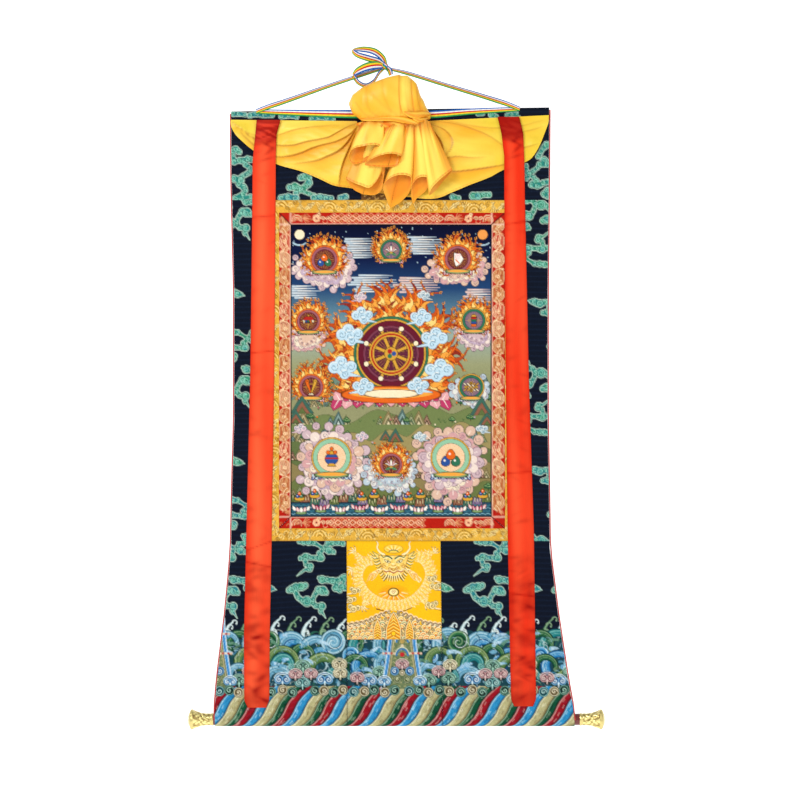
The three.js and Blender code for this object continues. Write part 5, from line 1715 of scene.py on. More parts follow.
def scroll_cloud(canvas, x, z, size, way, code):
    """A cloud of five curls with a tail"""
    puffs = [(0, 0, 1), (1.25, 0.2, 0.85), (-1.1, 0.3, 0.8), (0.3, 0.95, 0.85), (-0.2, -0.75, 0.7)]
    body = union([lobes([(x + way * a * size, z + b * size, r * size) for a, b, r in puffs]),
                  line([(x, z - 0.6 * size), (x - way * 2.6 * size, z - 1.1 * size)], size * 0.8, 0.8)])
    outlined(canvas, body, code, rim="26384e", edge=0.8)
    for a, b, r in puffs:
        px, pz = x + way * a * size, z + b * size
        canvas.draw(line(spiral(px, pz, r * size * 0.72, 40, 1.1, way, 10), 1.1), "4f7890")
        canvas.draw(line(arc(px, pz, r * size * 0.85, 60, 170, 6), 1.1), PIGMENT["white"])


def medallion(canvas, x, z, size, sign, rings, clouds, seed, fiery):
    """A lucky sign in a halo, on a lotus, among clouds or flames"""
    if fiery:
        tongues(canvas, x, z + 4, size * 1.0, size * 0.62, 17, seed)
    else:
        billows(canvas, x, z - size * 0.15, size * 1.35, size * 1.05, 13, clouds, seed)
    halo(canvas, x, z + size * 0.1, size * 0.98, rings)
    seat = ("rose", "pink") if fiery else ("blue", "sky")
    lotus_seat(canvas, x, z - size * 0.84, size * 0.86, seat, "leaf")
    sign(canvas, x, z + size * 0.1, size * 0.5)


# Where things lie on the painted field, each across and up from its middle
# Streaks of cloud in the sky: then how wide and how many rows
DRIFTS = [(-70, 296, 40, 9), (76, 300, 44, 8), (-40, 214, 52, 8), (62, 208, 50, 7), (-196, 190, 34, 6),
          (200, 182, 34, 6)]
DRIFT_COLOURS = ("e6dcc4", "b9c8d0", "d8b8ae")
SOFT = ("c9aeb2", "e6d3c6", "bda6b8")
COLD = ("b4c4cc", "dcdcd2", "a2bab8")
BLUSH = ("d8b49c", "cf9c9a", "e8d8bc")
# Banks of cloud: then how wide, how tall and their colours
BANKS = [(-150, 232, 70, 44, SOFT), (150, 236, 66, 42, BLUSH), (-190, 84, 46, 40, BLUSH),
         (190, 92, 46, 38, SOFT),
         (-134, -206, 74, 76, SOFT), (134, -206, 74, 76, BLUSH), (0, -226, 56, 46, COLD)]
WHEEL_HALO = ((1, "green"), (0.93, "gold"), (0.88, "wine"), (0.74, "7a3a4c"), (0.68, "5c2138"))
WARM_HALO = ((1, "gold"), (0.92, "8fbf9c"), (0.7, "f0c8a0"))
COOL_HALO = ((1, "gold"), (0.9, "green"), (0.7, "6d5a78"))
ROSY_HALO = ((1, "orange"), (0.88, "9c5a62"), (0.7, "wine"))
# Curled clouds about the wheel: then size and way; and small ones further out
WHEEL_CLOUDS = [(-92, 78, 15, -1), (96, 70, 15, 1), (-108, 4, 16, -1), (106, -2, 16, 1), (-64, 122, 12, -1),
                (66, 118, 12, 1), (-64, -38, 12, 1), (62, -36, 12, -1)]
FAR_CLOUDS = [(-205, -132), (205, -132), (-66, -150), (66, -150), (-70, 164), (74, 168)]
# Medallions: then size, sign, halo, clouds, and whether they stand in flames
MEDALLIONS = [
    (-150, 246, 33, jewels, ROSY_HALO, SOFT, True), (0, 268, 27, blossom, COOL_HALO, BLUSH, True),
    (150, 248, 33, shell, ROSY_HALO, COLD, True), (-186, 108, 29, parasol, ROSY_HALO, COLD, True),
    (186, 110, 29, banner, COOL_HALO, SOFT, True), (-180, -40, 30, fishes, ROSY_HALO, BLUSH, True),
    (180, -40, 30, endless_knot, COOL_HALO, COLD, False), (-134, -200, 46, vase, WARM_HALO, BLUSH, False),
    (134, -200, 46, jewels, WARM_HALO, SOFT, False), (0, -214, 28, blossom, ROSY_HALO, COLD, True),
]
# Pointed rocks before the hills: then how wide and how tall
PEAKS = [(-200, -96, 26, 40), (-214, -118, 20, 30), (204, -100, 26, 42), (216, -122, 20, 28),
         (-12, -156, 14, 22),
         (10, -160, 18, 30)]


def painted_field():
    box = CANVAS_BOX
    x, z = level_grid(lambda at: box["left"] + 0 * at, lambda at: box["right"] + 0 * at,
                      steps_between(box["top"], box["bottom"], PAINTING_PITCH), PAINTING_PITCH)
    canvas = Canvas(x, z, SKY[0][1], PAINTING_PITCH * 0.8, 0.1)
    share = (box["top"] - z) / (box["top"] - box["bottom"])
    stops = [stop for stop, _ in SKY]
    for channel in range(3):
        canvas.colour[..., channel] = np.interp(share, stops, [paint(code)[channel] for _, code in SKY])
    middle, centre = (box["left"] + box["right"]) / 2, (box["top"] + box["bottom"]) / 2
    rng = np.random.default_rng(21)
    for px, pz in zip(rng.uniform(box["left"], box["right"], 60),
                      rng.uniform(box["top"] - 90, box["top"], 60)):
        canvas.draw(disc(px, pz, rng.uniform(0.8, 1.4)), PIGMENT["sky"])
    hills(canvas, box, 22)
    for across, up, wide, rows in DRIFTS:
        drift(canvas, middle + across, centre + up, wide, rows, DRIFT_COLOURS[abs(across) % 3])
    for way, colour in ((-1, "cream"), (1, "e8964a")):
        outlined(canvas, disc(middle + way * 206, centre + 306, 11), colour)
        wisp = arc(middle + way * 206, centre + 290, 15, 200, 340, 9, 0.5)
        canvas.draw(line(wisp, 4.0, 2.4), PIGMENT["sky"])
    lake(canvas, box)
    for across, up, wide, tall, kind in BANKS:
        billows(canvas, middle + across, centre + up, wide, tall, 19, kind, 500 + across)
    tongues(canvas, middle, centre + 30, 112, 54, 34, 24, 1.06, -42, 222)
    tongues(canvas, middle, centre + 30, 84, 34, 27, 25, 1.04, -50, 230)
    halo(canvas, middle, centre + 38, 84, WHEEL_HALO)
    lotus_seat(canvas, middle, centre - 66, 118, ("rose", "pink"), "orange")
    outlined(canvas, oval(middle, centre - 52, 60, 9), "cream")
    for across, up, size, way in WHEEL_CLOUDS:
        scroll_cloud(canvas, middle + across, centre + up, size, way, "bcd6e2")
    wheel(canvas, middle, centre + 38, 52)
    for i, (across, up, size, sign, rings, clouds, fiery) in enumerate(MEDALLIONS):
        medallion(canvas, middle + across, centre + up, size, sign, rings, clouds, 30 + i, fiery)
    for i, (across, up) in enumerate(FAR_CLOUDS):
        scroll_cloud(canvas, middle + across, centre + up, 7, (-1) ** i, ("dcbcc0", "c8d4d4")[i % 2])
    for i, across in enumerate((-206, -172, -66, -38, 38, 66, 172, 206)):
        outlined(canvas, oval(middle + across, centre - 288 + 6 * (i % 2), 11, 5), "gold")
        jewels(canvas, middle + across, centre - 279 + 6 * (i % 2), 8.5)
    for across, up, wide, tall in PEAKS:
        peak(canvas, middle + across, centre + up, wide, tall, ("3d6456", "8a5a44", "5c6a3c"))
    edge = np.minimum.reduce([x - box["left"], box["right"] - x, box["top"] - z, z - box["bottom"]])
    canvas.shade(np.clip(1.7 - edge / 2.2, 0, 1) * 0.9, "15110f")
    canvas.mottle(9, 0.035)
    return cloth("painted_field", canvas, hung, "painting", "c8bea8")


# Long satin ribbons, a row for each height where an edge turns: height, left and right edge
RIBBONS = {
    "left": np.array([
        (-119, -285, -231), (-152, -288, -240), (-210, -294, -242), (-700, -300, -246),
        (-1040, -308, -251), (-1290, -314, -256), (-1424, -313, -257), (-1440, -305, -264),
    ], float),
    "right": np.array([
        (-112, 256, 305), (-150, 265, 314), (-200, 271, 316), (-700, 275, 327),
        (-1040, 279, 338), (-1290, 284, 341), (-1421, 287, 343), (-1437, 294, 336),
    ], float),
}
VEIL_TOP = np.array([(-344, -118), (-52, -121), (90, -121), (372, -107.5)])
VEIL_HEM = np.array([
    (-344, -118), (-343, -131), (-333, -151), (-316, -168), (-293, -187), (-242, -217), (-183, -235),
                     (-149, -249),
    (-111, -266), (-79, -271), (19, -287), (116, -295), (157, -280), (195, -264), (239, -247), (269, -231),
    (318, -214), (334, -203), (350, -178), (362, -149), (371, -123), (372, -107.5),
], float)
SATIN_RED = "e42c0e"
SATIN_SHADE = "940400"
SATIN_LIGHT = "ff6238"
# How many points down and across a ribbon, how many rucks it has, and how many wrinkles are painted on it
# as shade
RIBBON_GRID = (380, 15)
HEAD_RUCKS = 16
FOOT_RUCKS = 22
RIBBON_WRINKLE_SHADES = 90
# How light each ribbon is painted, how many patches of painted shade it has low down, and how strong its
# painted highlights are
RIBBON_LOOK = {"left": {"light": 0.2, "shade_blots": 26, "shine": 0.65},
               "right": {"light": -0.15, "shade_blots": 40, "shine": 0.2}}
# Wrinkles painted as shade below its head: how far down, share across, tilt, width
HEAD_WRINKLE_SHADES = [(42, 0.8, 0.9, 5), (58, 0.65, -0.5, 4), (70, 0.7, 0.8, 5), (88, 0.62, 0.3, 3.5)]
# Creases across a ribbon: height and tilt
RIBBON_CREASES = {"left": ((-1076, 0.35), (-1118, -0.2), (-640, 0.1), (-335, 0.08)),
                  "right": ((-911, 0.06), (-1186, -0.12), (-350, 0.1))}


def ribbon_depth(x, z):
    """How far a ribbon stands off its plane: over the veil, and in small ripples"""
    hem = np.interp(x, VEIL_HEM[1:-1, 0], VEIL_HEM[1:-1, 1])
    over = smoothstep(z - (hem - 70), 0, 58)
    ripple = 0.8 * (1 - np.cos((z + 1040) / 11)) * bell(z + 1250, 90)
    return over * (LAYER_GAP + VEIL + 4.2) + ripple


def ribbon(side, seed):
    """A satin ribbon: tight rucks at its head, loose ones near its foot, creases, soft wrinkles painted as
    shade, and painted sheen
    """
    table = RIBBONS[side]
    head, foot = table[0, 0], table[-1, 0]
    share = np.linspace(0, 1, RIBBON_GRID[1])[None, :]
    z = np.linspace(head, foot, RIBBON_GRID[0])[:, None]
    left = np.interp(-z, -table[:, 0], table[:, 1])
    right = np.interp(-z, -table[:, 0], table[:, 2])
    x = left + (right - left) * share
    base = RIBBON_PLANE + sway(x, z) - ribbon_depth((left + right) / 2, z)
    rng = np.random.default_rng(seed)

    def fold(at_z, at_x, tilt, wide, reach):
        """A slanting fold of half the ribbon's width or so about a place"""
        return bell(z - (at_z + tilt * (share - at_x) * 50), wide), bell(share - at_x, reach)

    rucks = np.zeros_like(x)
    for _ in range(HEAD_RUCKS):
        at_z, at_x = head - rng.uniform(8, 54), rng.uniform(-0.1, 1.1)
        tilt, wide = rng.uniform(-0.5, 0.5), rng.uniform(2.2, 4.5)
        down, across = fold(at_z, at_x, tilt, wide, 0.45)
        rucks += rng.uniform(0.5, 1.3) * down * across
    for _ in range(FOOT_RUCKS):
        at_z, at_x = rng.uniform(-1320, -1130), rng.uniform(0, 1)
        rucks += rng.uniform(0.15, 0.5) * bell(z - at_z - 14 * share, 7) * bell(share - at_x, 0.3)
    bow = 0.7 * np.sin(math.pi * share) * (0.5 + 0.5 * np.sin(z / 61 + seed))
    crease = np.zeros_like(x)
    for level, tilt in RIBBON_CREASES[side]:
        crease += np.exp(-np.abs(z - level - tilt * 60 * (share - 0.5)) / 1.6)
    y = base - np.clip(rucks, 0, 1.5) - bow + 0.4 * crease
    middle = np.stack([x, y, z + 0 * x], axis=-1)
    colour = np.empty(x.shape + (4,))
    # Painted light: lighter towards the middle and in streaks of painted sheen, less so in the creases
    streaks = 0.5 + 0.5 * np.sin(9 * share + seed + 0.7 * np.sin(z / 140))
    look = RIBBON_LOOK[side]
    light = look["light"] + 0.35 * np.sin(math.pi * share) + 0.3 * streaks
    light = light + 0.12 * np.sin(z / 83 + 2 * share) - 0.3 * crease
    colour[..., :3] = paint(SATIN_RED)
    tint(colour, SATIN_LIGHT, light)
    # Painted shade of soft wrinkles and crumpled patches, which the mesh itself doesn't have
    wrinkle_shade = np.zeros_like(x)
    for _ in range(look["shade_blots"]):
        at_z, at_x = rng.uniform(-1425, -1120), rng.uniform(0, 1)
        shade_blot = ((z - at_z) / rng.uniform(6, 16)) ** 2 + ((share - at_x) / rng.uniform(0.12, 0.3)) ** 2
        wrinkle_shade += rng.uniform(0.05, 0.24) * np.exp(-shade_blot)
    for _ in range(RIBBON_WRINKLE_SHADES):
        low_part = rng.uniform() < 0.55
        at_z = rng.uniform(-1430, -1100) if low_part else rng.uniform(-1100, -150)
        at_x, tilt = rng.uniform(0, 1), rng.uniform(-0.7, 0.7)
        strength = rng.uniform(0.1, 0.4) if low_part else rng.uniform(0.06, 0.24)
        down, across = fold(at_z, at_x, tilt, rng.uniform(3, 9), 0.22)
        wrinkle_shade += strength * down * across
    for below, at_x, tilt, wide in HEAD_WRINKLE_SHADES:
        down, across = fold(head - below, at_x, tilt, wide, 0.28)
        wrinkle_shade += 0.5 * down * across
    # Painted shade over the rucked head and in the creases, rucks and wrinkles, and darker towards the
    # foot; then painted highlights on the rucks of the head
    top_part = smoothstep(z, head - 62, head - 34)
    shine = np.clip(rucks - 0.35, 0, 1) * top_part
    foot_part = smoothstep(-z, -foot - 46, -foot - 8)
    tint(colour, SATIN_SHADE, top_part * 0.85 + foot_part * 0.42 + 0.35 * crease
         + 0.25 * np.clip(rucks, 0, 1) + wrinkle_shade)
    tint(colour, "f0452c", look["shine"] * shine)
    # Painted shade along both edges of the ribbon
    hem = np.minimum(share, 1 - share)
    colour[..., :3] *= (1 - 0.14 * np.exp(-hem / 0.14) - 0.14 * np.exp(-hem / 0.03))[..., None]
    colour[..., 3] = 0.3
    made = sheet_mesh(f"ribbon_silk_{side}", [(middle, colour)], SILK)
    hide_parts(f"ribbon_{side}")
    return made


# The veil: a swag, a puff with its bands, and six flutes of yellow silk, drawn together at one bunch
VEIL_GOLD = "f4b226"
VEIL_LIGHT = "ffe060"
VEIL_SHADE = "e2760a"
VEIL_LEMON = "e6c92e"
STITCH = "e06618"
# Dark orange of the painted shade along creases
CREASE_SHADE = "8a4c08"
HEARTS = {"left": (-52.0, -121.0), "right": (90.0, -121.0)}
HEART_RADIUS = 8.0
# Tucks of the swag, each a line of cloth that laps over what is below it: height, reach, then its places
TUCKS = [
    (6.5, 24, [(-330, -136), (-294, -172), (-242, -200), (-213, -199), (-186, -192), (-163, -182),
               (-141, -175),
               (-105, -166), (-75, -150), (-60, -134)]),
    (7.5, 22, [(-196, -216), (-150, -209), (-127, -200), (-105, -190), (-89, -177), (-75, -159),
               (-62, -138)]),
    (4.5, 20, [(-338, -124), (-318, -140), (-294, -158), (-242, -174), (-204, -175), (-177, -168),
               (-123, -157),
               (-105, -147), (-75, -131), (-58, -126)]),
    (2.5, 16, [(-262, -160), (-231, -150), (-195, -139), (-141, -132), (-100, -130)]),
    (5.5, 18, [(-101, -266), (-97, -236), (-90, -212), (-77, -181), (-64, -150)]),
    (2.0, 10, [(-340, -126), (-322, -139), (-300, -149), (-270, -156)]),
    (1.8, 8, [(-336, -137), (-322, -153), (-304, -170), (-288, -184)]),
    (3.0, 26, [(112, -120), (150, -124), (187, -133), (236, -153), (268, -174), (300, -192)]),
    (2.0, 14, [(140, -118), (206, -132), (253, -136), (310, -131), (360, -118)]),
    (2.2, 12, [(300, -146), (330, -141), (358, -132)]),
    (2.6, 16, [(300, -182), (325, -178), (346, -172)]),
    (2.8, 16, [(122, -196), (140, -203), (165, -200), (200, -203), (230, -201)]),
    (5.0, 26, [(130, -214), (150, -232), (187, -231), (225, -226), (268, -219), (300, -212)]),
    (3.4, 14, [(100, -130), (118, -150), (131, -170), (134, -190), (128, -208)]),
    (3.0, 16, [(104, -126), (140, -142), (156, -166), (150, -188), (138, -199)]),
]
PUFF = np.array([
    (-77, -80, -88, 6), (-69, -64, -107, 15), (-47, -48, -126, 22), (-24, -38, -127, 25),
                 (9, -26, -124, 26),
    (35, -20, -132, 25), (40, -22, -133, 23), (53, -22, -136, 23), (63, -29, -134, 20), (73, -37, -131, 19),
    (85, -68, -125, 15), (98, -92, -121, 10), (105, -109, -118, 6),
], float)
PUFF_BACK = -11.2
PUFF_OPENING = (-55, 262)
# Creases of the puff: how deep, how wide, then places down it
PUFF_CREASES = [
    (1.0, 1.6, [(35, -18), (35, -60), (37, -90), (42, -108)]),
                (0.9, 2.0, [(61, -22), (64, -66), (68, -104)]),
    (0.35, 3.5, [(50, -20), (51, -70), (56, -104)]), (0.6, 1.8, [(74, -40), (76, -70), (84, -104)]),
    (0.5, 2.2, [(84, -66), (82, -84), (90, -106)]),
                (0.4, 3.0, [(-36, -42), (-38, -78), (-29, -104), (-8, -119)]),
    (0.3, 4.0, [(-4, -30), (2, -70), (16, -104)]), (0.35, 3.0, [(-62, -84), (-40, -112), (-10, -122)]),
    (0.25, 4.0, [(-30, -60), (0, -92), (30, -112)]),
]
# Rolled folds across the foot of the puff: across, depth, up, radius
BANDS = [
    [(-50, -42, -121, 1.5), (-40, -46, -122, 3), (-10, -50, -121.5, 4), (20, -52, -121, 5),
     (45, -54, -124.5, 6.4),
     (62, -53, -128, 5.6), (74, -49, -130, 3), (80, -44, -129, 1.5)],
    [(42, -50, -103, 1.5), (50, -54, -108, 3.5), (62, -56, -113, 6), (75, -53, -113.5, 7),
     (89, -44, -110, 6.5),
     (99, -34, -108, 4.5), (105, -26, -107, 2)],
    [(64, -50, -117, 2), (72, -54, -122, 4), (80, -50, -124, 4.6), (90, -42, -121, 4), (100, -32, -117, 2)],
]
# Each flute: its throat's place, height and half width, its nearest and furthest depth, and its rim
# from the back and round by the left: across, up, and how far forward
FLUTES = [
    {"throat": (-8, -135, 18), "depth": (-21, -39), "rim": [
        (-46, -285, 0), (-67, -274, 0.15), (-85, -250, 0.5), (-69, -258, 0.85), (-50, -265, 1),
                                                            (-33, -270, 1),
        (-17, -256, 0.9), (-4, -237, 0.5), (-3, -272, 0.2), (-19, -286, 0)]},
    {"throat": (92, -124, 11), "depth": (-20, -40), "rim": [
        (132, -258, 0), (118, -276, 0.1), (103, -287, 0.4), (108, -272, 0.8), (122, -256, 1),
                                                            (138, -242, 0.8),
        (155, -230, 0.5), (146, -243, 0.1)]},
    {"throat": (62, -130, 8), "depth": (-18, -40), "rim": [
        (15, -316, 0), (7, -296, 0.15), (-1, -267, 0.5), (12, -250, 0.9), (35, -241, 1), (60, -245, 0.9),
        (63, -258, 0.5), (57, -282, 0.15), (36, -304, 0)]},
    {"throat": (76, -127, 7), "depth": (-17, -37), "rim": [
        (67, -307, 0), (62, -287, 0.15), (65, -263, 0.5), (78, -248, 0.9), (92, -245, 1), (105, -252, 0.6),
        (103, -264, 0.3), (93, -279, 0.1), (76, -293, 0)]},
    {"throat": (-20, -126, 27), "depth": (-42, -58), "rim": [
        (-48, -214, 0), (-69, -216, 0.15), (-78, -204, 0.5), (-71, -184, 0.9), (-46, -176, 1),
                                                             (-19, -173, 1),
        (-3, -182, 0.5), (-10, -195, 0.15), (-29, -206, 0)]},
    {"throat": (35, -128, 19), "depth": (-43, -60), "rim": [
        (10, -224, 0), (-15, -223, 0.1), (-42, -218, 0.5), (-25, -204, 0.9), (-4, -196, 1), (18, -193, 1),
        (40, -199, 0.5), (38, -208, 0.2), (29, -220, 0)]},
]
THROAT_DEPTH = (-30.0, -44.0)
FLUTE_GAP = 0.002
CAMERA_AWAY = 5000.0
SIGHT = (37.1, -748.1)
BUNCH = {"x": 18, "y": -27, "z": -131, "wide": 80, "deep": 18.5, "tall": 11}


def line_distance(x, z, points):
    """How far each place is above a line, or below it where less than zero, and the share along the line"""
    points = np.asarray(points, float)
    best = np.full(np.shape(x), FAR)
    above = np.zeros(np.shape(x))
    along = np.zeros(np.shape(x))
    for i in range(len(points) - 1):
        (ax, az), (bx, bz) = points[i], points[i + 1]
        away, share = segment_distance(x, z, points[i], points[i + 1])
        side = np.sign((bx - ax) * (z - az) - (bz - az) * (x - ax))
        nearer = away < best
        best = np.where(nearer, away, best)
        above = np.where(nearer, side, above)
        along = np.where(nearer, (i + share) / (len(points) - 1), along)
    return best * above, along


def swag_folds(x, z):
    """The swag's tucks: how far its cloth stands out, how deep in shadow it lies, and its creases"""
    out, shadow, creases = np.zeros_like(x), np.zeros_like(x), np.zeros_like(x)
    for height, reach, places in TUCKS:
        away, along = line_distance(x, z, curve_through(places, 4 * len(places)))
        strong = np.sin(math.pi * np.clip(along * 0.9 + 0.08, 0, 1)) ** 0.6
        lap = smoothstep(away, -2.2, 1.2) * np.exp(-np.maximum(away, 0) / reach)
        out += height * strong * lap
        weight = min(height / 5, 1) * strong
        below = np.exp(-np.maximum(-away, 0) / 11) * smoothstep(-away, -1.5, 0.5)
        shadow = np.maximum(shadow, weight * below)
        creases = np.maximum(creases, weight * bell(away + 0.6, 1.7))
    return out, shadow, creases


def silk_colours(lit, deep, lemon=0, hem=0):
    """Yellow silk: pale where it catches light, deeper orange as painted shade where folds are deep, and a
    stitched hem
    """
    colour = np.empty(np.broadcast(lit, deep, lemon, hem).shape + (4,))
    colour[..., :3] = paint(VEIL_GOLD)
    for code, share in ((VEIL_LIGHT, lit), (VEIL_LEMON, lemon), (VEIL_SHADE, deep), (STITCH, hem)):
        tint(colour, code, share)
    colour[..., 3] = 0.3
    return colour


def hem_stitches(away, place, wide, low, high):
    """Stitches along a hem, at a distance from its edge, every second and third column brighter"""
    return bell(away - place, wide) * (low + high * (np.arange(away.shape[-1]) % 3 < 1.5))


def swag():
    """The cloth that hangs from the two ends of the bunch to its hem, pressed flat under the ribbons"""
    rows, columns = 56, 300
    edge = even_curve(np.column_stack([VEIL_HEM, np.zeros(len(VEIL_HEM))]),
                      np.linspace(0, 1, columns))[None]
    start_x = np.clip(edge[..., 0], HEARTS["left"][0], HEARTS["right"][0])
    start = np.stack([start_x, np.full_like(start_x, HEARTS["left"][1])], axis=-1)
    way = edge[..., :2] - start
    length = np.linalg.norm(way, axis=-1, keepdims=True)
    start = start + way / length * HEART_RADIUS
    share = np.linspace(0, 1, rows)[:, None, None]
    flat = start + (edge[..., :2] - start) * share
    x, z = flat[..., 0], flat[..., 1]
    tucks, shadow, creases = swag_folds(x, z)
    pressed = np.zeros_like(x)
    for low, high in ((-300, -230), (254, 322)):
        pressed = np.maximum(pressed, smoothstep(x, low - 16, low) * (1 - smoothstep(x, high, high + 16)))
    below_top = np.interp(x, VEIL_TOP[:, 0], VEIL_TOP[:, 1]) - z
    free = smoothstep(below_top, 0, 20)
    broad = 2.4 * np.sin(z / 17 + x / 60) * np.sin(x / 38) + 1.2 * np.sin(z / 7.3 - x / 29)
    fine = 0.35 * np.sin(z / 2.9 + x / 11 + 2 * np.sin(x / 23))
    relief = (tucks + broad + fine) * (1 - 0.94 * pressed)
    depth = np.clip(free * (2.2 + relief), 0.2, 12.5)
    middle = np.stack([x, VEIL_PLANE + sway(x, z) - depth, z], axis=-1)
    stitches = hem_stitches((1 - share[..., 0]) * length[..., 0], 2.0, 1.3, 0.3, 0.5)
    corner = np.exp(-np.minimum(np.abs(x + 344), np.abs(x - 372)) / 110)
    # Painted light and shade: darker near the bunch, in the shadow below each tuck and along its creases,
    # and lighter on the tucks and broad waves
    near = np.exp(-np.minimum(np.hypot(x + 52, z + 121), np.hypot(x - 90, z + 121)) / 60)
    lit = 0.5 + 0.06 * tucks + 0.14 * broad - 0.3 * near - 0.5 * shadow
    patchy = 0.5 + 0.5 * np.sin(x / 31 + 1.3 * np.sin(z / 19)) * np.sin(z / 23 + 1)
    right_side = smoothstep(x, 100, 260)
    lemon = 0.1 + 0.35 * patchy + 0.4 * corner + 0.25 * right_side * (0.4 + 0.6 * patchy)
    colour = silk_colours(lit, 0.55 * shadow + 0.25 * near, lemon, stitches)
    tint(colour, CREASE_SHADE, 0.6 * creases)
    return middle, colour


def puff():
    """The gathered head of the veil, open at its back, with creases that run down into its bands"""
    rows, columns = 66, 124
    x = np.linspace(PUFF[0, 0], PUFF[-1, 0], columns)[None, :]
    ragged = smoothstep(x, 66, 80)
    top = np.interp(x, PUFF[:, 0], PUFF[:, 1]) - VEIL / 2 - 1.6 * ragged * (1 + np.sin(x / 2.1))
    foot = np.interp(x, PUFF[:, 0], PUFF[:, 2]) + VEIL / 2
    depth = np.interp(x, PUFF[:, 0], PUFF[:, 3])
    angle = np.radians(np.linspace(*PUFF_OPENING, rows))[:, None]
    front = np.clip(-np.cos(angle), 0, 1)
    out = np.sin(angle)
    z = (top + foot) / 2 + ((top - foot) / 2) * out
    flat_x = x + 0 * z
    creases = np.zeros_like(z)
    for strength, wide, places in PUFF_CREASES:
        creases += strength * bell(line_distance(flat_x, z, curve_through(places, 16))[0], wide)
    drawn = np.zeros_like(z)
    for k in range(9):
        line_x = 40 + (14 * k - 66) * (0.45 - out) * 0.9
        drawn += 0.4 * bell(x - line_x, 2.4 + 0.5 * k) * smoothstep(-out, 0.45, 0.98)
    soft = np.sin(x / 9 + z / 14) * np.sin(z / 11)
    relief = np.clip(2.2 * creases + 1.2 * drawn - 0.5 * soft, -0.6, 3.2)
    y = PUFF_BACK - depth + (depth - relief * front) * np.cos(angle)
    middle = np.stack([flat_x, y, z], axis=-1)
    # Painted light and shade: a painted highlight down its front, lighter where it faces up, and painted
    # shade in its creases, its drawn folds and on its underside
    bright = bell(x - 50, 11) * smoothstep(out, -0.6, 0)
    lit = 0.18 + 0.22 * np.clip(out, -0.4, 1) * front + 0.1 * np.sin(x / 17) + 0.55 * bright + 0.12 * soft
    deep = 0.6 * np.clip(creases, 0, 1) + 0.4 * drawn + 0.35 * smoothstep(-out, 0.6, 1.0)
    return middle, silk_colours(lit, deep)


def band(places, steps=40, around=16):
    """A rolled fold: a soft tube along a curve, with creases drawn along it"""
    places = np.asarray(places, float)
    share = np.linspace(0, 1, steps)
    centre = smooth_curve(places[:, :3], share)
    radius = smooth_curve(np.column_stack([places[:, 3], 0 * places[:, 3], 0 * places[:, 3]]), share)[:, 0]
    tangent = np.gradient(centre, axis=0)
    tangent /= np.linalg.norm(tangent, axis=1, keepdims=True)
    side = np.cross(tangent, [0, -1, 0])
    side /= np.linalg.norm(side, axis=1, keepdims=True)
    front = np.cross(side, tangent)
    angle = np.linspace(0.03, 2 * math.pi - 0.03, around)[:, None]
    groove = np.sin(3 * angle + 5 * share[None])
    reach = radius[None] * (1 - 0.1 * groove)
    across = reach * np.sin(angle)
    forward = -0.55 * reach * np.cos(angle)
    middle = centre[None] + side[None] * across[..., None] + front[None] * forward[..., None]
    # Painted light round the roll and painted shade in its grooves and towards both ends
    lit = 0.25 + 0.3 * np.sin(3 * angle + 5 * share[None] + 1)
    ends = np.exp(-np.minimum(share, 1 - share) / 0.12)[None]
    return middle, silk_colours(lit, 0.3 - 0.3 * groove + 0.4 * ends)


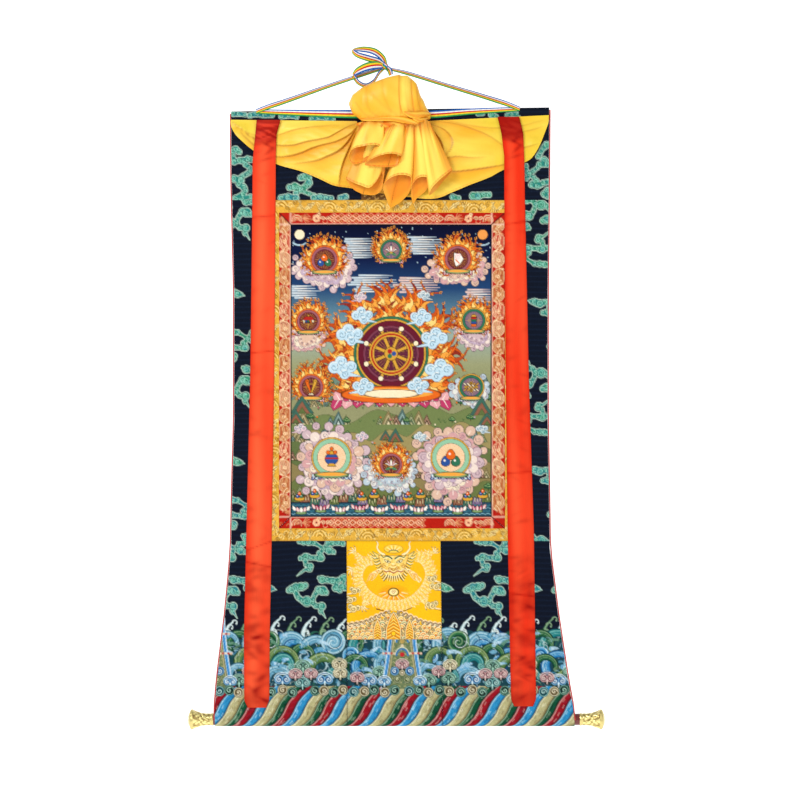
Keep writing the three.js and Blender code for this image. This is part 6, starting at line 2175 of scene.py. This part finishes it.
def flute(shape, number):
    """A flute: a cone of cloth from its narrow throat to its rim, with pleats that run out along it"""
    columns, rows = 72, 40
    throat_x, throat_z, half = shape["throat"]
    back, fore = shape["depth"]
    rim = np.array([(x, back + (fore - back) * near, z) for x, z, near in shape["rim"]], float)
    closer = 1 - rim[:, 1] / CAMERA_AWAY
    rim[:, 0] = SIGHT[0] + (rim[:, 0] - SIGHT[0]) / closer
    rim[:, 2] = SIGHT[1] + (rim[:, 2] - SIGHT[1]) / closer
    around = np.linspace(FLUTE_GAP, 1 - FLUTE_GAP, columns)
    foot = smooth_curve(np.vstack([rim, rim[:1]]), around)
    near = (foot[:, 1] - back) / (fore - back)
    angle = 2 * math.pi * around
    ruck = 1 + 0.1 * np.sin(6 * angle + number)
    top_forward = (1 - np.cos(angle)) / 2
    top = np.stack([throat_x - half * ruck * np.sin(angle),
                    THROAT_DEPTH[0] + (THROAT_DEPTH[1] - THROAT_DEPTH[0]) * top_forward * ruck,
                    throat_z + 3 * np.cos(2 * angle)], axis=-1)
    share = np.linspace(0, 1, rows)[:, None, None]
    middle = top[None] + (foot - top)[None] * share ** 0.92
    centre = middle.mean(axis=1, keepdims=True)
    swell = 1 + 0.07 * np.sin(math.pi * share)
    middle[..., 0] = (centre + (middle - centre) * swell)[..., 0]
    down = share[..., 0]
    pleat = np.sin(5 * angle + 2 * number + 1.2 * down) + 0.4 * np.sin(9 * angle - 2 * down)
    fade = (1 - down) ** 0.7 * smoothstep(down, 0, 0.12)
    middle[..., 1] += 1.8 * pleat * fade * near[None]
    middle[..., 1] -= 0.7 * smoothstep(down, 0.84, 1.0) * np.sin(11 * angle)[None] * near[None]
    length = np.linalg.norm(foot - top, axis=-1)[None]
    stitches = hem_stitches((1 - down) * length, 2.6, 1.5, 0.45, 0.45)
    # Painted light and shade: lit from the front left, darker inside, along its sides and in its throat,
    # with dark painted shade in the grooves between pleats
    front = smoothstep(near, 0.25, 0.7)[None]
    side_on = smoothstep(np.abs(np.sin(angle)), 0.8, 1.0)[None] * front
    throat = 1 - smoothstep(down, 0.0, 0.3)
    lit = 0.35 + 0.45 * np.cos(angle - 0.86 * math.pi)[None] + 0.2 * pleat * (0.3 + fade) - 0.2 * throat
    inner = (1 - front) * (0.72 - 0.4 * smoothstep(down, 0.86, 0.99))
    deep = inner + 0.5 * side_on + 0.5 * throat + 0.2 * np.clip(-pleat, 0, 1) * (0.25 + fade)
    colour = silk_colours(lit, deep, hem=stitches)
    groove = bell(pleat + 1.15, 0.16) * fade * front
    tint(colour, CREASE_SHADE, 0.4 * groove + 0.3 * throat ** 3)
    return middle, colour


def round_grid(rows, columns, open_end):
    """Angles up and around a closed form, which stays a little open at its top and its foot"""
    up = np.linspace(math.pi / 2 - open_end, -math.pi / 2 + open_end, rows)[:, None]
    return up, np.linspace(-math.pi, math.pi, columns)[None, :]


def bunch():
    """The heart of the veil, where its parts are drawn together"""
    up, around = round_grid(20, 48, 0.04)
    ribs = np.sin(11 * around + 3 * up)
    x = BUNCH["x"] + BUNCH["wide"] * np.cos(up) * np.sin(around)
    y = BUNCH["y"] - BUNCH["deep"] * (1 + 0.07 * ribs * np.cos(up)) * np.cos(up) * np.cos(around)
    z = BUNCH["z"] + BUNCH["tall"] * np.sin(up) + 0 * around
    # Painted light on its ribs and painted shade between them
    return np.stack([x, y, z], axis=-1), silk_colours(0.3 + 0.4 * ribs, 0.6 - 0.4 * ribs)


def veil():
    parts = [swag(), puff(), bunch()] + [band(places) for places in BANDS]
    parts += [flute(shape, number) for number, shape in enumerate(FLUTES)]
    made = sheet_mesh("veil_silk", parts, SILK, sharp=70)
    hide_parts("veil")
    return made


# Hanging tape: routes of its stretches, each row a place with its lean and share of the width
TAPE_WIDTH = 19.0
TAPE_ROUTES = [
    [(-286, -7.4, -99, 0, 0.5), (-262, -8.8, -90, -20, 0.6), (-225, -7, -77.5, -45, 0.85),
     (-120, -3, -40, -55, 0.9),
     (-40, 0, -13, -55, 0.9), (3, 0, 0, -60, 0.7)],
    [(306, -7.4, -93.5, 0, 0.5), (282, -8.8, -84, 20, 0.6), (240, -7, -70, 45, 0.85),
     (130, -3, -36, 55, 0.9),
     (50, 0, -11, 55, 0.9), (3, 0, 0, 60, 0.7)],
    [(-286, -7.3, -99, 0, 0.5), (-200, -7.3, -102, 0, 0.7), (-80, -7.3, -105, 0, 0.95),
     (100, -7.3, -106, 0, 0.9),
     (200, -7.3, -99, 0, 0.7), (306, -7.3, -93.5, 0, 0.5)],
]
BOW_ROUTES = [
    [(5, 0, 5, 40, 0.5), (-2, -5, 21, 30, 0.8), (-20, -9, 35, 30, 0.95), (-46, -11, 40, 38, 0.9),
     (-68, -13, 37, 70, 0.8), (-60, -17, 28, 50, 0.8), (-36, -14, 20, 45, 0.9), (-12, -8, 14, 40, 0.8),
     (3, -2, 6, 40, 0.5)],
    [(4, -2, 4, 0, 0.6), (-14, -8, 5, 0, 0.95), (-36, -12, 1, 5, 1), (-58, -12, -9, 30, 0.9),
     (-68, -6, -17, 60, 0.7)],
    [(-68, -6, -17, 60, 0.7), (-57, -4, -33, 62, 0.8), (-40, -4, -40, 66, 0.8), (-22, -4, -30, 76, 0.8),
     (-10, -3, -12, 76, 0.8), (2, -2, 1, 60, 0.6)],
    [(4, -2, 2, 40, 0.6), (13, -5, -5, 40, 0.7), (17, -6, -17, 50, 0.7)],
]
KNOT = {"x": 3, "y": -2, "z": 3, "wide": 8, "deep": 6, "tall": 7}
TAPE_STRIPES = ["1f5fb4", "f2f0ea", "cf2020", "f6d02c", "2f9a4c"]


def stripe_layout():
    """Places across the tape and their colours, with hard edges between the stripes"""
    count = len(TAPE_STRIPES)
    places = [(i + share) / count for i in range(count) for share in (0.03, 0.5, 0.97)]
    places[0], places[-1] = 0.0, 1.0
    return np.array(places), np.array([paint(code) for code in TAPE_STRIPES for _ in range(3)])


def tape_strip(route, steps, flip=False):
    """A stretch of tape along a route, its stripes the other way round where it is flipped"""
    route = np.asarray(route, float)
    share = np.linspace(0, 1, steps)
    centre = smooth_curve(route[:, :3], share)
    tangent = np.gradient(centre, axis=0)
    tangent /= np.linalg.norm(tangent, axis=1, keepdims=True)
    stops = np.linspace(0, 1, len(route))
    lean = np.radians(np.interp(share, stops, route[:, 3]))[:, None]
    half = (TAPE_WIDTH / 2 * np.interp(share, stops, route[:, 4]))[:, None, None]
    flat = np.stack([-tangent[:, 2], 0 * share, tangent[:, 0]], axis=-1)
    flat /= np.linalg.norm(flat, axis=1, keepdims=True)
    broad = flat * np.cos(lean) + np.array([0, -1, 0]) * np.sin(lean)
    places, codes = stripe_layout()
    offset = (1 - 2 * places)[None, :, None]
    middle = centre[:, None] + broad[:, None] * half * offset
    if flip:
        codes = codes[::-1]
    colour = np.ones(middle.shape[:2] + (4,))
    weave = 0.93 + 0.07 * np.sin(np.arange(steps) * 2.4)[:, None, None]
    colour[..., :3] = codes[None] * weave
    colour[..., 3] = 0.4
    return middle, colour


def knot():
    """The knot of the bow: a small lump with the stripes wound about it"""
    up, around = round_grid(30, 40, 0.05)
    wrap = around * 2.5 + 3.0 * np.sin(up)
    swell = 1 - 0.12 * np.abs(np.sin(wrap))
    x = KNOT["x"] + KNOT["wide"] * swell * np.cos(up) * np.sin(around)
    y = KNOT["y"] - KNOT["deep"] * swell * np.cos(up) * np.cos(around)
    z = KNOT["z"] + KNOT["tall"] * swell * np.sin(up)
    pick = ((wrap / (2 * math.pi) * 5) % 5).astype(int)
    codes = np.array([paint(code) for code in TAPE_STRIPES])
    colour = np.ones(x.shape + (4,))
    colour[..., :3] = codes[pick]
    colour[..., 3] = 0.4
    return np.stack([x, y, z], axis=-1), colour


def hanging_tape():
    left, right, level = TAPE_ROUTES
    parts = [tape_strip(left, 90), tape_strip(right, 90, flip=True), tape_strip(level, 110)]
    parts += [tape_strip(route, 12 * len(route)) for route in BOW_ROUTES]
    parts.append(knot())
    made = sheet_mesh("tape_woven", parts, TAPE, sharp=60)
    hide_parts("hanger_tape")
    return made


# Brass roller ends, from the roller outwards: place along and radius
FINIAL = np.array([
    (0, 13.5), (3, 14.4), (6, 13.3), (20, 13.6), (30, 15.6), (38, 18.4), (44, 21.2), (47, 22.7), (50, 22.7),
    (52, 20.5), (55, 13),
], float)
FINIAL_GAP = 0.3
ROLLER_ENDS = {"left": (-383.5, -1), "right": (441.7, 1)}
BRASS_BRIGHT = "fff0a0"
BRASS_DARK = "7c4e08"


def finial(side):
    """A brass end with a band of swirling relief, beaded rims and a low petalled cap"""
    x0, way = ROLLER_ENDS[side]
    rows, columns = 72, 108
    place = np.linspace(0, FINIAL[-1, 0], rows)[:, None]
    around = np.linspace(0, 2 * math.pi, columns, endpoint=False)[None, :]
    radius = np.interp(place, FINIAL[:, 0], FINIAL[:, 1])
    band = smoothstep(place, 6.5, 9) * (1 - smoothstep(place, 43, 45.5))
    swirl = np.sin(6 * around + 0.34 * place + 1.6 * np.sin(place / 4.2))
    beads = np.sin(place / 2.3 + 2.4 * np.cos(6 * around))
    relief = band * np.tanh(2.6 * (0.6 * swirl + 0.55 * beads))
    rims = 0.35 * np.sin(24 * around) * (smoothstep(place, 46.5, 47.2) - smoothstep(place, 49.6, 50.3))
    rims = rims + 0.3 * np.sin(30 * around) * bell(place - 2.8, 1.4)
    lift = 0.8 * relief - 0.35 * band + rims - 0.35
    r = radius + lift
    x = x0 + way * (FINIAL_GAP + place) + 0 * around
    y = AXIS["y"] + r * np.cos(around)
    z = AXIS["z"] + r * np.sin(around)
    side_points = np.stack([x, y, z], axis=-1)
    cap_share = np.linspace(0, 1, 10)[1:-1, None]
    cap_radius = 12.65 * np.cos(cap_share * math.pi / 2)
    petal = 0.35 * np.cos(8 * around) * np.sin(cap_share * math.pi)
    cap_x = x0 + way * (FINIAL_GAP + FINIAL[-1, 0] + 1.4 * np.sin(cap_share * math.pi / 2) + petal)
    cap_y, cap_z = AXIS["y"] + cap_radius * np.cos(around), AXIS["z"] + cap_radius * np.sin(around)
    cap = np.stack([cap_x, cap_y, cap_z], axis=-1)
    points = np.concatenate([side_points, cap]).reshape(-1, 3)
    total = rows + len(cap)
    index = np.arange(total * columns).reshape(total, columns)
    following = np.roll(index, -1, axis=1)
    quads = np.stack([index[:-1], index[1:], following[1:], following[:-1]], axis=-1).reshape(-1, 4)
    if way > 0:
        quads = quads[:, ::-1]
    ends = np.array([(x0 + way * FINIAL_GAP, AXIS["y"], AXIS["z"]),
                     (x0 + way * (FINIAL_GAP + FINIAL[-1, 0] + 1.45), AXIS["y"], AXIS["z"])])
    first = len(points)
    inner = np.stack([following[0], index[0], np.full(columns, first)], axis=-1)
    outer = np.stack([index[-1], following[-1], np.full(columns, first + 1)], axis=-1)
    if way > 0:
        inner, outer = inner[:, ::-1], outer[:, ::-1]
    shade = np.concatenate([0.5 + 0.5 * relief + 0 * place, np.full(cap.shape[:2], 0.8)]).reshape(-1)
    shade = np.concatenate([shade, [0.5, 0.8]])
    colour = np.ones((len(shade), 4))
    colour[:, :3] = blend_colours(paint(BRASS_DARK), paint(BRASS_BRIGHT), np.clip(0.25 + 0.9 * shade, 0, 1))
    colour[:, 3] = shade
    points = np.concatenate([points, ends])
    made = new_object(f"finial_brass_{side}", points, [quads, inner, outer], colour, sharp=60)
    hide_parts(f"finial_{side}")
    return made


# Materials
def shader(name, **values):
    """A material with one principled shader, and its numbers set on the shader's own sockets"""
    made = bpy.data.materials.new(name)
    made.use_nodes = True
    nodes = made.node_tree.nodes
    principled = nodes["Principled BSDF"]
    for socket, value in values.items():
        principled.inputs[socket.replace("_", " ")].default_value = value
    return made, nodes, made.node_tree.links, principled


def noise(nodes, links, scale, detail, stretch=(1, 1, 1)):
    place = nodes.new("ShaderNodeTexCoord")
    mapping = nodes.new("ShaderNodeMapping")
    mapping.inputs["Scale"].default_value = stretch
    texture = nodes.new("ShaderNodeTexNoise")
    texture.inputs["Scale"].default_value = scale
    texture.inputs["Detail"].default_value = detail
    links.new(place.outputs["Object"], mapping.inputs["Vector"])
    links.new(mapping.outputs["Vector"], texture.inputs["Vector"])
    return texture.outputs["Fac"]


def tinted(nodes, links, colour, factor, low, high):
    """A colour made darker and lighter by a texture"""
    spread = nodes.new("ShaderNodeMapRange")
    spread.inputs["To Min"].default_value = low
    spread.inputs["To Max"].default_value = high
    links.new(factor, spread.inputs["Value"])
    mix = nodes.new("ShaderNodeVectorMath")
    mix.operation = "SCALE"
    links.new(colour, mix.inputs[0])
    links.new(spread.outputs["Result"], mix.inputs["Scale"])
    return mix.outputs["Vector"]


def bumped(nodes, links, beneath, height, distance):
    """A bump by a height, over the shader or the bump that lies beneath it"""
    bump = nodes.new("ShaderNodeBump")
    bump.inputs["Distance"].default_value = distance
    links.new(height, bump.inputs["Height"])
    links.new(bump.outputs["Normal"], beneath.inputs["Normal"])
    return bump


def thread_material(name, weave, distance, low=0.86, high=1.12, stretch=(1, 1, 1), relief=0.0004, **values):
    """Cloth in its painted colours, with an uneven weave and its threads standing up"""
    made, nodes, links, principled = shader(name, **values)
    painted = nodes.new("ShaderNodeAttribute")
    painted.attribute_name = "thread"
    grain = noise(nodes, links, weave, 3, stretch)
    tinted_colour = tinted(nodes, links, painted.outputs["Color"], grain, low, high)
    links.new(tinted_colour, principled.inputs["Base Color"])
    fine = bumped(nodes, links, principled, grain, distance)
    if relief:
        bumped(nodes, links, fine, painted.outputs["Alpha"], relief)
    return made


brocade = thread_material("brocade_weave", 900, 0.0003, 0.72, 1.22, (1, 1, 0.4), 0.0006,
                          Roughness=0.65, Specular_IOR_Level=0.05)
gold_weave = thread_material("gold_brocade_weave", 700, 0.0003, 0.78, 1.2, (1, 1, 0.35), 0.0007,
                             Roughness=0.46, Specular_IOR_Level=0.16)
red_weave = thread_material("red_brocade_weave", 700, 0.0003, 0.85, 1.15, (1, 1, 0.4), 0.0007,
                            Roughness=0.55, Specular_IOR_Level=0.08)
patch_weave = thread_material("yellow_brocade_weave", 700, 0.0003, 0.9, 1.08, (1, 1, 0.4), 0.0006,
                              Roughness=0.5, Specular_IOR_Level=0.15)
pigment = thread_material("painted_cotton", 600, 0.0001, 0.94, 1.05, (1, 1, 1), 0, Roughness=0.8,
                          Specular_IOR_Level=0.06)
satin = thread_material("ribbon_satin", 420, 0.0003, 0.92, 1.06, (1, 1, 0.06), 0, Roughness=0.4,
                        Specular_IOR_Level=0.08)
silk = thread_material("veil_silk_weave", 260, 0.0003, 0.96, 1.04, (1, 1, 1), 0, Roughness=0.4,
                       Specular_IOR_Level=0.3)
woven_tape = thread_material("five_colour_tape", 1200, 0.0003, 0.85, 1.12, (0.4, 1, 1), 0, Roughness=0.7,
                             Specular_IOR_Level=0.1)


def plain_material(name, colour, weave, distance, low, high, stretch, **values):
    """A material of one colour with an uneven grain"""
    made, nodes, links, principled = shader(name, **values)
    base = nodes.new("ShaderNodeRGB")
    base.outputs[0].default_value = (*paint(colour), 1)
    grain = noise(nodes, links, weave, 4, stretch)
    links.new(tinted(nodes, links, base.outputs[0], grain, low, high), principled.inputs["Base Color"])
    bumped(nodes, links, principled, grain, distance)
    return made


piping_satin = plain_material("piping_satin", "c2281c", 900, 0.0004, 0.75, 1.2, (1, 1, 0.8), Roughness=0.5,
                              Sheen_Weight=0.2)
slat_wood = plain_material("slat_wood", "8a5a34", 60, 0.0002, 0.6, 1.3, (0.05, 1, 1), Roughness=0.6)
lacquer = plain_material("roller_lacquer", "6e160f", 40, 0.00008, 0.8, 1.15, (0.2, 1, 1), Roughness=0.28,
                         Coat_Weight=0.5, Coat_Roughness=0.12)
brass = thread_material("embossed_brass", 500, 0.00015, 0.85, 1.12, (1, 1, 1), 0, Roughness=0.3,
                        Metallic=1.0)


def dress(made, material, slot, flat=None, held="hung", **facts):
    """Gives a piece its material and its place on the object"""
    made.data.materials.append(material)
    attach(made, "root")
    return made


# Camera and light come first, then the pieces
MIDDLE = (0.0371, -0.7481)
VIEW_WIDTH = 1.8
CAMERA_DISTANCE = 5.0


def camera():
    lens = bpy.data.cameras.new("camera")
    lens.sensor_width = 36
    lens.lens = lens.sensor_width * CAMERA_DISTANCE / VIEW_WIDTH
    made = bpy.data.objects.new("camera", lens)
    made.location = (MIDDLE[0], -CAMERA_DISTANCE + FRONT * MM, MIDDLE[1])
    made.rotation_euler = (math.pi / 2, 0, 0)
    bpy.context.scene.collection.objects.link(made)
    bpy.context.scene.camera = made


def softbox(name, place, aim, size, power):
    light = bpy.data.lights.new(name, "AREA")
    light.shape = "DISK"
    light.size = size
    light.energy = power
    made = bpy.data.objects.new(name, light)
    made.location = place
    way = np.array(aim) - np.array(place)
    tilt = math.acos(-way[2] / np.linalg.norm(way))
    made.rotation_euler = (tilt, 0, math.atan2(way[1], way[0]) - math.pi / 2)
    bpy.context.scene.collection.objects.link(made)


def lights():
    world = bpy.data.worlds.new("studio")
    world.use_nodes = True
    background = world.node_tree.nodes["Background"]
    background.inputs["Color"].default_value = (1, 1, 1, 1)
    background.inputs["Strength"].default_value = 0.52
    bpy.context.scene.world = world
    bpy.context.scene.view_settings.view_transform = "Standard"
    softbox("key", (-1.6, -2.6, 1.2), (0, 0, -0.6), 1.4, 56)
    softbox("fill", (2.2, -2.4, -0.2), (0, 0, -0.8), 2.0, 14)


def floor():
    """A pale floor under the hanging, swept up far behind it so that it can be seen from all sides"""
    level, back, half, bend = -2.1, 9.5, 15.0, 2.0
    profile = [(-9.0, level)]
    for angle in np.radians(np.linspace(-90, 0, 13)):
        profile.append((back - bend + bend * math.cos(angle), level + bend + bend * math.sin(angle)))
    profile.append((back, 9.0))
    points = [(x, y, z) for y, z in profile for x in (-half, half)]
    faces = np.array([(2 * i, 2 * i + 1, 2 * i + 3, 2 * i + 2) for i in range(len(profile) - 1)])
    made = new_object("studio_floor", np.array(points) / MM, [faces], sharp=80)
    material, *_ = shader("studio_white", Base_Color=(0.93, 0.93, 0.93, 1), Roughness=0.9,
                          Emission_Strength=0.55, Emission_Color=(1, 1, 1, 1))
    made.data.materials.append(material)


camera()
lights()
floor()

# The cloth round the frames
side_size = (0.079, 0.767)
dress(top_panel(), brocade, "navy_brocade", (0.716, 0.25))
dress(flat_panel("navy_side_left", "side_panel_left", inside_left, lambda z: FRAME["left"] - SEAM + 0 * z,
                 FRAME["top"], SIDE_FOOT, 2, "left"), brocade, "navy_brocade", side_size)
dress(flat_panel("navy_side_right", "side_panel_right", lambda z: FRAME["right"] + SEAM + 0 * z,
                 inside_right,
                 FRAME["top"], SIDE_FOOT, 3, "right"), brocade, "navy_brocade", side_size)
after_left_seam = lambda z: left_seam(z) + SEAM
after_right_seam = lambda z: right_seam(z) + SEAM
dress(skirt_panel("navy_foot_left", "bottom_panel_left", inside_left, left_seam, SKIRT_TOP, 4),
      brocade, "navy_brocade", (0.282, 0.472))
dress(skirt_panel("navy_foot_right", "bottom_panel_right", after_right_seam, inside_right, SKIRT_TOP, 6),
      brocade, "navy_brocade", (0.272, 0.472))
dress(skirt_panel("navy_foot_centre", "bottom_panel_centre", after_left_seam, right_seam,
                  PATCH["bottom"] - SEAM, 7),
      brocade, "navy_brocade", (0.212, 0.25))
dress(dragon_patch(), patch_weave, "yellow_brocade", (0.212, 0.221))

# Two frames of brocade, and the painted field
for number, edge in enumerate(("top", "bottom", "left", "right")):
    upright = edge in ("left", "right")
    made = mitred_panel(f"gold_strip_{edge}", f"gold_frame_{edge}", FRAME, GOLD_INNER, edge, GOLD,
                        GOLD_BACK,
                        gold_strip, 40 + number)
    dress(made, gold_weave, "gold_brocade", (GOLD_WIDTH * MM, 0.739 if upright else 0.537))
    made = mitred_panel(f"red_strip_{edge}", f"red_frame_{edge}", RED_OUTER, RED_INNER, edge, RED, RED_BACK,
                        red_strip, 50 + number)
    dress(made, red_weave, "red_brocade", (RED_WIDTH[edge] * MM, 0.684 if upright else 0.48))
dress(painted_field(), pigment, "painted_cloth", (0.452, 0.657))

# Ribbons, veil and tape
for side, seed in (("left", 11), ("right", 12)):
    dress(ribbon(side, seed), satin, "red_satin", (0.053, 1.33))
dress(veil(), silk, "yellow_silk", (0.72, 0.36), "gathered")
dress(hanging_tape(), woven_tape, "striped_tape", (TAPE_WIDTH * MM, 1.7), "stretched")

# Hard pieces, and the CAD nodes that stay
for side in ("left", "right"):
    dress(finial(side), brass, "brass")
for node, material in (("piping_left", piping_satin), ("piping_right", piping_satin),
                       ("top_slat", slat_wood),
                       ("bottom_roller", lacquer)):
    part = bpy.data.objects[node]
    part.data.materials.clear()
    part.data.materials.append(material)
